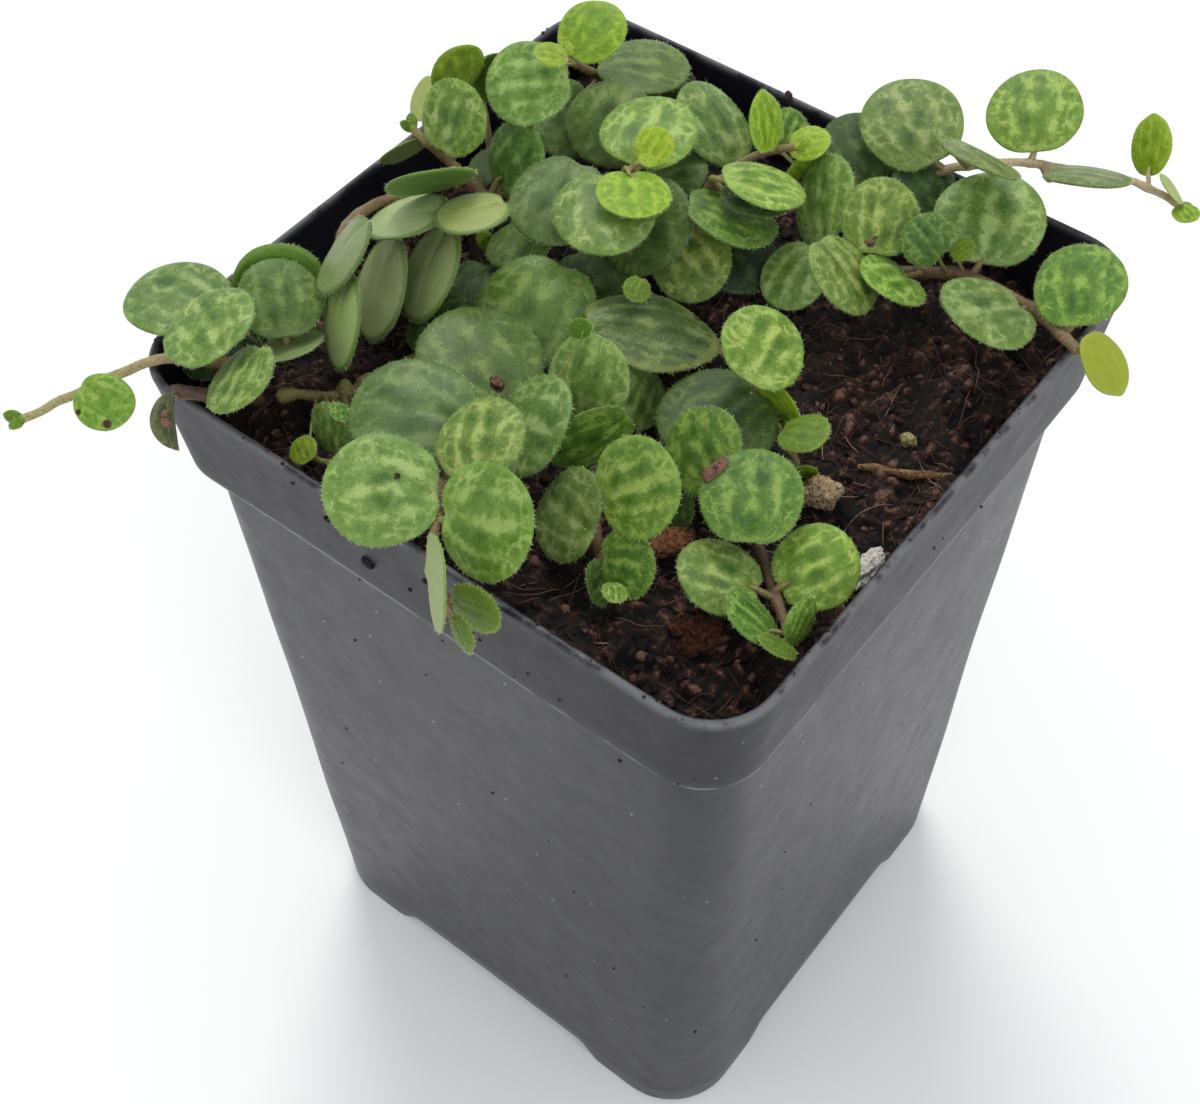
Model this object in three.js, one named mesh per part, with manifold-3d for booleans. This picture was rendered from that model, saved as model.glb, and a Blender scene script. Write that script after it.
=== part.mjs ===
// Potted creeping peperomia: a square, tapered, deep nursery pot, its soil, the creeping stems and their round leaves.
// Millimetres, +Z up. The pot stands on its four corner feet at z = 0; its sides lie along X and Y.
// The pot's own centre is at the origin of the tables below, and the whole plant is shifted so that the middle of its
// outer box is over the part's origin.
import * as THREE from "three";
import { mergeVertices } from "three/addons/utils/BufferGeometryUtils.js";
import Module from "manifold-3d";

const wasm = await Module();
wasm.setup();

// ---- driving dimensions
const POT_HEIGHT = 127;
const POT_TOP_HALF = 44.45; // half the width over the rim
const POT_TOP_CORNER = 8.33; // corner radius at the rim
const BAND_BOTTOM_Z = 110.6; // lower edge of the deep rim band
const BAND_BOTTOM_HALF = 42.93;
const BODY_TOP_HALF = 40.78;
const BODY_BOTTOM_HALF = 38.47;
const BODY_BOTTOM_CORNER = 10.77;
const WALL = 1.05;
const FLOOR_LIFT = 3.4; // the floor and the arches between the feet stand this high
const FLOOR_THICKNESS = 1.3;
const FOOT_DEPTH = 8; // from the outer face to the inner edge of a foot
const DRAIN_HOLE_RADIUS = 3.1;
const DRAIN_HOLE_OFFSET = 19;
const SOIL_TOP_Z = 117;
const GAP = 0.35; // clearance between neighbours
const ROOT_END_Z = 108;
const SHORTEST_EDGE = 0.06;
const FLATTEST_FACE = 0.02;
const CENTRE_SHIFT = [-1.309, -2.496]; // from the pot's centre to the middle of the outer box, with the sign turned

const CORNER_STEPS = 5;
const SIDE_STEPS = 5;
const RING = 4 * (CORNER_STEPS + SIDE_STEPS);

// ---- solids
function solidOf(geometry) {
  const g = geometry.index ? geometry.toNonIndexed() : geometry.clone();
  g.deleteAttribute("normal");
  g.deleteAttribute("uv");
  const merged = mergeVertices(g, 1e-4);
  return new wasm.Manifold(
    new wasm.Mesh({
      numProp: 3,
      vertProperties: merged.attributes.position.array,
      triVerts: new Uint32Array(merged.index.array),
    }),
  );
}

// Where joined shapes cross, very short edges appear. Each edge shorter than SHORTEST_EDGE is drawn together to a point
// wherever the surface stays closed and no face turns over.
function cleaned(points, faces) {
  const around = points.map(() => new Set());
  faces.forEach((f, i) => f.forEach((v) => around[v].add(i)));
  const normal = (a, b, c) =>
    new THREE.Vector3().subVectors(b, a).cross(new THREE.Vector3().subVectors(c, a));
  const neighbours = (v) => {
    const s = new Set();
    for (const i of around[v]) for (const w of faces[i]) if (w !== v) s.add(w);
    return s;
  };
  const turns = (from, to, at) => {
    for (const i of around[from]) {
      const f = faces[i];
      if (f.includes(to)) continue;
      const before = normal(...f.map((v) => points[v]));
      const after = normal(...f.map((v) => (v === from ? at : points[v])));
      if (after.length() < 1e-7 || before.dot(after) < 0.3 * before.length() * after.length()) return true;
    }
    return false;
  };
  for (let again = true, round = 0; again && round < 8; round++) {
    again = false;
    for (let i = 0; i < faces.length; i++) {
      for (let e = 0; faces[i] && e < 3; e++) {
        const u = faces[i][e];
        const v = faces[i][(e + 1) % 3];
        if (points[u].distanceTo(points[v]) > SHORTEST_EDGE) continue;
        const nu = neighbours(u);
        const nv = neighbours(v);
        if ([...nu].filter((w) => nv.has(w)).length !== 2) continue;
        const middle = new THREE.Vector3().addVectors(points[u], points[v]).multiplyScalar(0.5);
        const at = [middle, points[v], points[u]].find((q) => !turns(u, v, q) && !turns(v, u, q));
        if (!at) continue;
        points[v] = at.clone();
        for (const k of [...around[u]]) {
          const f = faces[k];
          for (const w of f) around[w].delete(k);
          if (f.includes(v)) faces[k] = null;
          else {
            faces[k] = f.map((w) => (w === u ? v : w));
            for (const w of faces[k]) around[w].add(k);
          }
        }
        again = true;
        break;
      }
    }
  }
  // A face with almost no height has one corner on its longest edge: that edge is turned to join the other two corners.
  const height = (a, b, c) => {
    const longest = Math.max(points[a].distanceTo(points[b]), points[b].distanceTo(points[c]), points[c].distanceTo(points[a]));
    return normal(points[a], points[b], points[c]).length() / longest;
  };
  for (let round = 0; round < 6; round++)
    for (let i = 0; i < faces.length; i++) {
      if (!faces[i] || height(...faces[i]) > FLATTEST_FACE) continue;
      const f = faces[i];
      const length = (e) => points[f[e]].distanceTo(points[f[(e + 1) % 3]]);
      const e = [0, 1, 2].sort((a, b) => length(b) - length(a))[0];
      const [u, v, w] = [f[e], f[(e + 1) % 3], f[(e + 2) % 3]];
      const j = [...around[u]].find((k) => k !== i && around[v].has(k));
      if (j === undefined) continue;
      const x = faces[j].find((k) => k !== u && k !== v);
      if (x === w || neighbours(w).has(x)) continue;
      if (Math.min(height(u, x, w), height(x, v, w)) <= height(u, v, w)) continue;
      faces[i] = [u, x, w];
      faces[j] = [x, v, w];
      around[v].delete(i);
      around[u].delete(j);
      around[x].add(i);
      around[w].add(j);
    }
  return faces.filter(Boolean);
}

function geometryOf(solid) {
  const mesh = solid.getMesh();
  const n = mesh.numProp;
  const points = [];
  for (let i = 0; i < mesh.numVert; i++)
    points.push(new THREE.Vector3(...mesh.vertProperties.subarray(i * n, i * n + 3)));
  let faces = [];
  for (let i = 0; i < mesh.triVerts.length; i += 3)
    faces.push([...mesh.triVerts.subarray(i, i + 3)]);
  for (let pass = 0; pass < 3; pass++) faces = cleaned(points, faces);
  const used = new Map();
  const position = [];
  const index = faces.flat().map((v) => {
    if (!used.has(v)) {
      used.set(v, used.size);
      position.push(points[v].x, points[v].y, points[v].z);
    }
    return used.get(v);
  });
  const g = new THREE.BufferGeometry();
  g.setAttribute("position", new THREE.Float32BufferAttribute(position, 3));
  g.setIndex(index);
  g.computeVertexNormals();
  return g;
}

// A point of a square outline with round corners, k running 0..1 once around.
function outline(k, half, corner) {
  const perQuarter = CORNER_STEPS + SIDE_STEPS;
  const i = Math.round(k * RING) % RING;
  const quarter = Math.floor(i / perQuarter);
  const step = i % perQuarter;
  const flat = half - corner;
  let x, y, side;
  if (step <= CORNER_STEPS) {
    const a = (step / CORNER_STEPS) * (Math.PI / 2);
    x = flat + corner * Math.cos(a);
    y = flat + corner * Math.sin(a);
    side = 1;
  } else {
    side = 1 - (2 * (step - CORNER_STEPS)) / SIDE_STEPS;
    x = flat * side;
    y = half;
  }
  const c = Math.cos((quarter * Math.PI) / 2);
  const s = Math.sin((quarter * Math.PI) / 2);
  return { x: c * x - s * y, y: s * x + c * y, side: Math.abs(side) };
}

// A turned shape whose every ring is drawn out to a square with round corners.
// rows: [half width, z, corner radius, how far the arch between the feet lifts it]
function squareTurned(rows, heightAt) {
  const profile = rows.map(([half, z]) => new THREE.Vector2(half, z));
  const g = new THREE.LatheGeometry(profile, RING);
  const p = g.attributes.position;
  for (let i = 0; i <= RING; i++)
    for (let j = 0; j < rows.length; j++) {
      const [half, z, corner = 0, lift = 0] = rows[j];
      const o = outline(i / RING, half, corner);
      const up = lift * (o.side < 0.7 ? 1 : 0);
      const at = i * rows.length + j;
      if (half === 0) p.setXYZ(at, 0, 0, heightAt ? heightAt(0, 0, z, j) : z);
      else p.setXYZ(at, o.x, o.y, (heightAt ? heightAt(o.x, o.y, z, j) : z) + up);
    }
  return g;
}

// ---- pot
function potGeometry() {
  const bodyCorner = 8;
  const rows = [
    [0, FLOOR_LIFT, 0],
    [BODY_BOTTOM_HALF - FOOT_DEPTH - 3, FLOOR_LIFT, 4],
    [BODY_BOTTOM_HALF - FOOT_DEPTH, 0, 6, FLOOR_LIFT],
    [BODY_BOTTOM_HALF - 0.8, 0, BODY_BOTTOM_CORNER - 0.8, FLOOR_LIFT],
    [BODY_BOTTOM_HALF, 0.9, BODY_BOTTOM_CORNER, FLOOR_LIFT],
    [BODY_TOP_HALF, BAND_BOTTOM_Z - 0.7, bodyCorner],
    [BAND_BOTTOM_HALF, BAND_BOTTOM_Z, 8.2],
    [POT_TOP_HALF, POT_HEIGHT - 0.7, POT_TOP_CORNER],
    [POT_TOP_HALF - 0.3, POT_HEIGHT, POT_TOP_CORNER - 0.3],
    [POT_TOP_HALF - 0.8, POT_HEIGHT, POT_TOP_CORNER - 0.8],
    [POT_TOP_HALF - WALL - 0.05, POT_HEIGHT - 0.7, POT_TOP_CORNER - WALL],
    [BAND_BOTTOM_HALF - WALL, BAND_BOTTOM_Z + 0.6, 8.2 - WALL],
    [BODY_TOP_HALF - WALL, BAND_BOTTOM_Z - 0.8, bodyCorner - WALL],
    [BODY_BOTTOM_HALF - WALL, FLOOR_LIFT + FLOOR_THICKNESS + 1.2, BODY_BOTTOM_CORNER - WALL],
    [BODY_BOTTOM_HALF - WALL - 1.2, FLOOR_LIFT + FLOOR_THICKNESS, BODY_BOTTOM_CORNER - WALL - 1.2],
    [0, FLOOR_LIFT + FLOOR_THICKNESS, 0],
  ];
  let pot = solidOf(squareTurned(rows));
  const d = DRAIN_HOLE_OFFSET;
  for (const [x, y] of [[0, 0], [d, d], [-d, d], [d, -d], [-d, -d]]) {
    const drill = new THREE.CylinderGeometry(DRAIN_HOLE_RADIUS, DRAIN_HOLE_RADIUS, 8, 12);
    drill.rotateX(Math.PI / 2);
    drill.translate(x, y, FLOOR_LIFT);
    pot = pot.subtract(solidOf(drill));
  }
  return geometryOf(pot);
}

// ---- soil
function soilHeight(x, y) {
  return (
    SOIL_TOP_Z +
    0.35 * Math.sin(0.31 * x + 0.17 * y + 0.6) +
    0.3 * Math.sin(-0.22 * x + 0.38 * y + 2.1) +
    0.2 * Math.sin(0.55 * x - 0.29 * y + 4.0)
  );
}

function soilGeometry(roots) {
  const rows = [
    [0, FLOOR_LIFT + FLOOR_THICKNESS + GAP, 0],
    [BODY_BOTTOM_HALF - WALL - 1.7, FLOOR_LIFT + FLOOR_THICKNESS + GAP, 8],
    [BODY_TOP_HALF - WALL - GAP, BAND_BOTTOM_Z - 0.4, 8 - WALL - 0.1],
    [BAND_BOTTOM_HALF - WALL - GAP - 0.1, BAND_BOTTOM_Z + 1.3, 7.1],
    [BAND_BOTTOM_HALF - WALL + 0.1, SOIL_TOP_Z - 0.6, 7.1],
    [36, SOIL_TOP_Z, 6],
    [25, SOIL_TOP_Z, 5],
    [13, SOIL_TOP_Z, 3],
    [0, SOIL_TOP_Z, 0],
  ];
  let soil = solidOf(
    squareTurned(rows, (x, y, z, j) => (j >= 5 ? soilHeight(x, y) : z)),
  );
  for (const [x, y, r] of roots) {
    const pocket = new THREE.CylinderGeometry(r + 0.45, r + 0.45, 20, 8);
    pocket.rotateX(Math.PI / 2);
    pocket.translate(x, y, ROOT_END_Z - GAP + 10);
    soil = soil.subtract(solidOf(pocket));
  }
  return geometryOf(soil);
}

// ---- leaves
// A lens turned around the leaf's normal, pinched at the base where the stalk meets it. +Y is its tip, +Z its upper face.
function leafGeometry(R, q, dome, thick, segments, fine) {
  const rows = fine
    ? [
        [0, dome - thick],
        [R, -0.45 * thick],
        [R, 0],
        [0.6 * R, 0.64 * dome],
        [0, dome],
      ]
    : [
        [0, dome - thick - 0.05],
        [R, -0.25 * thick],
        [0, dome],
      ];
  const g = new THREE.LatheGeometry(
    rows.map(([r, z]) => new THREE.Vector2(r, z)),
    segments,
  );
  g.rotateX(Math.PI / 2);
  const p = g.attributes.position;
  const m = new THREE.Vector3();
  for (let i = 0; i < p.count; i++) {
    m.fromBufferAttribute(p, i);
    const z = m.z;
    const r = Math.hypot(m.x, m.y);
    if (r < 1e-6) {
      p.setXYZ(i, 0, 0, z);
      continue;
    }
    const a = Math.atan2(m.y, m.x);
    let d = a + Math.PI / 2;
    if (d > Math.PI) d -= 2 * Math.PI;
    const k = 1 - 0.07 * Math.exp(-((d / 0.28) ** 2));
    p.setXYZ(i, (k * m.x) / q, k * m.y, z);
  }
  return g;
}

function leafFrame(at, normal, base) {
  const n = new THREE.Vector3(...normal).normalize();
  const y = new THREE.Vector3(...base).negate();
  y.addScaledVector(n, -y.dot(n)).normalize();
  const x = new THREE.Vector3().crossVectors(y, n);
  const m = new THREE.Matrix4().makeBasis(x, y, n);
  m.setPosition(...at);
  return m;
}

// ---- stems
function tubeGeometry(curve, radius, sides, steps) {
  const ring = [];
  for (let i = 0; i < sides; i++)
    ring.push(
      new THREE.Vector2(
        radius * Math.cos((2 * Math.PI * i) / sides),
        radius * Math.sin((2 * Math.PI * i) / sides),
      ),
    );
  return new THREE.ExtrudeGeometry(new THREE.Shape(ring), {
    steps,
    bevelEnabled: false,
    extrudePath: curve,
  });
}

const v3 = (a) => new THREE.Vector3(...a);

function stemSolid({ stems, stalks, leaves }) {
  const parts = [];
  for (const [r, rooted, points] of stems) {
    const path = points.map(v3);
    if (rooted) {
      const p = path[0];
      path.unshift(
        new THREE.Vector3(p.x + 0.1, p.y - 0.16, ROOT_END_Z),
        new THREE.Vector3(p.x, p.y, ROOT_END_Z + 4),
        new THREE.Vector3(p.x, p.y, p.z - 1.2),
      );
    }
    const curve = new THREE.CatmullRomCurve3(path, false, "centripetal");
    parts.push(solidOf(tubeGeometry(curve, r, 6, Math.max(2, Math.round(curve.getLength() / 2.4)))));
  }
  for (const [r, a, b, c, d] of stalks) {
    const curve = new THREE.CubicBezierCurve3(v3(a), v3(b), v3(c), v3(d));
    parts.push(solidOf(tubeGeometry(curve, r, 4, 3)));
  }
  for (const [at, normal, base, R, q, dome, thick] of leaves) {
    const g = leafGeometry(R, q, dome, thick, 8, false);
    g.applyMatrix4(leafFrame(at, normal, base));
    parts.push(solidOf(g));
  }
  return parts.reduce((sum, next) => sum.add(next));
}

// ---- tables, in the pot's frame
// name, kind, centre, upper normal, direction of the base, radius, length over width, dome, thickness
const LEAVES = [
  ["leaf_left_1", "M", [-42.87, -35.08, 131], [-0.0292, 0.0718, 0.997], [0.9948, 0.0993, 0.022], 6.41, 1, 0.58, 0.8],
  ["leaf_left_2", "M", [-34.03, -38, 134.08], [-0.2277, -0.2303, 0.9461], [0.9024, -0.4149, 0.1162], 5.62, 1, 0.51, 0.79],
  ["leaf_left_wall_1", "P", [-30.06, -14.66, 124.29], [-0.4899, -0.6937, 0.528], [-0.147, 0.6627, 0.7343], 6.59, 1, 0.59, 0.8],
  ["leaf_left_wall_2", "P", [-25.29, -10.57, 126.51], [-0.4891, -0.6049, 0.6284], [-0.1459, 0.767, 0.6248], 6.17, 1, 0.56, 0.78],
  ["leaf_left_wall_3", "P", [-25.79, -25.3, 129.79], [-0.5145, -0.7644, 0.3885], [-0.0965, 0.5018, 0.8596], 5.91, 1, 0.53, 0.77],
  ["leaf_left_wall_4", "P", [-29.03, -20.58, 134.82], [-0.5921, -0.4365, 0.6775], [0.0632, 0.8129, 0.5789], 5.31, 1, 0.48, 0.74],
  ["leaf_back_1", "O", [-27.39, 35.78, 128.57], [0.0017, 0.1122, 0.9937], [-0.8263, -0.5595, 0.0645], 6.35, 1, 0.57, 0.79],
  ["leaf_back_2", "O", [-23.6, 24.07, 128], [0.3436, -0.4335, 0.8331], [-0.2132, 0.8279, 0.5188], 5.79, 1, 0.52, 0.8],
  ["leaf_back_3", "O", [-31.36, 24.38, 125], [0.402, -0.2001, 0.8935], [-0.1687, 0.9429, 0.287], 5.65, 1, 0.51, 0.79],
  ["leaf_back_4", "M", [-29.26, 14.25, 138.03], [0.3111, -0.4918, 0.8132], [0.7232, 0.6777, 0.1332], 5.28, 1, 0.48, 0.74],
  ["leaf_middle_back_1", "M", [-10.8, 6.05, 132.64], [0.0474, -0.1552, 0.9867], [-0.6075, 0.7797, 0.1518], 6.34, 1, 0.57, 0.79],
  ["leaf_middle_back_2", "O", [-8.79, 11.76, 127.03], [-0.1476, -0.6205, 0.7702], [-0.7934, 0.5393, 0.2824], 6.28, 1, 0.56, 0.8],
  ["leaf_middle_back_3", "M", [-16.22, 22.33, 131.64], [0.0041, -0.1262, 0.992], [0.2331, -0.9646, -0.1236], 6.14, 1, 0.55, 0.8],
  ["leaf_middle_back_4", "O", [-17.73, 5.82, 130.85], [0.1732, -0.3059, 0.9362], [-0.1394, 0.9334, 0.3307], 6.09, 1, 0.55, 0.78],
  ["leaf_back_right_1", "M", [-12.95, 32.43, 128], [0.5938, 0.2039, 0.7783], [0.8027, -0.2173, -0.5555], 6.18, 1, 0.56, 0.8],
  ["leaf_back_right_2", "M", [0.09, 17.92, 129.13], [0.1342, 0.3095, 0.9414], [-0.8802, -0.3993, 0.2567], 5.84, 1, 0.53, 0.79],
  ["leaf_back_right_3", "M", [2.11, 21.56, 133], [0.0872, 0.324, 0.942], [-0.7067, -0.6464, 0.2877], 5.3, 1, 0.48, 0.74],
  ["leaf_right_1", "M", [9.73, 43.72, 132.02], [0.1113, -0.3084, 0.9447], [0.8332, -0.4892, -0.2579], 6.52, 1, 0.59, 0.79],
  ["leaf_right_2", "M", [22.06, 52.73, 134], [0.046, -0.406, 0.9127], [0.5166, -0.7723, -0.3696], 5.83, 1, 0.52, 0.8],
  ["leaf_right_3", "M", [6.39, 29.03, 127.48], [-0.496, -0.7402, 0.4539], [0.5051, -0.6712, -0.5426], 5.7, 1, 0.51, 0.79],
  ["leaf_right_4", "D", [4.6, 39.86, 127.43], [0.1233, -0.3601, 0.9247], [0.7673, -0.5563, -0.3189], 5.33, 1, 0.48, 0.75],
  ["leaf_right_front_1", "M", [25.54, 37.29, 129], [0.0828, -0.2908, 0.9532], [0.3946, -0.8688, -0.2993], 6.7, 1, 0.6, 0.8],
  ["leaf_right_front_2", "M", [34.42, 21.48, 130.87], [0.1968, 0.2135, 0.9569], [0.3875, 0.8796, -0.276], 5.74, 1, 0.52, 0.78],
  ["leaf_right_front_3", "M", [16.53, 18.46, 128.73], [0.5372, 0.233, 0.8106], [-0.8434, 0.1529, 0.515], 5.33, 1, 0.48, 0.75],
  ["leaf_right_front_4", "M", [41.57, 29.38, 133.03], [-0.0625, -0.4172, 0.9067], [0.4445, -0.825, -0.349], 5.26, 1, 0.47, 0.74],
  ["leaf_front_left_1", "O", [-11.26, -17.39, 126], [0.2328, -0.0252, 0.9722], [0.9076, -0.3536, -0.2265], 7.49, 1, 0.67, 0.8],
  ["leaf_front_left_2", "O", [-11.94, -6.16, 124.36], [0.2009, -0.3845, 0.901], [-0.0924, 0.9082, 0.4081], 7.36, 1, 0.66, 0.8],
  ["leaf_front_left_3", "M", [-10.19, -30.37, 128.59], [0.1065, -0.1826, 0.9774], [0.9038, 0.4275, -0.0186], 7.19, 1, 0.65, 0.8],
  ["leaf_front_left_4", "M", [-3.19, -42.66, 131.59], [0.3528, -0.2441, 0.9033], [0.733, 0.6722, -0.1047], 6.27, 1, 0.56, 0.8],
  ["leaf_front_left_5", "M", [9.08, -39.82, 132.6], [-0.1048, -0.7839, 0.612], [-0.9275, -0.1451, -0.3446], 6.24, 1, 0.56, 0.79],
  ["leaf_front_middle_1", "O", [2.07, -1.14, 126], [0.0238, 0.2956, 0.955], [-0.8094, -0.555, 0.1919], 8.06, 1, 0.73, 0.8],
  ["leaf_front_middle_2", "M", [1.49, -23.22, 128.15], [-0.406, -0.5545, 0.7264], [-0.9043, 0.1293, -0.4068], 5.91, 1, 0.53, 0.8],
  ["leaf_front_middle_3", "M", [19.87, -27.66, 134.69], [-0.152, -0.8411, 0.5191], [-0.7434, -0.2487, -0.6208], 5.5, 1, 0.49, 0.76],
  ["leaf_front_middle_4", "O", [1.31, -12.59, 126.29], [0.0661, -0.7951, 0.6029], [0.2207, -0.5776, -0.7859], 5.28, 1, 0.48, 0.74],
  ["leaf_front_right_1", "M", [27.85, -17.19, 129], [0.1214, -0.2637, 0.9569], [0.4973, -0.8182, -0.2885], 5.57, 1, 0.5, 0.78],
  ["leaf_centre_1", "D", [16.19, -7.28, 124.86], [0.1061, -0.1345, 0.9852], [0.1873, 0.9758, 0.1131], 6.86, 1, 0.62, 0.8],
];

// radius and path of each stem (true where it goes down into the soil), its leaf stalks as curves, and its small leaves
const VINES = [
  {
    name: "stem_left",
    stems: [
      [0.72, true, [[-30.15, -23.64, 124.09], [-30.08, -25.75, 124.79], [-30.54, -27.94, 124.95], [-31.47, -29.9, 124.69], [-32.94, -31.51, 124.19], [-33.94, -33.45, 124.26], [-34.64, -35.29, 125.22], [-35.46, -37.13, 126.15], [-35.98, -38.83, 127.51], [-36.81, -40.5, 128.7], [-38.26, -42.1, 129.22], [-39.64, -43.84, 129.1], [-40.77, -45.72, 128.64], [-41.98, -47.55, 128.17], [-43.08, -49.42, 127.62], [-44.16, -51.32, 127.11], [-45.32, -53.18, 126.75], [-46.12, -55.22, 126.25], [-47.18, -57.18, 126]]],
    ],
    stalks: [
      [0.46, [-35.57, -37.47, 126.42], [-35.49, -36.9, 126.76], [-36.38, -36.21, 127.85], [-37.61, -34.64, 129.98]],
      [0.46, [-30.28, -26.71, 124.86], [-32.29, -26.86, 124.77], [-33.6, -25.3, 124.64], [-35.36, -25.97, 124.55]],
      [0.46, [-36.81, -40.5, 128.7], [-34.6, -39.75, 128.81], [-31.15, -38.18, 134.27], [-29.6, -39.64, 133.52]],
      [0.44, [-31.36, -29.67, 124.72], [-31.36, -29.48, 125.5], [-31.6, -29.48, 127.12], [-31.05, -29.54, 129.04]],
      [0.41, [-34.74, -35.51, 125.33], [-31.31, -37.45, 128.93], [-28.66, -35.49, 129.76], [-27.23, -37.78, 133.3]],
      [0.35, [-30.24, -26.51, 124.84], [-29.83, -26.65, 125.33], [-30.15, -26.6, 125.69], [-30.12, -26.84, 125.94]],
      [0.33, [-33.62, -32.83, 124.23], [-33.87, -32.83, 124.45], [-35.83, -32.98, 123.4], [-36.92, -33.43, 123.25]],
      [0.3, [-42.33, -48.15, 127.99], [-41.26, -49.58, 129.93], [-39.66, -50.96, 131.1], [-39.35, -52.5, 131.78]],
      [0.27, [-33.25, -32.12, 124.21], [-34.13, -30.58, 123.61], [-36.64, -29.44, 122.83], [-37.43, -28.99, 122.41]],
    ],
    leaves: [
      [[-36.53, -24.91, 128.21], [-0.6838, 0.6174, -0.3889], [0.2889, -0.2603, -0.9213], 5.7, 1, 0.51, 0.77],
      [[-33.47, -27.54, 130.56], [0.3838, -0.1983, 0.9019], [0.6992, -0.5756, -0.4241], 4.99, 1, 0.45, 0.7],
      [[-26.54, -40.85, 132.51], [-0.3729, -0.3208, 0.8707], [-0.2168, 0.9425, 0.2544], 4.64, 1, 0.42, 0.65],
      [[-30.54, -29.48, 126.02], [0.3303, -0.0923, -0.9394], [0.1592, 0.9864, -0.041], 3.83, 1, 0.34, 0.55],
      [[-38.71, -35.23, 123], [-0.1896, 0.0352, 0.9812], [0.7015, 0.7041, 0.1103], 3.64, 1, 0.33, 0.51],
      [[-37.26, -51.96, 131], [0.4109, -0.2875, 0.8652], [-0.9056, -0.2383, 0.3509], 3.28, 1, 0.3, 0.46],
      [[-39.47, -29.2, 122.12], [-0.0965, -0.4236, 0.9007], [0.9842, 0.0944, 0.1499], 2.96, 1, 0.27, 0.41],
    ],
  },
  {
    name: "stem_left_wall",
    stems: [
      [0.8, true, [[-29.17, -1.97, 119.7], [-30.75, -1.97, 121.14], [-32.09, -2.16, 122.8], [-33.27, -2.54, 124.55], [-34.36, -3.2, 126.27], [-35.22, -4.03, 128.03], [-35.67, -5.65, 129.28], [-35.88, -7.64, 130.07], [-35.79, -9.69, 130.62], [-35.71, -11.8, 130.97], [-35.35, -13.87, 130.94], [-34.68, -15.86, 130.53], [-33.74, -17.63, 129.85], [-32.6, -19.23, 129]]],
    ],
    stalks: [
      [0.46, [-35.3, -4.33, 128.27], [-34.36, -5.72, 129.59], [-30.39, -7.51, 127.77], [-30.3, -10.29, 127.67]],
      [0.46, [-33.25, -2.54, 124.53], [-29.89, -3.56, 125.64], [-27.64, -4.41, 127.05], [-25.48, -6.01, 128.96]],
      [0.46, [-32.87, -18.86, 129.2], [-28.83, -19.52, 127.61], [-26.24, -23.57, 132.14], [-25.68, -22, 133.51]],
      [0.46, [-35.34, -13.89, 130.93], [-32.94, -14.19, 133.42], [-29.77, -15.53, 136.45], [-28.08, -16.55, 136.58]],
      [0.46, [-35.63, -5.5, 129.16], [-32.07, -7.06, 128.43], [-26.39, -5.83, 130.61], [-27.12, -6.92, 132.92]],
    ],
    leaves: [
      [[-30.06, -8.72, 131.88], [-0.3475, 0.0057, 0.9376], [0.8133, 0.4995, 0.2984], 5.15, 1, 0.46, 0.72],
    ],
  },
  {
    name: "stem_back_left",
    stems: [
      [0.55, false, [[-30.65, 5.29, 121.44], [-30.24, 7.35, 121.48], [-30.83, 8.9, 122.07], [-32.25, 9.98, 123.18], [-33.53, 11.03, 124.46], [-34.61, 12.06, 125.94], [-35.63, 13.05, 127.48], [-36.8, 14.05, 128.91], [-38.18, 15.09, 130.09], [-39.99, 15.63, 131]]],
      [0.75, true, [[-31.72, 5.56, 118.6], [-31.15, 5.41, 120.72], [-29.9, 5.12, 122.53], [-29.8, 5.66, 124.4], [-31.71, 6.13, 125.32], [-33.89, 6.39, 125.65], [-35.92, 6.34, 126.45], [-36.77, 5.58, 128.27], [-36.86, 4.4, 130.15], [-37.44, 3.3, 131.94], [-39.28, 3.09, 133.06]]],
    ],
    stalks: [
      [0.46, [-35.5, 6.35, 126.29], [-35.48, 0.95, 128.6], [-31.02, 2.19, 131.68], [-27.44, -2.47, 134.62]],
      [0.44, [-30.05, 5.72, 124.51], [-29.68, 6.86, 124.53], [-30.07, 7.46, 126.48], [-29.11, 8.03, 127.1]],
      [0.42, [-37.39, 3.4, 131.77], [-36.1, 3.49, 131.85], [-34.16, 3.8, 132.82], [-33.99, 3.18, 133.61]],
      [0.41, [-29.8, 5.66, 124.4], [-27.32, 2.66, 130.13], [-21.57, -1.91, 132.67], [-20.29, -2.87, 135.03]],
      [0.39, [-30.5, 8.03, 121.74], [-26.69, 8.29, 123.22], [-22.02, 7.96, 126.65], [-22.19, 4.88, 124.68]],
      [0.35, [-38.55, 15.2, 130.28], [-37.87, 15.25, 131.18], [-37.27, 15.79, 131.6], [-37.15, 15.54, 132.02]],
      [0.34, [-39.99, 15.63, 131], [-38.87, 10.34, 134.42], [-39.3, 11.48, 129.96], [-37.5, 10.46, 136.39]],
      [0.3, [-36.81, 5.05, 129.12], [-37.42, 5.63, 129.21], [-38.72, 5.13, 128.93], [-39.87, 4.65, 129.27]],
      [0.27, [-39.99, 15.63, 131], [-41.26, 15.25, 131.96], [-43.16, 10.39, 129.55], [-44.07, 11.01, 129.13]],
      [0.24, [-32.09, 6.17, 125.38], [-32.44, 7.09, 125.38], [-32.63, 7.67, 124.96], [-32.33, 7.87, 124.87]],
      [0.2, [-29.81, 5.6, 124.2], [-30.02, 4.45, 123.61], [-27.07, 2.14, 123.38], [-26.38, 2.05, 122.89]],
    ],
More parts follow.
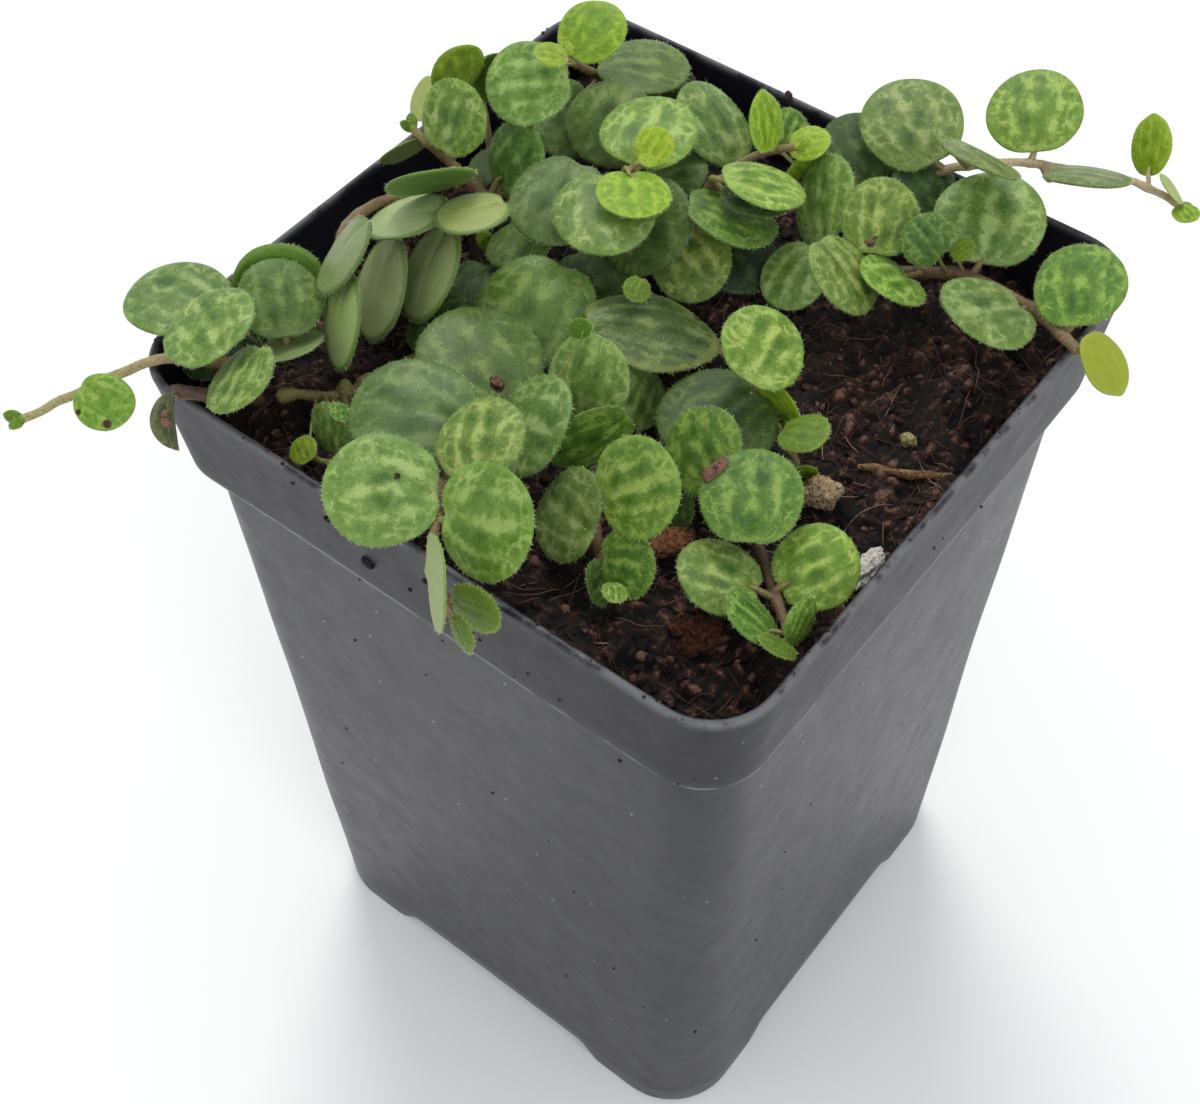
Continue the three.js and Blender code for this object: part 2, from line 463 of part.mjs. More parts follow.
    leaves: [
      [[-28.27, -5.71, 136.46], [-0.6391, 0.489, 0.5937], [0.2127, 0.8541, -0.4745], 5.44, 1, 0.49, 0.76],
      [[-27.5, 9.15, 129.97], [-0.1869, -0.87, 0.4563], [-0.4645, -0.331, -0.8214], 4.97, 1, 0.45, 0.7],
      [[-33.62, 4.71, 136.53], [0.0575, -0.8815, 0.4686], [-0.1115, -0.4721, -0.8745], 4.74, 1, 0.43, 0.66],
      [[-21.68, -5.75, 134.96], [-0.2124, 0.0674, 0.9749], [0.4321, 0.9013, 0.0319], 4.57, 1, 0.41, 0.64],
      [[-21.39, 1.97, 124.46], [-0.174, -0.1329, 0.9757], [-0.2669, 0.9601, 0.0832], 4.31, 1, 0.39, 0.6],
      [[-36.98, 15.07, 134.68], [-0.9136, 0.3834, 0.1356], [-0.0709, 0.178, -0.9815], 3.87, 1, 0.35, 0.54],
      [[-37.33, 10.04, 139], [-0.9317, 0.34, 0.1275], [-0.0751, 0.1633, -0.9837], 3.78, 1, 0.34, 0.53],
      [[-40.78, 2.49, 129.3], [-0.7817, 0.3224, 0.5338], [0.3766, 0.9263, -0.008], 3.35, 1, 0.3, 0.47],
      [[-45.83, 12.05, 129], [0.4301, 0.68, -0.5939], [0.8653, -0.4981, 0.0563], 2.92, 1, 0.26, 0.41],
      [[-33.39, 9.16, 125.61], [-0.2405, -0.611, 0.7542], [0.5752, -0.7156, -0.3963], 2.61, 1, 0.24, 0.37],
      [[-26.7, 1.74, 122], [-0.3104, 0.9166, -0.2518], [0.3169, 0.3496, 0.8817], 1.42, 1, 0.13, 0.32],
    ],
  },
  {
    name: "stem_back",
    stems: [
      [0.71, true, [[-26.39, 36.18, 119.5], [-27.86, 35.95, 121.01], [-29.23, 35.61, 122.6], [-30.27, 34.84, 124.22], [-30.96, 33.41, 125.63], [-31.49, 31.95, 127.07], [-32.03, 30.48, 128.51], [-32.63, 29.07, 129.98], [-33.11, 27.63, 131.46], [-33.92, 26.42, 133]]],
    ],
    stalks: [
      [0.46, [-31.54, 31.82, 127.2], [-31.62, 32.1, 127.54], [-31.65, 32.52, 127.79], [-31.7, 32.74, 127.78]],
      [0.46, [-29.87, 35.14, 123.59], [-27.37, 33.9, 125.72], [-25.89, 28.98, 127.01], [-25.01, 28.5, 129.5]],
      [0.46, [-31.54, 31.82, 127.2], [-31.21, 31.67, 127.17], [-32.63, 30.51, 125.05], [-32.61, 28.98, 125.3]],
      [0.46, [-33.92, 26.42, 133], [-28.91, 21.38, 134.7], [-27.19, 19.18, 137.06], [-26.48, 17.74, 137.69]],
      [0.4, [-33.6, 26.9, 132.4], [-32.86, 26.87, 133.37], [-32.17, 27.43, 133.87], [-31.82, 27.22, 134.26]],
      [0.3, [-29.59, 35.34, 123.17], [-27.83, 35.48, 124.33], [-25.7, 37.1, 125.76], [-25.49, 37.93, 124.89]],
      [0.2, [-33.92, 26.42, 133], [-29.11, 20.89, 136.41], [-23.74, 19.98, 139.54], [-25.8, 17.32, 141.93]],
      [0.2, [-33.92, 26.42, 133], [-30.7, 21.31, 135.34], [-30.35, 23.47, 139.54], [-26.32, 18.49, 141.13]],
    ],
    leaves: [
      [[-31.51, 30.04, 135.58], [0.1119, -0.4189, 0.9011], [-0.0973, -0.9071, -0.4096], 4.47, 1, 0.4, 0.63],
      [[-24.96, 39.48, 123.25], [-0.8941, 0.4354, 0.1049], [-0.2401, -0.6637, 0.7084], 3.31, 1, 0.3, 0.46],
      [[-27.02, 16.29, 142.22], [0.2305, 0.0903, 0.9689], [0.7512, 0.6164, -0.2361], 2.11, 1, 0.19, 0.3],
      [[-27.01, 18.82, 141.31], [-0.0924, -0.5085, 0.8561], [0.8747, -0.4523, -0.1742], 1.13, 1, 0.1, 0.3],
    ],
  },
  {
    name: "stem_middle_back",
    stems: [
      [0.6, true, [[-13.46, 8.41, 119.51], [-14.45, 10.19, 120.07], [-15.5, 11.72, 120.94], [-16.39, 11.53, 122.73], [-16.2, 10.95, 124.72], [-15.35, 11, 126.64], [-14.18, 11.15, 128.38], [-13.08, 11.4, 130.12], [-13.24, 13.27, 130.72], [-13.51, 15.27, 131.12], [-12.64, 16.97, 132]]],
    ],
    stalks: [
      [0.46, [-13.08, 11.4, 130.12], [-13.68, 11.1, 130.35], [-13.59, 10.78, 132.42], [-14.01, 10.28, 132.31]],
      [0.46, [-13.37, 14.21, 130.91], [-15.47, 14.01, 130.54], [-13.76, 18.11, 127.2], [-12.71, 15.24, 127.6]],
      [0.46, [-13.47, 14.97, 131.06], [-14.03, 15.04, 129.67], [-14.99, 16.62, 129.22], [-15.05, 17.61, 129.88]],
      [0.46, [-13.77, 11.24, 129.03], [-15.72, 11.58, 129.93], [-17.47, 11.43, 130.81], [-18.62, 10.82, 131.44]],
      [0.45, [-13.84, 9.09, 119.72], [-15.28, 8.5, 120.39], [-15.62, 7.69, 120.78], [-15.69, 7.64, 121.16]],
      [0.4, [-13.2, 12.77, 130.56], [-13.46, 13.6, 134.54], [-11.64, 11.76, 134.77], [-10.75, 11.41, 134.4]],
      [0.35, [-13.47, 14.97, 131.06], [-14.35, 16.76, 129.62], [-16.43, 20.64, 124.26], [-14.62, 21.88, 125.56]],
      [0.23, [-12.64, 16.97, 132], [-12.11, 16.67, 132.48], [-12.24, 16.56, 132.61], [-12.07, 16.39, 133.28]],
      [0.2, [-13.14, 12.15, 130.36], [-12.02, 14.1, 133.47], [-11.98, 13.86, 134.59], [-10.33, 13.83, 134.97]],
    ],
    leaves: [
      [[-12.66, 5.78, 121.43], [-0.1416, -0.1083, 0.984], [-0.8522, 0.519, -0.0655], 5.09, 1, 0.46, 0.71],
      [[-8.56, 9.14, 134.53], [0.0599, 0.0992, 0.9933], [-0.6935, 0.7198, -0.0301], 4.5, 1, 0.4, 0.63],
      [[-12.62, 23.68, 126], [0.0717, -0.296, 0.9525], [-0.7318, -0.6645, -0.1515], 3.9, 1, 0.35, 0.55],
      [[-12.07, 17.83, 134.27], [0.2021, -0.5472, 0.8122], [0.0023, -0.8291, -0.5591], 2.49, 1, 0.22, 0.35],
      [[-10.55, 14.57, 135], [0.2361, 0.1048, 0.9661], [0.2935, -0.9554, 0.0319], 1.11, 1, 0.1, 0.32],
    ],
  },
  {
    name: "stem_back_right",
    stems: [
      [0.65, true, [[-2.12, 14.72, 119.54], [-3.17, 16.53, 119.92], [-4.21, 18.33, 120.37], [-5.15, 19.84, 121.45], [-5.65, 20.34, 123.38], [-5.82, 20.29, 125.5], [-6.09, 20.65, 127.57], [-5.37, 21.31, 129.34], [-4.71, 23.13, 129.48], [-5.22, 25.13, 129.04], [-5.02, 27.15, 128.92], [-3.81, 28.66, 129.72], [-2.2, 29.47, 130.82], [-0.4, 29.62, 131.93], [1.45, 29.96, 132.9]]],
    ],
    stalks: [
      [0.46, [-5.05, 26.84, 128.94], [-5.56, 26.34, 124.82], [-9.21, 29.68, 122.51], [-9.56, 31.1, 124.3]],
      [0.46, [-6.06, 20.68, 127.65], [-6.18, 17.74, 129.12], [-5.03, 16.55, 128.61], [-4.28, 15.65, 129.28]],
      [0.46, [-5.37, 21.31, 129.34], [-5.98, 21.13, 130.76], [-2.48, 17.96, 133.13], [-1.06, 18.39, 133.18]],
      [0.46, [-5.81, 20.3, 125.29], [-4.42, 19.81, 124.32], [-3.54, 19.28, 123.82], [-2.13, 19.22, 124.46]],
      [0.45, [-5.81, 20.3, 125.29], [-7.83, 18.55, 124.19], [-6.29, 15.96, 124.66], [-5.33, 14.05, 125.28]],
      [0.37, [-5.37, 21.31, 129.34], [-4.91, 21.37, 129.82], [-1.19, 18.59, 131.65], [-0.6, 18.5, 132.05]],
      [0.33, [-1.99, 29.49, 130.96], [-1.53, 28.98, 131.31], [-2.05, 28.25, 132.59], [-1.83, 27.88, 133.3]],
      [0.29, [-1.3, 29.54, 131.38], [-0.92, 30.02, 131.14], [0.76, 30.33, 129.4], [1.17, 30.83, 129.35]],
      [0.26, [-2.73, 29.21, 130.47], [-5.76, 31.98, 131.27], [-8.66, 36.52, 125.89], [-4.35, 36.87, 126.29]],
      [0.25, [-1.3, 29.54, 131.38], [-0.64, 30.38, 131.79], [-0.13, 30.98, 131.39], [0.04, 31.47, 131.4]],
    ],
    leaves: [
      [[0.98, 18.03, 123], [0.3707, -0.1775, 0.9116], [-0.8517, 0.3265, 0.4099], 5.2, 1, 0.47, 0.73],
      [[-2.29, 12.8, 124], [0.1544, -0.5152, 0.843], [-0.8614, 0.3477, 0.3702], 5.03, 1, 0.45, 0.7],
      [[1.77, 20.04, 131.63], [0.0202, 0.2526, 0.9674], [-0.8303, -0.5347, 0.1569], 4.07, 1, 0.37, 0.57],
      [[-2.94, 28.98, 135.31], [0.8409, -0.0955, 0.5327], [0.4469, -0.4327, -0.783], 3.63, 1.35, 0.33, 0.51],
      [[1.33, 32.6, 127.98], [0.9154, -0.2865, -0.2829], [-0.0609, -0.7931, 0.6061], 3.21, 1, 0.29, 0.45],
      [[-4.86, 38.6, 127], [0.6362, -0.1111, 0.7635], [0.2695, -0.8953, -0.3548], 2.77, 1, 0.25, 0.39],
      [[1.55, 32.4, 131.97], [-0.1354, -0.3325, 0.9333], [-0.8128, -0.5014, -0.2966], 2.66, 1, 0.24, 0.37],
    ],
  },
  {
    name: "stem_right",
    stems: [
      [0.62, true, [[11.74, 29.68, 119.4], [11.06, 31.76, 119.69], [10.38, 33.84, 119.99], [9.71, 35.91, 120.35], [9.4, 37.99, 120.81], [9.98, 39.92, 121.65], [11, 40.85, 123.33], [12.39, 41.09, 124.99], [14.04, 41.22, 126.45], [15.59, 41.61, 127.96], [17.13, 42.01, 129.47], [18.84, 41.68, 130.8], [20.63, 41.61, 132.02], [22.13, 43.11, 132.02], [22.74, 45.05, 131.16], [23.6, 46.91, 130.39], [25.09, 48.45, 129.95], [26.91, 49.64, 129.6], [28.72, 50.85, 129.23], [30.51, 52.08, 128.86], [32.3, 53.32, 128.48], [34.1, 54.54, 128.1], [35.97, 55.61, 127.71], [38.01, 56.26, 127.14], [40.08, 56.81, 126.64], [42.19, 57.02, 126]]],
    ],
    stalks: [
      [0.46, [16.42, 41.83, 128.77], [14.97, 41.51, 129.47], [13.95, 41.67, 129.67], [14.06, 41.45, 129.57]],
      [0.46, [24.84, 48.2, 130.03], [24.6, 48.84, 130.7], [24.64, 49.39, 131.06], [24.47, 49.5, 131.18]],
      [0.46, [11.74, 29.68, 119.4], [10.4, 27.88, 122.46], [9.2, 27.21, 123.36], [9.32, 26.75, 124.42]],
      [0.46, [9.63, 38.76, 121.15], [8.97, 38.22, 122.26], [8.57, 37.73, 124.08], [7.81, 37.84, 124.99]],
      [0.46, [26.12, 49.13, 129.75], [27.93, 48, 128.69], [28.1, 46.73, 129.3], [29.2, 46.9, 131.68]],
      [0.46, [19.46, 41.66, 131.22], [19.13, 39.69, 133.29], [18.31, 38.4, 135.01], [18.72, 38.65, 136.25]],
      [0.39, [12.94, 41.14, 125.47], [15.51, 39.4, 124.79], [16.38, 38.88, 125.05], [17.97, 37.88, 125.89]],
      [0.33, [37.6, 56.13, 127.25], [37.53, 57.43, 127.35], [36.39, 58.34, 127.54], [36.36, 59, 128.06]],
      [0.21, [41.41, 56.94, 126.23], [41.76, 56.63, 127.76], [41.69, 56.08, 127.75], [41.57, 56.24, 127.75]],
      [0.2, [9.42, 38.06, 120.84], [8.88, 38.96, 121.41], [7.72, 38.41, 122.4], [6.42, 38.83, 123.01]],
      [0.2, [42.19, 57.02, 126], [42.38, 56.67, 126.3], [42.41, 56.33, 126.52], [42.75, 55.73, 126.95]],
    ],
    leaves: [
      [[32.77, 47.56, 132.48], [-0.2574, 0.389, 0.8846], [-0.9634, -0.1748, -0.2034], 5.32, 1, 0.48, 0.74],
      [[22.37, 38.29, 136.22], [0.0704, 0.5251, 0.8481], [-0.9945, 0.1027, 0.0189], 5.24, 1, 0.47, 0.73],
      [[15.46, 38.77, 127.33], [0.3966, -0.2658, 0.8787], [0.8331, -0.2978, -0.4661], 4.33, 1, 0.39, 0.61],
      [[35.34, 60.38, 130], [-0.2794, -0.8408, 0.4636], [0.3924, -0.5407, -0.7441], 3.7, 1.3, 0.33, 0.52],
      [[40.7, 56.24, 128.4], [-0.5142, -0.4235, -0.7458], [0.8553, -0.1887, -0.4825], 2.27, 1.2, 0.2, 0.32],
      [[5.23, 39.7, 123], [0.163, 0.2608, 0.9515], [0.8074, -0.5896, 0.0232], 2.11, 1, 0.19, 0.32],
      [[43.72, 55.12, 127], [-0.075, -0.1004, 0.9921], [-0.8459, 0.5332, -0.0099], 1.64, 1, 0.15, 0.32],
    ],
  },
  {
    name: "stem_right_front",
    stems: [
      [0.85, true, [[7.35, 23.49, 119.78], [9.13, 24.88, 119.88], [10.99, 26.12, 120.14], [12.95, 27.11, 120.61], [15.03, 27.76, 121.2], [17.11, 28.32, 121.86], [19.19, 28.89, 122.53], [21.25, 29.55, 123.17], [23.31, 30.19, 123.83], [25.37, 30.72, 124.57], [27.5, 30.52, 125.18], [29.6, 30.02, 125.82], [31.66, 29.43, 126.55], [33.68, 28.67, 127.18], [35.68, 27.84, 127.82], [37.67, 27, 128.47], [39.62, 25.98, 128.94], [41.6, 24.97, 129.34], [43.62, 24, 129.55], [45.68, 23.09, 129.6]]],
    ],
    stalks: [
      [0.46, [27.58, 30.5, 125.2], [27.45, 31.06, 126.05], [27.88, 32.25, 126.4], [27.62, 32.85, 126.28]],
      [0.46, [37.07, 27.25, 128.27], [36.57, 26.31, 128.49], [36.41, 25.7, 128.26], [36.02, 25.38, 128.48]],
      [0.46, [13.42, 27.26, 120.75], [15.56, 24.11, 125.44], [9.87, 20.71, 128.22], [12.23, 18.86, 130.06]],
      [0.46, [42.74, 24.42, 129.45], [43.04, 25.63, 130.1], [43.28, 26.39, 130.03], [43.56, 26.3, 130.5]],
      [0.43, [14.91, 27.72, 121.17], [14.99, 26.18, 124.04], [14.41, 26.92, 124.17], [16.58, 25.15, 128.54]],
      [0.4, [21.6, 29.66, 123.28], [21.45, 28.48, 123.77], [20.83, 26.57, 124.51], [21.28, 25.19, 125.93]],
      [0.39, [7.35, 23.49, 119.78], [8.23, 22.34, 123.09], [8.65, 21.74, 124.16], [9.1, 21.6, 125.15]],
      [0.34, [45.68, 23.09, 129.6], [45.98, 23.89, 129.94], [46.54, 23.75, 130.66], [46.69, 24.32, 130.76]],
      [0.29, [24.55, 30.51, 124.28], [24.16, 29.76, 124.9], [23.73, 28.91, 126.96], [23.34, 28.52, 128.42]],
      [0.2, [26.81, 30.58, 124.98], [25.92, 30.67, 125.92], [25.28, 30.33, 127.55], [25.24, 29.71, 128.24]],
    ],
    leaves: [
      [[15.48, 27.51, 130.66], [0.1556, -0.6093, 0.7775], [0.3308, -0.7095, -0.6222], 4.79, 1, 0.43, 0.67],
      [[21.11, 22.34, 127.27], [0.2527, 0.391, 0.885], [0.0552, 0.9074, -0.4167], 4.51, 1, 0.41, 0.63],
      [[9.17, 18.98, 123.56], [-0.0744, -0.5288, 0.8455], [-0.022, 0.8485, 0.5287], 4.38, 1, 0.39, 0.61],
      [[48.86, 23.52, 129.43], [0.5137, -0.0778, 0.8545], [-0.8062, 0.297, 0.5117], 3.81, 1.25, 0.34, 0.53],
      [[21.81, 28.11, 129.98], [0.6552, -0.5545, 0.513], [0.6955, 0.1775, -0.6963], 3.17, 1, 0.29, 0.44],
      [[25.69, 30.39, 129], [-0.3642, -0.5483, 0.7528], [-0.4172, -0.6266, -0.6583], 1.59, 1, 0.14, 0.32],
    ],
  },
  {
    name: "stem_front_left",
    stems: [
      [0.7, true, [[-10.74, -3.18, 119.58], [-10.42, -5.39, 119.67], [-10.17, -7.62, 119.65], [-9.87, -9.84, 119.7], [-9.56, -12.06, 119.78], [-9.24, -14.27, 119.88], [-8.89, -16.48, 120.02], [-8.58, -18.68, 120.3], [-8.26, -20.87, 120.67], [-7.92, -23.05, 121.07], [-7.56, -25.22, 121.49], [-7.13, -27.34, 122.06], [-6.24, -29.27, 122.68], [-5.03, -31.05, 123.3], [-3.82, -32.78, 124.04], [-2.61, -34.49, 124.84], [-1.33, -36.09, 125.73], [-0.01, -37.63, 126.69], [1.31, -39.14, 127.68], [2.61, -40.69, 128.61], [3.82, -42.57, 128.7], [5.04, -44.43, 128.68], [6.36, -45.98, 127.83], [7.98, -46.3, 126.36], [9.6, -46.46, 124.82], [11.26, -46.93, 123.4]]],
    ],
    stalks: [
      [0.46, [-8.18, -21.38, 120.76], [-7.87, -20.51, 121.38], [-5.99, -20.04, 122.61], [-5.95, -19.54, 123.54]],
      [0.46, [-10.74, -3.18, 119.58], [-12.24, -1.94, 122.34], [-12.48, 0.77, 125.69], [-12.72, -0.25, 125.83]],
      [0.46, [-6.03, -29.58, 122.79], [-5.49, -27.99, 125.18], [-4.53, -27.13, 126.98], [-4.98, -27.64, 127.39]],
      [0.46, [1.18, -39, 127.59], [0.97, -38.86, 127.91], [0.36, -39.15, 129.38], [0.18, -38.93, 130.02]],
      [0.46, [2.55, -40.61, 128.57], [2.77, -40.91, 128.93], [3.95, -39.8, 129.12], [4.46, -39.68, 130.15]],
      [0.44, [1.31, -39.15, 127.68], [2.31, -39.19, 127.76], [2.17, -34.43, 130.18], [3.24, -34.64, 132.44]],
      [0.44, [6.17, -45.75, 127.95], [6.75, -45.92, 128.51], [7.35, -47.19, 129.58], [7.54, -46.97, 129.79]],
      [0.4, [-10.31, -6.36, 119.67], [-12.53, -6.52, 118.66], [-16.09, -10.06, 120.01], [-19.96, -11.43, 124.06]],
      [0.39, [-10.51, -4.77, 119.65], [-12.3, -3.13, 121.12], [-23.27, -1.62, 119.7], [-24.39, -2.36, 121.43]],
      [0.29, [8.9, -46.39, 125.49], [9.23, -46.42, 125.84], [10.08, -46.42, 126.78], [10.83, -46.89, 127.31]],
      [0.2, [8.9, -46.39, 125.49], [9.84, -48.98, 128.05], [12.63, -49.08, 127], [12.59, -49.04, 127.8]],
      [0.2, [-8.59, -18.63, 120.29], [-1.12, -17.45, 122.5], [-0.75, -11.38, 129.89], [-0.96, -10.41, 131.62]],
    ],
    leaves: [
      [[1.49, -31.64, 133.37], [-0.1567, -0.3641, 0.9181], [0.4863, -0.8375, -0.2492], 5.13, 1, 0.46, 0.69],
      [[10.01, -48.54, 131.67], [0.6303, 0.7566, -0.1738], [-0.7019, 0.4597, -0.5441], 4.98, 1, 0.45, 0.7],
      [[-21.59, -13.76, 122.81], [-0.2617, -0.3219, 0.9099], [0.522, 0.7458, 0.414], 4.44, 1, 0.4, 0.62],
      [[-23.68, -5.27, 121], [-0.0702, -0.1754, 0.982], [-0.2384, 0.9588, 0.1543], 4.31, 1, 0.39, 0.6],
      [[13, -46.55, 127.58], [0.1421, -0.9747, 0.1727], [-0.9786, -0.1645, -0.1233], 3.16, 1, 0.28, 0.44],
      [[13.71, -49.54, 127], [-0.1834, -0.936, 0.3004], [-0.7665, 0.3275, 0.5525], 2.09, 1.2, 0.19, 0.32],
      [[-1.32, -10.61, 131.7], [-0.6123, 0.7639, -0.2039], [0.789, 0.5738, -0.2196], 1.39, 1, 0.13, 0.31],
    ],
  },
  {
    name: "stem_front_middle",
    stems: [
      [0.7, true, [[5.42, -13.62, 118.6], [5.07, -15.27, 119.9], [6.09, -17.26, 119.81], [7.27, -19.18, 119.91], [8.49, -21.06, 120.06], [10.02, -22.71, 120.21], [11.55, -24.35, 120.39], [13.08, -26, 120.58], [14.52, -27.73, 120.77], [15.95, -29.46, 120.96], [17.57, -31, 121.18], [19.22, -32.53, 121.4]]],
    ],
    stalks: [
      [0.46, [5.1, -15.12, 119.79], [-1.21, -10.66, 121.21], [-5.24, -5.37, 125.76], [-3.31, -5.13, 126.23]],
      [0.46, [6.42, -17.79, 119.84], [0.22, -19.5, 121.88], [-2.22, -20.81, 123.29], [-2.43, -21.96, 125.34]],
      [0.46, [17.01, -30.47, 121.1], [18.07, -26.46, 122.9], [17.45, -27.12, 128.28], [16.69, -27.83, 131.31]],
      [0.46, [5.11, -15.08, 119.76], [3.8, -15.47, 120.56], [3.01, -13.89, 122.12], [2.19, -14.19, 122.21]],
      [0.46, [15.17, -28.52, 120.86], [15.3, -29.73, 123.55], [15.14, -29.31, 124.96], [14.69, -30.06, 125.95]],
      [0.46, [5.14, -14.97, 119.67], [6.37, -16.29, 120.01], [6.21, -14.51, 126.21], [8.95, -16.71, 127.6]],
      [0.37, [5.08, -15.23, 119.88], [3.8, -15.31, 116.57], [2.25, -7.02, 121.61], [4.5, -5.18, 122.5]],
      [0.34, [17.42, -30.86, 121.16], [18.54, -30.65, 123.39], [18.42, -29.79, 124.46], [19.33, -31.74, 125.82]],
      [0.23, [18.62, -31.97, 121.32], [18.51, -31.57, 121.89], [18.47, -31.79, 122.34], [18.97, -31.89, 123.3]],
      [0.2, [14.96, -28.26, 120.83], [22.65, -30.99, 120.68], [20.98, -34.34, 120.36], [22.25, -34.55, 125.95]],
    ],
    leaves: [
      [[11.3, -29.04, 125], [-0.3894, -0.6482, 0.6544], [0.9209, -0.2852, 0.2656], 5.24, 1, 0.47, 0.73],
      [[7.16, -19.44, 126.08], [0.8434, -0.5339, -0.0611], [0.5068, 0.7525, 0.4206], 5.15, 1, 0.46, 0.72],
      [[5.01, -7.93, 121.95], [0.7527, -0.004, 0.6584], [-0.1712, 0.9644, 0.2016], 4.07, 1, 0.37, 0.57],
      [[21.7, -31.59, 126.98], [-0.1921, -0.8318, 0.5208], [-0.8984, -0.0645, -0.4344], 3.77, 1, 0.34, 0.53],
      [[19.48, -33.54, 123.63], [0.7814, 0.3301, 0.5296], [-0.279, 0.9439, -0.1767], 2.51, 1, 0.23, 0.35],
      [[22.6, -34.88, 126], [0.1594, 0.1591, 0.9743], [-0.7181, 0.6959, 0.0039], 1.39, 1, 0.13, 0.32],
    ],
  },
  {
    name: "stem_front_right",
    stems: [
      [0.75, true, [[12.16, -6.85, 119.77], [13.95, -8.08, 119.77], [15.74, -9.32, 119.77], [17.52, -10.56, 119.79], [19.3, -11.81, 119.86], [21.07, -13.06, 119.95], [22.97, -14.08, 120.13], [24.94, -14.98, 120.33], [26.9, -15.89, 120.54], [28.85, -16.82, 120.8], [30.54, -18.13, 121.04], [32.11, -19.61, 121.3], [33.67, -21.1, 121.59], [35.26, -22.52, 122], [36.85, -23.94, 122.42], [38.44, -25.34, 122.89], [40.03, -26.74, 123.4]]],
    ],
    stalks: [
      [0.46, [28.03, -16.43, 120.69], [28.08, -17.29, 124.29], [28.26, -19.19, 122.5], [29.99, -20.63, 126.58]],
      [0.45, [24.34, -14.71, 120.27], [24.5, -15.87, 121.49], [22.84, -15.94, 125.6], [21.87, -15.43, 126.69]],
      [0.43, [34.71, -22.02, 121.86], [34.64, -21.67, 122.34], [35.07, -20.76, 122.55], [35.46, -20.3, 122.71]],
      [0.43, [35.3, -22.55, 122.01], [34.62, -23.11, 122.49], [33.24, -23.07, 122.57], [32.35, -23.63, 123.13]],
      [0.33, [39.44, -26.22, 123.21], [38.79, -27.15, 123.47], [37.91, -27.01, 123.52], [37.81, -27.6, 123.59]],
      [0.25, [40.03, -26.74, 123.4], [40.1, -27.04, 123.65], [40.32, -26.86, 123.96], [40.47, -26.99, 124.27]],
      [0.23, [20.02, -12.32, 119.89], [19.48, -12.62, 120.63], [18.46, -16.58, 121.44], [17.85, -17.17, 121.98]],
      [0.21, [40.03, -26.74, 123.4], [38.26, -27.64, 122.7], [41.87, -28.91, 123.52], [41.67, -29.38, 124.99]],
    ],
    leaves: [
      [[18.72, -13.83, 127.16], [-0.2505, -0.674, 0.695], [0.8815, -0.4556, -0.1241], 5.08, 1, 0.46, 0.71],
      [[37.04, -17.62, 124], [0.0224, -0.4337, 0.9008], [-0.4697, -0.7999, -0.3735], 4.81, 1, 0.43, 0.67],
      [[29.36, -24.91, 124], [0.2274, 0.1027, 0.9684], [0.8894, 0.383, -0.2494], 4.8, 1, 0.43, 0.67],
      [[35.74, -28.01, 125], [0.4134, 0.4906, 0.7671], [0.8196, 0.1665, -0.5482], 3.62, 1, 0.33, 0.51],
      [[40.27, -25.47, 125.33], [0.9175, -0.1266, 0.3769], [0.118, -0.8185, -0.5622], 2.65, 1.2, 0.24, 0.37],
      [[18.73, -18.35, 121], [-0.3149, -0.7449, 0.5882], [-0.503, 0.6565, 0.5621], 2.52, 1, 0.23, 0.35],
      [[40.19, -29.63, 125.36], [0.1358, 0.4277, 0.8937], [0.9602, 0.1656, -0.2252], 2.21, 1.3, 0.2, 0.32],
    ],
  },
  {
    name: "stem_centre",
    stems: [
      [0.6, true, [[1.58, 7.54, 119.43], [3.68, 6.87, 119.56], [5.77, 6.19, 119.71], [7.86, 5.51, 119.86], [9.95, 4.84, 120], [12.03, 4.14, 120.19], [14.11, 3.43, 120.39], [16.01, 2.35, 120.41], [17.85, 1.14, 120.39], [19.69, -0.07, 120.35], [21.55, -1.24, 120.19], [23.42, -2.37, 119.91], [25.29, -3.49, 119.6]]],
    ],
    stalks: [
      [0.46, [18.52, 0.7, 120.38], [17.49, -0.32, 122.21], [15.29, -0.94, 122.41], [17.13, -1.65, 124.4]],
      [0.45, [16.51, 2.02, 120.41], [17.13, 3.31, 128.5], [16.42, -2.25, 130.47], [18.15, -3.51, 130.94]],
      [0.34, [18.52, 0.7, 120.38], [19.78, -0.65, 124.24], [18.34, 0.79, 126.75], [18.8, -1.01, 126.78]],
      [0.27, [23.93, -2.67, 119.83], [22.91, -4.29, 122.93], [24.28, -4.58, 125.47], [24.23, -4.56, 125.97]],
      [0.2, [2.07, 7.39, 119.46], [-4.21, 6.04, 123.21], [-5.96, 5.1, 125.65], [-1.86, 1.28, 129.1]],
      [0.2, [25.29, -3.49, 119.6], [25.6, -4.11, 120.25], [25.95, -4.83, 119.9], [26.2, -4.78, 120.31]],
    ],
    leaves: [
      [[17.36, -0.15, 131.7], [0.4932, -0.0678, 0.8673], [0.2303, -0.9512, -0.2053], 5.05, 1, 0.45, 0.71],
      [[20.55, -1.15, 124.83], [-0.1981, -0.9723, -0.124], [-0.6676, 0.0412, 0.7434], 3.74, 1, 0.34, 0.52],
      [[26.18, -4.31, 126.64], [-0.2924, -0.138, 0.9463], [-0.9432, -0.1217, -0.3092], 2.97, 1, 0.27, 0.42],
      [[-1.65, 0.74, 129], [0.3887, -0.0878, 0.9172], [-0.3277, 0.9172, 0.2267], 1.68, 1, 0.15, 0.32],
      [[27.02, -4.28, 120.5], [-0.4998, 0.8469, 0.1817], [-0.8635, -0.4708, -0.1807], 1.4, 1, 0.13, 0.32],
    ],
  },
  {
    name: "stem_small_left",
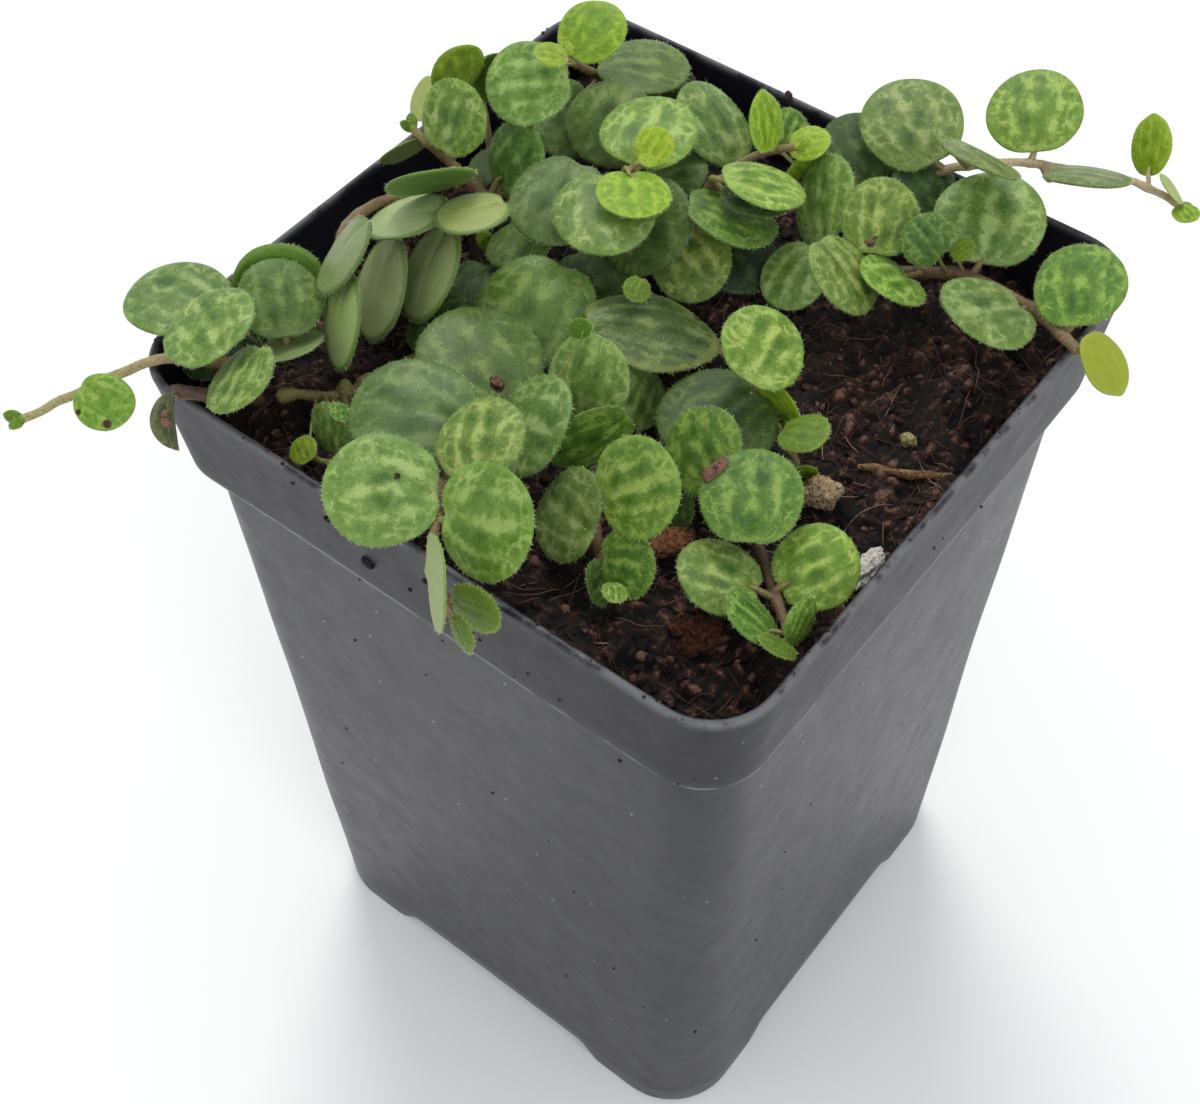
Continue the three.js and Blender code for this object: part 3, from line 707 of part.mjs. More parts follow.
    stems: [
      [0.8, true, [[-21.52, -16.49, 119.8], [-22.02, -18.64, 119.76], [-22.52, -20.79, 119.73], [-22.98, -22.96, 119.75], [-23.48, -25.11, 119.74], [-24, -27.26, 119.72], [-25.25, -29.03, 119.9], [-26.95, -30.41, 120.17], [-28.64, -31.77, 120.6], [-29.82, -33.53, 121]]],
      [0.5, false, [[-24.62, -28.13, 119.81], [-23.02, -29.15, 120.81], [-21.32, -30.43, 120.33], [-19.61, -31.77, 120.38], [-18.39, -33.57, 120.56], [-17.4, -35.51, 120.73], [-17.82, -37.62, 121.08], [-19.54, -38.73, 121.8]]],
    ],
    stalks: [
      [0.3, [-25.25, -29.03, 119.9], [-25.49, -28.81, 120.53], [-18.24, -35.7, 123.89], [-18.67, -35.5, 124.3]],
      [0.2, [-26.72, -30.22, 120.13], [-26.31, -31.08, 120.51], [-20.32, -38.6, 122.59], [-20.16, -38.99, 122.8]],
      [0.2, [-26.72, -30.22, 120.13], [-25.42, -28.79, 120.89], [-17.34, -36.8, 125.05], [-16.5, -35.62, 127.77]],
    ],
    leaves: [
      [[-18.68, -35.6, 124.34], [-0.0723, -0.9374, 0.3406], [0.164, -0.3481, -0.923], 3.26, 1, 0.29, 0.46],
      [[-20.17, -39.03, 122.89], [-0.0777, -0.403, 0.9119], [0.8516, -0.5025, -0.1495], 1.75, 1, 0.16, 0.32],
      [[-17.13, -34.9, 127.89], [0.3771, 0.2431, 0.8937], [0.673, -0.7348, -0.0841], 1.38, 1, 0.12, 0.31],
    ],
  },
  {
    name: "cut_stem",
    stems: [
      [0.85, false, [[-34.27, -44.93, 128.58], [-32.26, -43.84, 128.79], [-30.72, -42.35, 128.11], [-30.56, -40.74, 126.51], [-31.08, -39.35, 124.75], [-31.57, -37.91, 123], [-31.81, -36.37, 121.29], [-31.8, -34.74, 119.65]]],
    ],
    stalks: [
      [0.29, [-33.55, -44.53, 128.66], [-33.11, -45.23, 128.96], [-33.08, -45.81, 128.85], [-32.7, -46.24, 129.17]],
    ],
    leaves: [
      [[-31.59, -47.43, 127.62], [-0.0964, -0.83, 0.5493], [-0.4949, 0.5188, 0.6971], 3.21, 1.5, 0.29, 0.45],
    ],
  },
];

// ---- loose bits on the soil: name, kind, centre, size, turn
const BITS = [
  ["bark_lump_beige", "bark", [29.9, -5.2, 0], [2.1, 1.7, 2.2], 0.5],
  ["perlite_chunk_white", "perlite", [39.3, -9.3, 0], [1.3, 3.0, 1.0], 0.15],
  ["grit_lump_yellow", "grit", [33.1, 8.9, 0], [1.0, 0.9, 0.8], 0.2],
  ["bark_chip_brown", "bark", [19.9, -22.1, 0], [2.2, 4.2, 0.9], -0.5],
  ["peat_clump_front", "peat", [29.8, -29.4, 0], [2.9, 2.3, 1.7], 0.4],
];
const TWIG = { name: "root_twig", radius: 0.5, ends: [[30.8, 2.4], [35.6, 3.6], [39.8, 7.2]] };

// ---- materials
const material = (color, roughness) =>
  new THREE.MeshStandardMaterial({ color, roughness, metalness: 0 });
const POT_MATERIAL = () => material(0x2c2c30, 0.45);
const SOIL_MATERIAL = () => material(0x241712, 0.95);
const STEM_MATERIAL = () => material(0x8a6844, 0.6);
const LEAF_MATERIALS = {
  M: 0x5f8a3c,
  O: 0x6b8656,
  D: 0x4c6f35,
  P: 0x93a36f,
  L: 0x93ab6c,
  S: 0x5d8a1e,
  Y: 0x9dbb3e,
};
const BIT_COLORS = { bark: 0x7a5a3a, perlite: 0xe4e0d8, grit: 0xa39a63, peat: 0x3f2a1f };

// ---- assembly
const plant = new THREE.Group();
plant.position.set(CENTRE_SHIFT[0], CENTRE_SHIFT[1], 0);

function put(name, geometry, mat, parent = plant) {
  const mesh = new THREE.Mesh(geometry, mat);
  mesh.name = name;
  parent.add(mesh);
  return mesh;
}

put("pot", potGeometry(), POT_MATERIAL());

const roots = VINES.flatMap(({ stems }) =>
  stems.filter(([, rooted]) => rooted).map(([r, , points]) => [points[0][0], points[0][1], r]),
);
put("soil", soilGeometry(roots), SOIL_MATERIAL());

const bits = new THREE.Group();
plant.add(bits);
for (const [name, kind, [x, y], [sx, sy, sz], turn] of BITS) {
  const g = new THREE.IcosahedronGeometry(1, 1);
  g.scale(sx, sy, sz);
  const mesh = put(name, geometryOf(solidOf(g)), material(BIT_COLORS[kind], 0.9), bits);
  let top = -Infinity;
  for (let a = 0; a < 12; a++)
    for (const k of [0, 0.5, 0.9])
      top = Math.max(top, soilHeight(x + k * sx * Math.cos(a * 0.5236), y + k * sy * Math.sin(a * 0.5236)));
  mesh.position.set(x, y, top + GAP + sz);
  mesh.rotation.z = turn;
}
{
  const path = TWIG.ends.map(([x, y]) => new THREE.Vector3(x, y, soilHeight(x, y) + GAP + TWIG.radius + 0.3));
  const curve = new THREE.CatmullRomCurve3(path);
  put(TWIG.name, tubeGeometry(curve, TWIG.radius, 6, 5), material(0x6d5038, 0.85), bits);
}

const stemGroup = new THREE.Group();
plant.add(stemGroup);
for (const vine of VINES)
  put(vine.name, geometryOf(stemSolid(vine)), STEM_MATERIAL(), stemGroup);

const leafGroup = new THREE.Group();
plant.add(leafGroup);
for (const [name, kind, at, normal, base, R, q, dome, thick] of LEAVES) {
  const mesh = put(name, leafGeometry(R, q, dome, thick, 12, true), material(LEAF_MATERIALS[kind], 0.5), leafGroup);
  mesh.applyMatrix4(leafFrame(at, normal, base));
}

const root = new THREE.Group();
root.add(plant);
export default root;
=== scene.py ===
# Potted creeping peperomia: looks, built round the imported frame. Lengths in the tables are millimetres in the pot's own
# frame (pot centre at X = Y = 0, standing on Z = 0); SHIFT moves them to the part's frame.
import bpy, math
import numpy as np
from mathutils import Matrix


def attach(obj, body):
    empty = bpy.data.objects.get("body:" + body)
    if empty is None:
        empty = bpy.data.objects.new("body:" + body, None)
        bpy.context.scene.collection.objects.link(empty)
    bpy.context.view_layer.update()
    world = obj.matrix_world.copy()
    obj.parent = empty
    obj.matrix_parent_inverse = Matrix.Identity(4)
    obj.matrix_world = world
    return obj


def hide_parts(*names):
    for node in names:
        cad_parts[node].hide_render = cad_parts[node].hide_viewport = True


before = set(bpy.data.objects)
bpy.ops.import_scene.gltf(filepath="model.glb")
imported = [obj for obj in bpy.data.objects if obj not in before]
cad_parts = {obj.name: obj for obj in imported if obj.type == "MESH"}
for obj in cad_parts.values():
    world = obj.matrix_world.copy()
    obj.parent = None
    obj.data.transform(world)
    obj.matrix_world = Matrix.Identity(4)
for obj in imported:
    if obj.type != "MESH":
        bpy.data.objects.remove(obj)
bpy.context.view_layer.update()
SHIFT = np.array([-1.309, -2.496, 0.0])
MM = 0.001
scene = bpy.context.scene

# ---------------------------------------------------------------- camera
AZ, EL, ROLL = math.radians(38.94788), math.radians(52.39566), math.radians(-1.08879)
CAM = np.array([93.4767, -124.9877, 281.8942])
back = np.array([math.sin(AZ) * math.cos(EL), -math.cos(AZ) * math.cos(EL), math.sin(EL)])
right = np.array([math.cos(AZ), math.sin(AZ), 0.0])
up = np.cross(back, right)
r2 = right * math.cos(ROLL) + up * math.sin(ROLL)
u2 = -right * math.sin(ROLL) + up * math.cos(ROLL)
cam_data = bpy.data.cameras.new("camera")
cam = bpy.data.objects.new("camera", cam_data)
scene.collection.objects.link(cam)
m = Matrix.Identity(4)
for i in range(3):
    m[i][0], m[i][1], m[i][2] = r2[i], u2[i], back[i]
    m[i][3] = (CAM[i] + SHIFT[i]) * MM
cam.matrix_world = m
cam_data.sensor_width = 36.0
cam_data.lens = 54.197
cam_data.clip_start = 0.01
cam_data.clip_end = 20
scene.camera = cam

# ---------------------------------------------------------------- helpers
def rng(*key):
    h = 2166136261
    for c in "|".join(str(k) for k in key):
        h = ((h ^ ord(c)) * 16777619) & 0xFFFFFFFF
    return np.random.RandomState(h)


def lin(r, g, b):
    c = np.array([r, g, b]) / 255.0
    c = np.where(c <= 0.04045, c / 12.92, ((c + 0.055) / 1.055) ** 2.4)
    return (float(c[0]), float(c[1]), float(c[2]), 1.0)


def unit(a):
    a = np.asarray(a, float)
    return a / np.maximum(np.linalg.norm(a, axis=-1, keepdims=True), 1e-12)


def hash2(ix, iy, seed):
    n = (ix.astype(np.int64) * 374761393 + iy.astype(np.int64) * 668265263 + seed * 2147483647) & 0xFFFFFFFF
    n = ((n ^ (n >> 13)) * 1274126177) & 0xFFFFFFFF
    return ((n ^ (n >> 16)) & 0xFFFF) / 65535.0


def vnoise(x, y, seed):
    ix, iy = np.floor(x), np.floor(y)
    fx, fy = x - ix, y - iy
    fx, fy = fx * fx * (3 - 2 * fx), fy * fy * (3 - 2 * fy)
    a, b = hash2(ix, iy, seed), hash2(ix + 1, iy, seed)
    c, d = hash2(ix, iy + 1, seed), hash2(ix + 1, iy + 1, seed)
    return (a + (b - a) * fx) * (1 - fy) + (c + (d - c) * fx) * fy - 0.5


def hash3(p, seed):
    n = (p[..., 0].astype(np.int64) * 374761393 + p[..., 1].astype(np.int64) * 668265263
         + p[..., 2].astype(np.int64) * 1442695041 + seed * 2147483647) & 0xFFFFFFFF
    n = ((n ^ (n >> 13)) * 1274126177) & 0xFFFFFFFF
    return ((n ^ (n >> 16)) & 0xFFFF) / 65535.0


def vnoise3(P, seed):
    i = np.floor(P)
    f = P - i
    f = f * f * (3 - 2 * f)
    out = 0
    for dx in (0, 1):
        for dy in (0, 1):
            for dz in (0, 1):
                w = (f[..., 0] if dx else 1 - f[..., 0]) * (f[..., 1] if dy else 1 - f[..., 1]) * (f[..., 2] if dz else 1 - f[..., 2])
                out = out + w * hash3(i + np.array([dx, dy, dz]), seed)
    return out - 0.5


def worley(x, y, seed, jitter=0.9):
    ix, iy = np.floor(x), np.floor(y)
    best = np.full(x.shape, 9.0)
    for dx in (-1, 0, 1):
        for dy in (-1, 0, 1):
            cx, cy = ix + dx, iy + dy
            px = cx + 0.5 + jitter * (hash2(cx, cy, seed) - 0.5)
            py = cy + 0.5 + jitter * (hash2(cx, cy, seed + 7) - 0.5)
            best = np.minimum(best, (px - x) ** 2 + (py - y) ** 2)
    return np.sqrt(best)


class Bag:
    """Collects vertices, faces and per-vertex values of one mesh."""

    def __init__(self):
        self.v, self.f, self.m, self.s, self.n = [], [], [], [], 0
        self.a = {}

    def add(self, v, f, mat=0, smooth=True, **attrs):
        v = np.asarray(v, float).reshape(-1, 3)
        f = np.asarray(f, np.int64)
        if f.shape[1] == 3:
            f = np.hstack([f, np.full((len(f), 1), -1)])
        for k in set(self.a) | set(attrs):
            if k not in self.a:
                w = np.asarray(attrs[k]).reshape(len(v), -1).shape[1]
                self.a[k] = [np.zeros((self.n, w))]
            if k in attrs:
                self.a[k].append(np.asarray(attrs[k], float).reshape(len(v), -1))
            else:
                self.a[k].append(np.zeros((len(v), self.a[k][0].shape[1])))
        self.v.append(v)
        self.f.append(np.where(f >= 0, f + self.n, -1))
        self.m.append(np.full(len(f), mat))
        self.s.append(np.full(len(f), smooth))
        self.n += len(v)

    def build(self, name, mats, slot=None, body="root"):
        v = (np.vstack(self.v) + SHIFT) * MM
        f = np.vstack(self.f)
        quad = f[:, 3] >= 0
        size = np.where(quad, 4, 3)
        loops = f.ravel()
        loops = loops[loops >= 0]
        me = bpy.data.meshes.new(name)
        me.vertices.add(len(v))
        me.vertices.foreach_set("co", v.ravel())
        me.loops.add(len(loops))
        me.loops.foreach_set("vertex_index", loops.astype(np.int32))
        me.polygons.add(len(f))
        start = np.concatenate([[0], np.cumsum(size)[:-1]])
        me.polygons.foreach_set("loop_start", start.astype(np.int32))
        for mt in mats:
            me.materials.append(mt)
        me.polygons.foreach_set("material_index", np.concatenate(self.m).astype(np.int32))
        me.polygons.foreach_set("use_smooth", np.concatenate(self.s))
        for k, parts in self.a.items():
            d = np.vstack(parts)
            kind = "FLOAT" if d.shape[1] == 1 else "FLOAT_VECTOR"
            at = me.attributes.new(k, kind, "POINT")
            at.data.foreach_set("value" if kind == "FLOAT" else "vector", d.astype(np.float32).ravel())
        me.update(calc_edges=True)
        me.validate()
        ob = bpy.data.objects.new(name, me)
        scene.collection.objects.link(ob)
        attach(ob, body)
        return ob


def spikes(base, direction, length, radius, seed=0):
    """Thin closed three-sided spikes: hairs. Returns vertices and triangles."""
    n = len(base)
    d = unit(direction)
    ref = np.where(np.abs(d[:, 2:3]) < 0.9, np.array([[0, 0, 1.0]]), np.array([[1.0, 0, 0]]))
    a = unit(np.cross(d, ref))
    b = np.cross(d, a)
    v = np.zeros((n, 4, 3))
    for k in range(3):
        t = 2 * math.pi * k / 3
        v[:, k] = base + radius[:, None] * (math.cos(t) * a + math.sin(t) * b) - d * radius[:, None]
    v[:, 3] = base + d * length[:, None]
    o = np.arange(n)[:, None] * 4
    f = np.concatenate([o + np.array([[0, 1, 3]]), o + np.array([[1, 2, 3]]), o + np.array([[2, 0, 3]]), o + np.array([[0, 2, 1]])])
    return v.reshape(-1, 3), f


def frames(path):
    """Rotation-minimising frames along a path."""
    t = np.gradient(path, axis=0)
    t = unit(t)
    r = np.cross(t[0], [0, 0, 1.0])
    if np.linalg.norm(r) < 0.2:
        r = np.cross(t[0], [1.0, 0, 0])
    r = unit(r)
    rs = [r]
    for i in range(1, len(path)):
        v1 = path[i] - path[i - 1]
        c1 = v1 @ v1
        if c1 < 1e-12:
            rs.append(rs[-1])
            continue
        rl = rs[-1] - (2 / c1) * (v1 @ rs[-1]) * v1
        tl = t[i - 1] - (2 / c1) * (v1 @ t[i - 1]) * v1
        v2 = t[i] - tl
        c2 = v2 @ v2
        rr = rl if c2 < 1e-12 else rl - (2 / c2) * (v2 @ rl) * v2
        rs.append(unit(rr))
    rs = np.array(rs)
    return t, rs, np.cross(t, rs)


def tube(path, radius, sides=8, cap=True):
    """A closed round tube: vertices, faces (quads and -1 padded triangles)."""
    path = np.asarray(path, float)
    n = len(path)
    radius = np.broadcast_to(np.asarray(radius, float), (n,)) if np.ndim(radius) < 2 else radius
    t, a, b = frames(path)
    th = np.arange(sides) * 2 * math.pi / sides
    ring = a[:, None] * np.cos(th)[None, :, None] + b[:, None] * np.sin(th)[None, :, None]
    rad = radius[:, None, None] if np.ndim(radius) == 1 else radius[:, :, None]
    v = path[:, None] + ring * rad
    v = v.reshape(-1, 3)
    i, j = np.meshgrid(np.arange(n - 1), np.arange(sides), indexing="ij")
    j2 = (j + 1) % sides
    f = np.stack([i * sides + j, i * sides + j2, (i + 1) * sides + j2, (i + 1) * sides + j], -1).reshape(-1, 4)
    e = len(v)
    v = np.vstack([v, path[:1] - t[:1] * radius.reshape(n, -1)[0].mean() * 0.6, path[-1:] + t[-1:] * radius.reshape(n, -1)[-1].mean() * 0.6])
    k = np.arange(sides)
    k2 = (k + 1) % sides
    c0 = np.stack([np.full(sides, e), k2, k, np.full(sides, -1)], -1)
    c1 = np.stack([np.full(sides, e + 1), (n - 1) * sides + k, (n - 1) * sides + k2, np.full(sides, -1)], -1)
    return v, np.vstack([f, c0, c1])


def smooth_path(points, step=0.6):
    """Catmull-Rom through the points, about one point per step."""
    P = np.asarray(points, float)
    P = np.vstack([2 * P[0] - P[1], P, 2 * P[-1] - P[-2]])
    out = []
    for i in range(1, len(P) - 2):
        a, b, c, d = P[i - 1], P[i], P[i + 1], P[i + 2]
        k = max(2, int(round(np.linalg.norm(c - b) / step)))
        for u in np.arange(k) / k:
            out.append(0.5 * ((2 * b) + (c - a) * u + (2 * a - 5 * b + 4 * c - d) * u * u + (3 * b - a - 3 * c + d) * u ** 3))
    out.append(P[-2])
    return np.array(out)


def bezier(c, n):
    t = np.linspace(0, 1, n)[:, None]
    return (1 - t) ** 3 * c[0] + 3 * (1 - t) ** 2 * t * c[1] + 3 * (1 - t) * t * t * c[2] + t ** 3 * c[3]


# ---------------------------------------------------------------- material helpers
class Nodes:
    def __init__(self, name):
        self.mat = bpy.data.materials.new(name)
        self.mat.use_nodes = True
        self.t = self.mat.node_tree
        self.t.nodes.clear()
        self.out = self.t.nodes.new("ShaderNodeOutputMaterial")

    def n(self, kind, **kw):
        nd = self.t.nodes.new(kind)
        ins = kw.pop("ins", {})
        for k, v in kw.items():
            setattr(nd, k, v)
        for k, v in ins.items():
            self.put(nd.inputs[k], v)
        return nd

    def put(self, sock, v):
        if hasattr(v, "bl_idname") and hasattr(v, "outputs"):
            self.t.links.new(v.outputs[0], sock)
        elif isinstance(v, bpy.types.NodeSocket):
            self.t.links.new(v, sock)
        else:
            sock.default_value = v

    def math(self, op, a, b=None, c=None, clamp=False):
        nd = self.n("ShaderNodeMath", operation=op, use_clamp=clamp)
        self.put(nd.inputs[0], a)
        if b is not None:
            self.put(nd.inputs[1], b)
        if c is not None:
            self.put(nd.inputs[2], c)
        return nd.outputs[0]

    def smooth(self, v, lo, hi, a=0.0, b=1.0):
        nd = self.n("ShaderNodeMapRange", interpolation_type="SMOOTHSTEP")
        self.put(nd.inputs["Value"], v)
        self.put(nd.inputs["From Min"], lo)
        self.put(nd.inputs["From Max"], hi)
        nd.inputs["To Min"].default_value = a
        nd.inputs["To Max"].default_value = b
        return nd.outputs[0]

    def mix(self, f, a, b, blend="MIX"):
        nd = self.n("ShaderNodeMix", data_type="RGBA", blend_type=blend)
        self.put(nd.inputs[0], f)
        self.put(nd.inputs[6], a)
        self.put(nd.inputs[7], b)
        return nd.outputs[2]

    def attr(self, name):
        return self.n("ShaderNodeAttribute", attribute_name=name, attribute_type="GEOMETRY")

    def noise(self, vec, scale, detail=3.0, rough=0.55, dist=0.0):
        nd = self.n("ShaderNodeTexNoise")
        if vec is not None:
            self.put(nd.inputs["Vector"], vec)
        nd.inputs["Scale"].default_value = scale
        nd.inputs["Detail"].default_value = detail
        nd.inputs["Roughness"].default_value = rough
        nd.inputs["Distortion"].default_value = dist
        return nd

    def voronoi(self, vec, scale, feature="F1", rand=1.0, dims="3D"):
        nd = self.n("ShaderNodeTexVoronoi", feature=feature, voronoi_dimensions=dims)
        self.put(nd.inputs["Vector"], vec)
        nd.inputs["Scale"].default_value = scale
        nd.inputs["Randomness"].default_value = rand
        return nd

    def vec(self, x, y, z=0.0):
        nd = self.n("ShaderNodeCombineXYZ")
        self.put(nd.inputs[0], x)
        self.put(nd.inputs[1], y)
        self.put(nd.inputs[2], z)
        return nd.outputs[0]

    def xyz(self, v):
        nd = self.n("ShaderNodeSeparateXYZ")
        self.put(nd.inputs[0], v)
        return nd.outputs

    def vmath(self, op, a, b):
        nd = self.n("ShaderNodeVectorMath", operation=op)
        self.put(nd.inputs[0], a)
        self.put(nd.inputs[1], b)
        return nd.outputs[0]

    def position(self):
        return self.n("ShaderNodeTexCoord").outputs["Object"]

    def bump(self, h, strength, dist, normal=None):
        nd = self.n("ShaderNodeBump")
        nd.inputs["Strength"].default_value = strength
        nd.inputs["Distance"].default_value = dist
        self.put(nd.inputs["Height"], h)
        if normal is not None:
            self.put(nd.inputs["Normal"], normal)
        return nd.outputs[0]

    def principled(self, color, rough, normal=None, **kw):
        nd = self.n("ShaderNodeBsdfPrincipled")
        self.put(nd.inputs["Base Color"], color)
        self.put(nd.inputs["Roughness"], rough)
        if normal is not None:
            self.put(nd.inputs["Normal"], normal)
        for k, v in kw.items():
            self.put(nd.inputs[k], v)
        self.t.links.new(nd.outputs[0], self.out.inputs[0])
        return nd


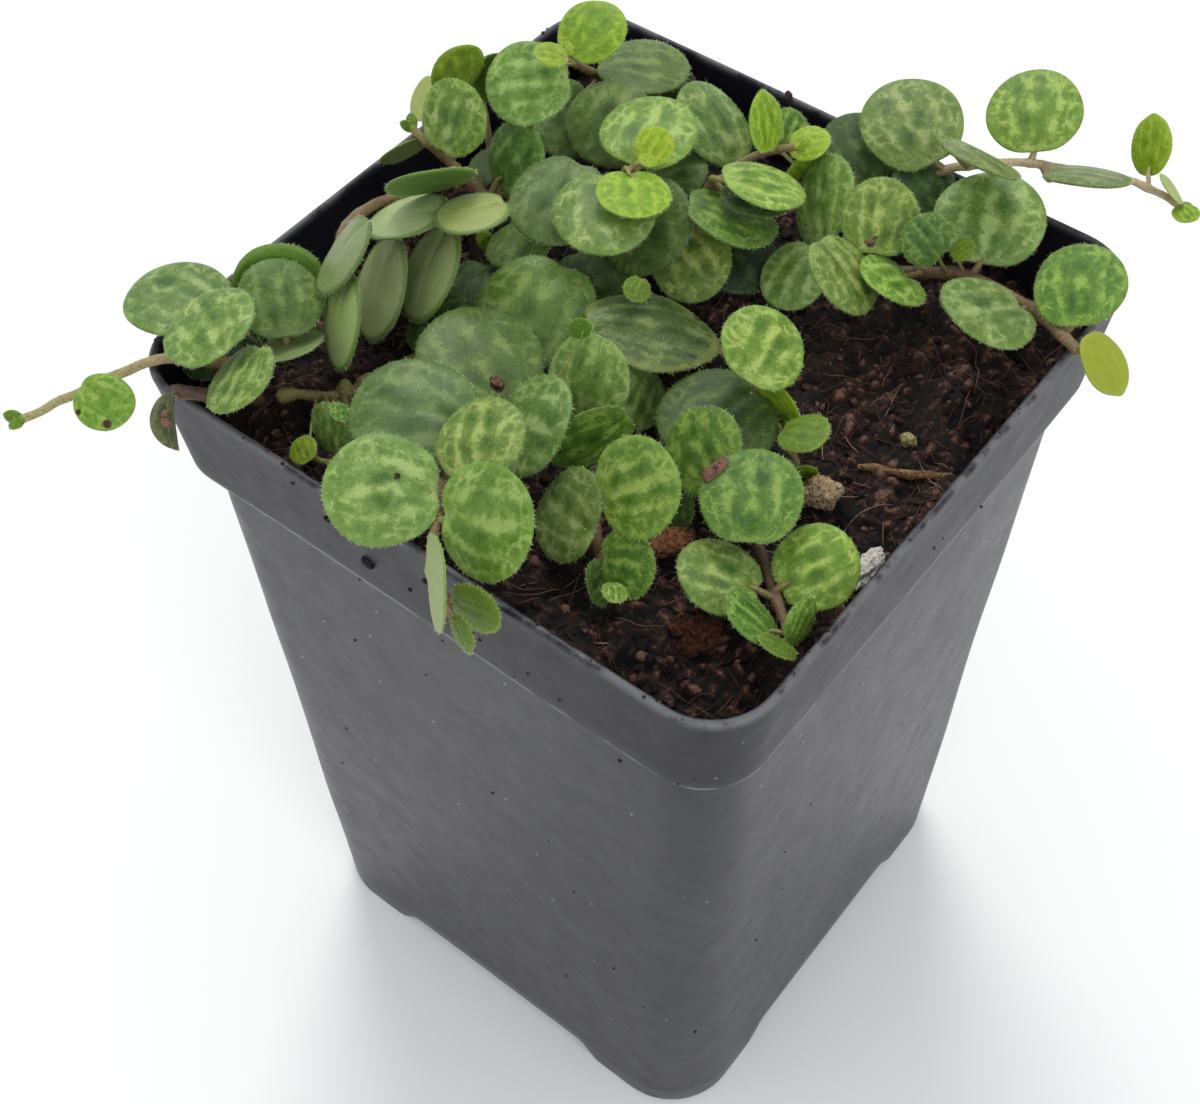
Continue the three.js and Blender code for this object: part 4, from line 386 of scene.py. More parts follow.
# ---------------------------------------------------------------- tables
# leaf: id, frame node, stem, tone, centre, upper normal, direction of the base, radius, length over width, dome, thickness
LEAVES = [
("A1","leaf_left_1","left","M",(-42.87,-35.08,131),(-0.029,0.072,0.997),(0.995,0.099,0.022),6.41,1,0.58,0.8),
("A4b","","left","S",(-36.53,-24.91,128.21),(-0.684,0.617,-0.389),(0.289,-0.26,-0.921),5.7,1,0.51,0.77),
("A2","leaf_left_2","left","M",(-34.03,-38,134.08),(-0.228,-0.23,0.946),(0.902,-0.415,0.116),5.62,1,0.51,0.79),
("A4","","left","O",(-33.47,-27.54,130.56),(0.384,-0.198,0.902),(0.699,-0.576,-0.424),4.99,1,0.45,0.7),
("A3","","left","M",(-26.54,-40.85,132.51),(-0.373,-0.321,0.871),(-0.217,0.942,0.254),4.64,1,0.42,0.65),
("A6","","left","ML",(-30.54,-29.48,126.02),(0.33,-0.092,-0.939),(0.159,0.986,-0.041),3.83,1,0.34,0.55),
("A5","","left","DD",(-38.71,-35.23,123),(-0.19,0.035,0.981),(0.702,0.704,0.11),3.64,1,0.33,0.51),
("T1","","left","YH",(-37.26,-51.96,131),(0.411,-0.287,0.865),(-0.906,-0.238,0.351),3.28,1,0.3,0.46),
("Ah","","left","DD",(-39.47,-29.2,122.12),(-0.097,-0.424,0.901),(0.984,0.094,0.15),2.96,1,0.27,0.41),
("B3","leaf_left_wall_1","left_wall","PH",(-30.06,-14.66,124.29),(-0.49,-0.694,0.528),(-0.147,0.663,0.734),6.59,1,0.59,0.8),
("B4","leaf_left_wall_2","left_wall","PH",(-25.29,-10.57,126.51),(-0.489,-0.605,0.628),(-0.146,0.767,0.625),6.17,1,0.56,0.78),
("B2","leaf_left_wall_3","left_wall","PG",(-25.79,-25.3,129.79),(-0.514,-0.764,0.389),(-0.096,0.502,0.86),5.91,1,0.53,0.77),
("B1","leaf_left_wall_4","left_wall","PD",(-29.03,-20.58,134.82),(-0.592,-0.436,0.677),(0.063,0.813,0.579),5.31,1,0.48,0.74),
("B5","","left_wall","PH",(-30.06,-8.72,131.88),(-0.348,0.006,0.938),(0.813,0.5,0.298),5.15,1,0.46,0.72),
("C13","","back_left","S",(-28.27,-5.71,136.46),(-0.639,0.489,0.594),(0.213,0.854,-0.475),5.44,1,0.49,0.76),
("C11","","back_left","MR",(-27.5,9.15,129.97),(-0.187,-0.87,0.456),(-0.464,-0.331,-0.821),4.97,1,0.45,0.7),
("C1","","back_left","MB",(-33.62,4.71,136.53),(0.057,-0.882,0.469),(-0.112,-0.472,-0.874),4.74,1,0.43,0.66),
("B6","","back_left","P",(-21.68,-5.75,134.96),(-0.212,0.067,0.975),(0.432,0.901,0.032),4.57,1,0.41,0.64),
("El","","back_left","O",(-21.39,1.97,124.46),(-0.174,-0.133,0.976),(-0.267,0.96,0.083),4.31,1,0.39,0.6),
("C3","","back_left","S",(-36.98,15.07,134.68),(-0.914,0.383,0.136),(-0.071,0.178,-0.981),3.87,1,0.35,0.54),
("C2","","back_left","Y",(-37.33,10.04,139),(-0.932,0.34,0.128),(-0.075,0.163,-0.984),3.78,1,0.34,0.53),
("C12","","back_left","L",(-40.78,2.49,129.3),(-0.782,0.322,0.534),(0.377,0.926,-0.008),3.35,1,0.3,0.47),
("C3b","","back_left","L",(-45.83,12.05,129),(0.43,0.68,-0.594),(0.865,-0.498,0.056),2.92,1,0.26,0.41),
("C8b","","back_left","PD",(-33.39,9.16,125.61),(-0.24,-0.611,0.754),(0.575,-0.716,-0.396),2.61,1,0.24,0.37),
("E9","","back_left","Y",(-26.7,1.74,122),(-0.31,0.917,-0.252),(0.317,0.35,0.882),1.42,1,0.13,0.32),
("C7","leaf_back_1","back","O",(-27.39,35.78,128.57),(0.002,0.112,0.994),(-0.826,-0.56,0.065),6.35,1,0.57,0.79),
("C9","leaf_back_2","back","O",(-23.6,24.07,128),(0.344,-0.434,0.833),(-0.213,0.828,0.519),5.79,1,0.52,0.8),
("C8","leaf_back_3","back","O",(-31.36,24.38,125),(0.402,-0.2,0.894),(-0.169,0.943,0.287),5.65,1,0.51,0.79),
("C4","leaf_back_4","back","ML",(-29.26,14.25,138.03),(0.311,-0.492,0.813),(0.723,0.678,0.133),5.28,1,0.48,0.74),
("C6","","back","Y",(-31.51,30.04,135.58),(0.112,-0.419,0.901),(-0.097,-0.907,-0.41),4.47,1,0.4,0.63),
("C7b","","back","D",(-24.96,39.48,123.25),(-0.894,0.435,0.105),(-0.24,-0.664,0.708),3.31,1,0.3,0.46),
("C5","","back","YL",(-27.02,16.29,142.22),(0.231,0.09,0.969),(0.751,0.616,-0.236),2.11,1,0.19,0.3),
("C5b","","back","YL",(-27.01,18.82,141.31),(-0.092,-0.509,0.856),(0.875,-0.452,-0.174),1.13,1,0.1,0.3),
("E1","leaf_middle_back_1","middle_back","M",(-10.8,6.05,132.64),(0.047,-0.155,0.987),(-0.607,0.78,0.152),6.34,1,0.57,0.79),
("E3","leaf_middle_back_2","middle_back","OD",(-8.79,11.76,127.03),(-0.148,-0.62,0.77),(-0.793,0.539,0.282),6.28,1,0.56,0.8),
("C10","leaf_middle_back_3","middle_back","MB",(-16.22,22.33,131.64),(0.004,-0.126,0.992),(0.233,-0.965,-0.124),6.14,1,0.55,0.8),
("E0","leaf_middle_back_4","middle_back","O",(-17.73,5.82,130.85),(0.173,-0.306,0.936),(-0.139,0.933,0.331),6.09,1,0.55,0.78),
("E8","","middle_back","D",(-12.66,5.78,121.43),(-0.142,-0.108,0.984),(-0.852,0.519,-0.066),5.09,1,0.46,0.71),
("E2","","middle_back","Y",(-8.56,9.14,134.53),(0.06,0.099,0.993),(-0.694,0.72,-0.03),4.5,1,0.4,0.63),
("D8","","middle_back","O",(-12.62,23.68,126),(0.072,-0.296,0.952),(-0.732,-0.665,-0.151),3.9,1,0.35,0.55),
("D6","","middle_back","YL",(-12.07,17.83,134.27),(0.202,-0.547,0.812),(0.002,-0.829,-0.559),2.49,1,0.22,0.35),
("D6b","","middle_back","YL",(-10.55,14.57,135),(0.236,0.105,0.966),(0.294,-0.955,0.032),1.11,1,0.1,0.32),
("D1","leaf_back_right_1","back_right","M",(-12.95,32.43,128),(0.594,0.204,0.778),(0.803,-0.217,-0.555),6.18,1,0.56,0.8),
("E6","leaf_back_right_2","back_right","MR",(0.09,17.92,129.13),(0.134,0.31,0.941),(-0.88,-0.399,0.257),5.84,1,0.53,0.79),
("D3","leaf_back_right_3","back_right","MB",(2.11,21.56,133),(0.087,0.324,0.942),(-0.707,-0.646,0.288),5.3,1,0.48,0.74),
("E5","","back_right","DD",(0.98,18.03,123),(0.371,-0.177,0.912),(-0.852,0.327,0.41),5.2,1,0.47,0.73),
("E4","","back_right","M",(-2.29,12.8,124),(0.154,-0.515,0.843),(-0.861,0.348,0.37),5.03,1,0.45,0.7),
("E7","","back_right","D",(1.77,20.04,131.63),(0.02,0.253,0.967),(-0.83,-0.535,0.157),4.07,1,0.37,0.57),
("D2","","back_right","Y",(-2.94,28.98,135.31),(0.841,-0.095,0.533),(0.447,-0.433,-0.783),3.63,1.35,0.33,0.51),
("D5b","","back_right","Y",(1.33,32.6,127.98),(0.915,-0.286,-0.283),(-0.061,-0.793,0.606),3.21,1,0.29,0.45),
("D4","","back_right","MR",(-4.86,38.6,127),(0.636,-0.111,0.763),(0.269,-0.895,-0.355),2.77,1,0.25,0.39),
("D5","","back_right","YL",(1.55,32.4,131.97),(-0.135,-0.333,0.933),(-0.813,-0.501,-0.297),2.66,1,0.24,0.37),
("F3","leaf_right_1","right","M",(9.73,43.72,132.02),(0.111,-0.308,0.945),(0.833,-0.489,-0.258),6.52,1,0.59,0.79),
("R1","leaf_right_2","right","MB",(22.06,52.73,134),(0.046,-0.406,0.913),(0.517,-0.772,-0.37),5.83,1,0.52,0.8),
("F1","leaf_right_3","right","ML",(6.39,29.03,127.48),(-0.496,-0.74,0.454),(0.505,-0.671,-0.543),5.7,1,0.51,0.79),
("F2","leaf_right_4","right","D",(4.6,39.86,127.43),(0.123,-0.36,0.925),(0.767,-0.556,-0.319),5.33,1,0.48,0.75),
("R2","","right","MT",(32.77,47.56,132.48),(-0.257,0.389,0.885),(-0.963,-0.175,-0.203),5.32,1,0.48,0.74),
("F7","","right","MT",(22.37,38.29,136.22),(0.07,0.525,0.848),(-0.995,0.103,0.019),5.24,1,0.47,0.73),
("F5","","right","D",(15.46,38.77,127.33),(0.397,-0.266,0.879),(0.833,-0.298,-0.466),4.33,1,0.39,0.61),
("R3","","right","YL",(35.34,60.38,130),(-0.279,-0.841,0.464),(0.392,-0.541,-0.744),3.7,1.3,0.33,0.52),
("R5","","right","L",(40.7,56.24,128.4),(-0.514,-0.423,-0.746),(0.855,-0.189,-0.483),2.27,1.2,0.2,0.32),
("F2b","","right","PH",(5.23,39.7,123),(0.163,0.261,0.952),(0.807,-0.59,0.023),2.11,1,0.19,0.32),
("R4","","right","Y",(43.72,55.12,127),(-0.075,-0.1,0.992),(-0.846,0.533,-0.01),1.64,1,0.15,0.32),
("F6","leaf_right_front_1","right_front","ML",(25.54,37.29,129),(0.083,-0.291,0.953),(0.395,-0.869,-0.299),6.7,1,0.6,0.8),
("G4","leaf_right_front_2","right_front","M",(34.42,21.48,130.87),(0.197,0.214,0.957),(0.387,0.88,-0.276),5.74,1,0.52,0.78),
("G2","leaf_right_front_3","right_front","M",(16.53,18.46,128.73),(0.537,0.233,0.811),(-0.843,0.153,0.515),5.33,1,0.48,0.75),
("G5","leaf_right_front_4","right_front","MR",(41.57,29.38,133.03),(-0.062,-0.417,0.907),(0.445,-0.825,-0.349),5.26,1,0.47,0.74),
("F4","","right_front","M",(15.48,27.51,130.66),(0.156,-0.609,0.778),(0.331,-0.71,-0.622),4.79,1,0.43,0.67),
("G1","","right_front","MB",(21.11,22.34,127.27),(0.253,0.391,0.885),(0.055,0.907,-0.417),4.51,1,0.41,0.63),
("G3","","right_front","ML",(9.17,18.98,123.56),(-0.074,-0.529,0.845),(-0.022,0.848,0.529),4.38,1,0.39,0.61),
("G6","","right_front","YT",(48.86,23.52,129.43),(0.514,-0.078,0.854),(-0.806,0.297,0.512),3.81,1.25,0.34,0.53),
("F8","","right_front","MR",(21.81,28.11,129.98),(0.655,-0.555,0.513),(0.695,0.178,-0.696),3.17,1,0.29,0.44),
("F9","","right_front","YD",(25.69,30.39,129),(-0.364,-0.548,0.753),(-0.417,-0.627,-0.658),1.59,1,0.14,0.32),
("H12","leaf_front_left_1","front_left","O",(-11.26,-17.39,126),(0.233,-0.025,0.972),(0.908,-0.354,-0.226),7.49,1,0.67,0.8),
("H11","leaf_front_left_2","front_left","O",(-11.94,-6.16,124.36),(0.201,-0.384,0.901),(-0.092,0.908,0.408),7.36,1,0.66,0.8),
("H16","leaf_front_left_3","front_left","O",(-10.19,-30.37,128.59),(0.106,-0.183,0.977),(0.904,0.427,-0.019),7.19,1,0.65,0.8),
("H17","leaf_front_left_4","front_left","ML",(-3.19,-42.66,131.59),(0.353,-0.244,0.903),(0.733,0.672,-0.105),6.27,1,0.56,0.8),
("H18","leaf_front_left_5","front_left","MB",(9.08,-39.82,132.6),(-0.105,-0.784,0.612),(-0.927,-0.145,-0.345),6.24,1,0.56,0.79),
("H15","","front_left","M",(1.49,-31.64,133.37),(-0.157,-0.364,0.918),(0.486,-0.838,-0.249),5.13,1,0.46,0.69),
("V8a","","front_left","L",(10.01,-48.54,131.67),(0.63,0.757,-0.174),(-0.702,0.46,-0.544),4.98,1,0.45,0.7),
("B8","","front_left","D",(-21.59,-13.76,122.81),(-0.262,-0.322,0.91),(0.522,0.746,0.414),4.44,1,0.4,0.62),
("B7","","front_left","D",(-23.68,-5.27,121),(-0.07,-0.175,0.982),(-0.238,0.959,0.154),4.31,1,0.39,0.6),
("V8b","","front_left","YD",(13,-46.55,127.58),(0.142,-0.975,0.173),(-0.979,-0.164,-0.123),3.16,1,0.28,0.44),
("V8c","","front_left","YD",(13.71,-49.54,127),(-0.183,-0.936,0.3),(-0.766,0.328,0.552),2.09,1.2,0.19,0.32),
("H10","","front_left","S",(-1.32,-10.61,131.7),(-0.612,0.764,-0.204),(0.789,0.574,-0.22),1.39,1,0.13,0.31),
("H8","leaf_front_middle_1","front_middle","OR",(2.07,-1.14,126),(0.024,0.296,0.955),(-0.809,-0.555,0.192),8.06,1,0.73,0.8),
("H14","leaf_front_middle_2","front_middle","M",(1.49,-23.22,128.15),(-0.406,-0.555,0.726),(-0.904,0.129,-0.407),5.91,1,0.53,0.8),
("H21","leaf_front_middle_3","front_middle","MB",(19.87,-27.66,134.69),(-0.152,-0.841,0.519),(-0.743,-0.249,-0.621),5.5,1,0.49,0.76),
("H13","leaf_front_middle_4","front_middle","ML",(1.31,-12.59,126.29),(0.066,-0.795,0.603),(0.221,-0.578,-0.786),5.28,1,0.48,0.74),
("H22","","front_middle","M",(11.3,-29.04,125),(-0.389,-0.648,0.654),(0.921,-0.285,0.266),5.24,1,0.47,0.73),
("H19","","front_middle","MR",(7.16,-19.44,126.08),(0.843,-0.534,-0.061),(0.507,0.752,0.421),5.15,1,0.46,0.72),
("H20","","front_middle","ML",(5.01,-7.93,121.95),(0.753,-0.004,0.658),(-0.171,0.964,0.202),4.07,1,0.37,0.57),
("H24","","front_middle","MR",(21.7,-31.59,126.98),(-0.192,-0.832,0.521),(-0.898,-0.064,-0.434),3.77,1,0.34,0.53),
("H25","","front_middle","D",(19.48,-33.54,123.63),(0.781,0.33,0.53),(-0.279,0.944,-0.177),2.51,1,0.23,0.35),
("H26","","front_middle","MB",(22.6,-34.88,126),(0.159,0.159,0.974),(-0.718,0.696,0.004),1.39,1,0.13,0.32),
("H5","leaf_front_right_1","front_right","MR",(27.85,-17.19,129),(0.121,-0.264,0.957),(0.497,-0.818,-0.289),5.57,1,0.5,0.78),
("H4","","front_right","MR",(18.72,-13.83,127.16),(-0.25,-0.674,0.695),(0.881,-0.456,-0.124),5.08,1,0.46,0.71),
("H28","","front_right","MB",(37.04,-17.62,124),(0.022,-0.434,0.901),(-0.47,-0.8,-0.373),4.81,1,0.43,0.67),
("H27","","front_right","M",(29.36,-24.91,124),(0.227,0.103,0.968),(0.889,0.383,-0.249),4.8,1,0.43,0.67),
("H29","","front_right","MR",(35.74,-28.01,125),(0.413,0.491,0.767),(0.82,0.167,-0.548),3.62,1,0.33,0.51),
("H30","","front_right","MR",(40.27,-25.47,125.33),(0.918,-0.127,0.377),(0.118,-0.819,-0.562),2.65,1.2,0.24,0.37),
("H23","","front_right","D",(18.73,-18.35,121),(-0.315,-0.745,0.588),(-0.503,0.657,0.562),2.52,1,0.23,0.35),
("H29b","","front_right","YD",(40.19,-29.63,125.36),(0.136,0.428,0.894),(0.96,0.166,-0.225),2.21,1.3,0.2,0.32),
("H3","leaf_centre_1","centre","D",(16.19,-7.28,124.86),(0.106,-0.135,0.985),(0.187,0.976,0.113),6.86,1,0.62,0.8),
("H1","","centre","MB",(17.36,-0.15,131.7),(0.493,-0.068,0.867),(0.23,-0.951,-0.205),5.05,1,0.45,0.71),
("H2","","centre","YL",(20.55,-1.15,124.83),(-0.198,-0.972,-0.124),(-0.668,0.041,0.743),3.74,1,0.34,0.52),
("H6","","centre","YD",(26.18,-4.31,126.64),(-0.292,-0.138,0.946),(-0.943,-0.122,-0.309),2.97,1,0.27,0.42),
("H9","","centre","YD",(-1.65,0.74,129),(0.389,-0.088,0.917),(-0.328,0.917,0.227),1.68,1,0.15,0.32),
("H7","","centre","Y",(27.02,-4.28,120.5),(-0.5,0.847,0.182),(-0.864,-0.471,-0.181),1.4,1,0.13,0.32),
("L1","","small_left","ML",(-18.68,-35.6,124.34),(-0.072,-0.937,0.341),(0.164,-0.348,-0.923),3.26,1,0.29,0.46),
("L2","","small_left","Y",(-20.17,-39.03,122.89),(-0.078,-0.403,0.912),(0.852,-0.502,-0.15),1.75,1,0.16,0.32),
("L1b","","small_left","MR",(-17.13,-34.9,127.89),(0.377,0.243,0.894),(0.673,-0.735,-0.084),1.38,1,0.12,0.31),
("X1","","cut","X",(-31.59,-47.43,127.62),(-0.096,-0.83,0.549),(-0.495,0.519,0.697),3.21,1.5,0.29,0.45),
]
# leaf stalk: leaf id, stem, radius, four control points
STALKS = [
("A1","left",0.46,(-35.57,-37.47,126.42),(-35.49,-36.9,126.76),(-36.38,-36.21,127.85),(-37.61,-34.64,129.98)),
("A4b","left",0.46,(-30.28,-26.71,124.86),(-32.29,-26.86,124.77),(-33.6,-25.3,124.64),(-35.36,-25.97,124.55)),
("A2","left",0.46,(-36.81,-40.5,128.7),(-34.6,-39.75,128.81),(-31.15,-38.18,134.27),(-29.6,-39.64,133.52)),
("A4","left",0.44,(-31.36,-29.67,124.72),(-31.36,-29.48,125.5),(-31.6,-29.48,127.12),(-31.05,-29.54,129.04)),
("A3","left",0.41,(-34.74,-35.51,125.33),(-31.31,-37.45,128.93),(-28.66,-35.49,129.76),(-27.23,-37.78,133.3)),
("A6","left",0.35,(-30.24,-26.51,124.84),(-29.83,-26.65,125.33),(-30.15,-26.6,125.69),(-30.12,-26.84,125.94)),
("A5","left",0.33,(-33.62,-32.83,124.23),(-33.87,-32.83,124.45),(-35.83,-32.98,123.4),(-36.92,-33.43,123.25)),
("T1","left",0.3,(-42.33,-48.15,127.99),(-41.26,-49.58,129.93),(-39.66,-50.96,131.1),(-39.35,-52.5,131.78)),
("Ah","left",0.27,(-33.25,-32.12,124.21),(-34.13,-30.58,123.61),(-36.64,-29.44,122.83),(-37.43,-28.99,122.41)),
("B3","left_wall",0.46,(-35.3,-4.33,128.27),(-34.36,-5.72,129.59),(-30.39,-7.51,127.77),(-30.3,-10.29,127.67)),
("B4","left_wall",0.46,(-33.25,-2.54,124.53),(-29.89,-3.56,125.64),(-27.64,-4.41,127.05),(-25.48,-6.01,128.96)),
("B2","left_wall",0.46,(-32.87,-18.86,129.2),(-28.83,-19.52,127.61),(-26.24,-23.57,132.14),(-25.68,-22,133.51)),
("B1","left_wall",0.46,(-35.34,-13.89,130.93),(-32.94,-14.19,133.42),(-29.77,-15.53,136.45),(-28.08,-16.55,136.58)),
("B5","left_wall",0.46,(-35.63,-5.5,129.16),(-32.07,-7.06,128.43),(-26.39,-5.83,130.61),(-27.12,-6.92,132.92)),
("C13","back_left",0.46,(-35.5,6.35,126.29),(-35.48,0.95,128.6),(-31.02,2.19,131.68),(-27.44,-2.47,134.62)),
("C11","back_left",0.44,(-30.05,5.72,124.51),(-29.68,6.86,124.53),(-30.07,7.46,126.48),(-29.11,8.03,127.1)),
("C1","back_left",0.42,(-37.39,3.4,131.77),(-36.1,3.49,131.85),(-34.16,3.8,132.82),(-33.99,3.18,133.61)),
("B6","back_left",0.41,(-29.8,5.66,124.4),(-27.32,2.66,130.13),(-21.57,-1.91,132.67),(-20.29,-2.87,135.03)),
("El","back_left",0.39,(-30.5,8.03,121.74),(-26.69,8.29,123.22),(-22.02,7.96,126.65),(-22.19,4.88,124.68)),
("C3","back_left",0.35,(-38.55,15.2,130.28),(-37.87,15.25,131.18),(-37.27,15.79,131.6),(-37.15,15.54,132.02)),
("C2","back_left",0.34,(-39.99,15.63,131),(-38.87,10.34,134.42),(-39.3,11.48,129.96),(-37.5,10.46,136.39)),
("C12","back_left",0.3,(-36.81,5.05,129.12),(-37.42,5.63,129.21),(-38.72,5.13,128.93),(-39.87,4.65,129.27)),
("C3b","back_left",0.27,(-39.99,15.63,131),(-41.26,15.25,131.96),(-43.16,10.39,129.55),(-44.07,11.01,129.13)),
("C8b","back_left",0.24,(-32.09,6.17,125.38),(-32.44,7.09,125.38),(-32.63,7.67,124.96),(-32.33,7.87,124.87)),
("E9","back_left",0.2,(-29.81,5.6,124.2),(-30.02,4.45,123.61),(-27.07,2.14,123.38),(-26.38,2.05,122.89)),
("C7","back",0.46,(-31.54,31.82,127.2),(-31.62,32.1,127.54),(-31.65,32.52,127.79),(-31.7,32.74,127.78)),
("C9","back",0.46,(-29.87,35.14,123.59),(-27.37,33.9,125.72),(-25.89,28.98,127.01),(-25.01,28.5,129.5)),
("C8","back",0.46,(-31.54,31.82,127.2),(-31.21,31.67,127.17),(-32.63,30.51,125.05),(-32.61,28.98,125.3)),
("C4","back",0.46,(-33.92,26.42,133),(-28.91,21.38,134.7),(-27.19,19.18,137.06),(-26.48,17.74,137.69)),
("C6","back",0.4,(-33.6,26.9,132.4),(-32.86,26.87,133.37),(-32.17,27.43,133.87),(-31.82,27.22,134.26)),
("C7b","back",0.3,(-29.59,35.34,123.17),(-27.83,35.48,124.33),(-25.7,37.1,125.76),(-25.49,37.93,124.89)),
("C5","back",0.2,(-33.92,26.42,133),(-29.11,20.89,136.41),(-23.86,19.86,139.46),(-25.92,17.2,141.85)),
("C5b","back",0.2,(-33.92,26.42,133),(-30.7,21.31,135.34),(-30.35,23.47,139.54),(-26.32,18.49,141.13)),
("E1","middle_back",0.46,(-13.08,11.4,130.12),(-13.68,11.1,130.35),(-13.59,10.78,132.42),(-14.01,10.28,132.31)),
("E3","middle_back",0.46,(-13.37,14.21,130.91),(-15.47,14.01,130.54),(-13.76,18.11,127.2),(-12.71,15.24,127.6)),
("C10","middle_back",0.46,(-13.47,14.97,131.06),(-14.03,15.04,129.67),(-14.99,16.62,129.22),(-15.05,17.61,129.88)),
("E0","middle_back",0.46,(-13.77,11.24,129.03),(-15.72,11.58,129.93),(-17.47,11.43,130.81),(-18.62,10.82,131.44)),
("E8","middle_back",0.45,(-13.84,9.09,119.72),(-15.28,8.5,120.39),(-15.62,7.69,120.78),(-15.69,7.64,121.16)),
("E2","middle_back",0.4,(-13.2,12.77,130.56),(-13.46,13.6,134.54),(-11.64,11.76,134.77),(-10.75,11.41,134.4)),
("D8","middle_back",0.35,(-13.47,14.97,131.06),(-14.35,16.76,129.62),(-16.43,20.64,124.26),(-14.62,21.88,125.56)),
("D6","middle_back",0.23,(-12.64,16.97,132),(-12.11,16.67,132.48),(-12.24,16.56,132.61),(-12.07,16.39,133.28)),
("D6b","middle_back",0.2,(-13.14,12.15,130.36),(-12.02,14.1,133.47),(-11.98,13.86,134.59),(-10.33,13.83,134.97)),
("D1","back_right",0.46,(-5.05,26.84,128.94),(-5.56,26.34,124.82),(-9.21,29.68,122.51),(-9.56,31.1,124.3)),
("E6","back_right",0.46,(-6.06,20.68,127.65),(-6.18,17.74,129.12),(-5.03,16.55,128.61),(-4.28,15.65,129.28)),
("D3","back_right",0.46,(-5.37,21.31,129.34),(-5.98,21.13,130.76),(-2.48,17.96,133.13),(-1.06,18.39,133.18)),
("E5","back_right",0.46,(-5.81,20.3,125.29),(-4.42,19.81,124.32),(-3.54,19.28,123.82),(-2.13,19.22,124.46)),
("E4","back_right",0.45,(-5.81,20.3,125.29),(-7.83,18.55,124.19),(-6.29,15.96,124.66),(-5.33,14.05,125.28)),
("E7","back_right",0.37,(-5.37,21.31,129.34),(-4.91,21.37,129.82),(-1.19,18.59,131.65),(-0.6,18.5,132.05)),
("D2","back_right",0.33,(-1.99,29.49,130.96),(-1.53,28.98,131.31),(-2.05,28.25,132.59),(-1.83,27.88,133.3)),
("D5b","back_right",0.29,(-1.3,29.54,131.38),(-0.92,30.02,131.14),(0.76,30.33,129.4),(1.17,30.83,129.35)),
("D4","back_right",0.26,(-2.73,29.21,130.47),(-5.76,31.98,131.27),(-8.66,36.52,125.89),(-4.35,36.87,126.29)),
("D5","back_right",0.25,(-1.3,29.54,131.38),(-0.64,30.38,131.79),(-0.13,30.98,131.39),(0.04,31.47,131.4)),
("F3","right",0.46,(16.42,41.83,128.77),(14.97,41.51,129.47),(13.95,41.67,129.67),(14.06,41.45,129.57)),
("R1","right",0.46,(24.84,48.2,130.03),(24.6,48.84,130.7),(24.64,49.39,131.06),(24.47,49.5,131.18)),
("F1","right",0.46,(11.74,29.68,119.4),(10.4,27.88,122.46),(9.2,27.21,123.36),(9.32,26.75,124.42)),
("F2","right",0.46,(9.63,38.76,121.15),(8.97,38.22,122.26),(8.57,37.73,124.08),(7.81,37.84,124.99)),
("R2","right",0.46,(26.12,49.13,129.75),(27.93,48,128.69),(28.1,46.73,129.3),(29.2,46.9,131.68)),
("F7","right",0.46,(19.46,41.66,131.22),(19.13,39.69,133.29),(18.31,38.4,135.01),(18.72,38.65,136.25)),
("F5","right",0.39,(12.94,41.14,125.47),(15.51,39.4,124.79),(16.38,38.88,125.05),(17.97,37.88,125.89)),
("R3","right",0.33,(37.6,56.13,127.25),(37.53,57.43,127.35),(36.39,58.34,127.54),(36.36,59,128.06)),
("R5","right",0.21,(41.41,56.94,126.23),(41.76,56.63,127.76),(42.19,55.78,127.65),(42.07,55.94,127.65)),
("F2b","right",0.2,(9.42,38.06,120.84),(8.88,38.96,121.41),(7.72,38.41,122.4),(6.42,38.83,123.01)),
("R4","right",0.2,(42.19,57.02,126),(42.38,56.67,126.3),(42.41,56.33,126.52),(42.75,55.73,126.95)),
("F6","right_front",0.46,(27.58,30.5,125.2),(27.45,31.06,126.05),(27.88,32.25,126.4),(27.62,32.85,126.28)),
("G4","right_front",0.46,(37.07,27.25,128.27),(36.57,26.31,128.49),(36.41,25.7,128.26),(36.02,25.38,128.48)),
("G2","right_front",0.46,(13.42,27.26,120.75),(15.56,24.11,125.44),(9.87,20.71,128.22),(12.23,18.86,130.06)),
("G5","right_front",0.46,(42.74,24.42,129.45),(43.04,25.63,130.1),(43.28,26.39,130.03),(43.56,26.3,130.5)),
("F4","right_front",0.43,(14.91,27.72,121.17),(14.99,26.18,124.04),(14.41,26.92,124.17),(16.58,25.15,128.54)),
("G1","right_front",0.4,(21.6,29.66,123.28),(21.45,28.48,123.77),(20.83,26.57,124.51),(21.28,25.19,125.93)),
("G3","right_front",0.39,(7.35,23.49,119.78),(8.23,22.34,123.09),(8.65,21.74,124.16),(9.1,21.6,125.15)),
("G6","right_front",0.34,(45.68,23.09,129.6),(45.98,23.89,129.94),(46.54,23.75,130.66),(46.69,24.32,130.76)),
("F8","right_front",0.29,(24.55,30.51,124.28),(24.16,29.76,124.9),(23.73,28.91,126.96),(23.34,28.52,128.42)),
("F9","right_front",0.2,(26.81,30.58,124.98),(25.92,30.67,125.92),(25.28,30.33,127.55),(25.24,29.71,128.24)),
("H12","front_left",0.46,(-8.18,-21.38,120.76),(-7.87,-20.51,121.38),(-5.99,-20.04,122.61),(-5.95,-19.54,123.54)),
("H11","front_left",0.46,(-10.74,-3.18,119.58),(-12.24,-1.94,122.34),(-12.48,0.77,125.69),(-12.72,-0.25,125.83)),
("H16","front_left",0.46,(-6.03,-29.58,122.79),(-5.49,-27.99,125.18),(-4.53,-27.13,126.98),(-4.98,-27.64,127.39)),
("H17","front_left",0.46,(1.18,-39,127.59),(0.97,-38.86,127.91),(0.36,-39.15,129.38),(0.18,-38.93,130.02)),
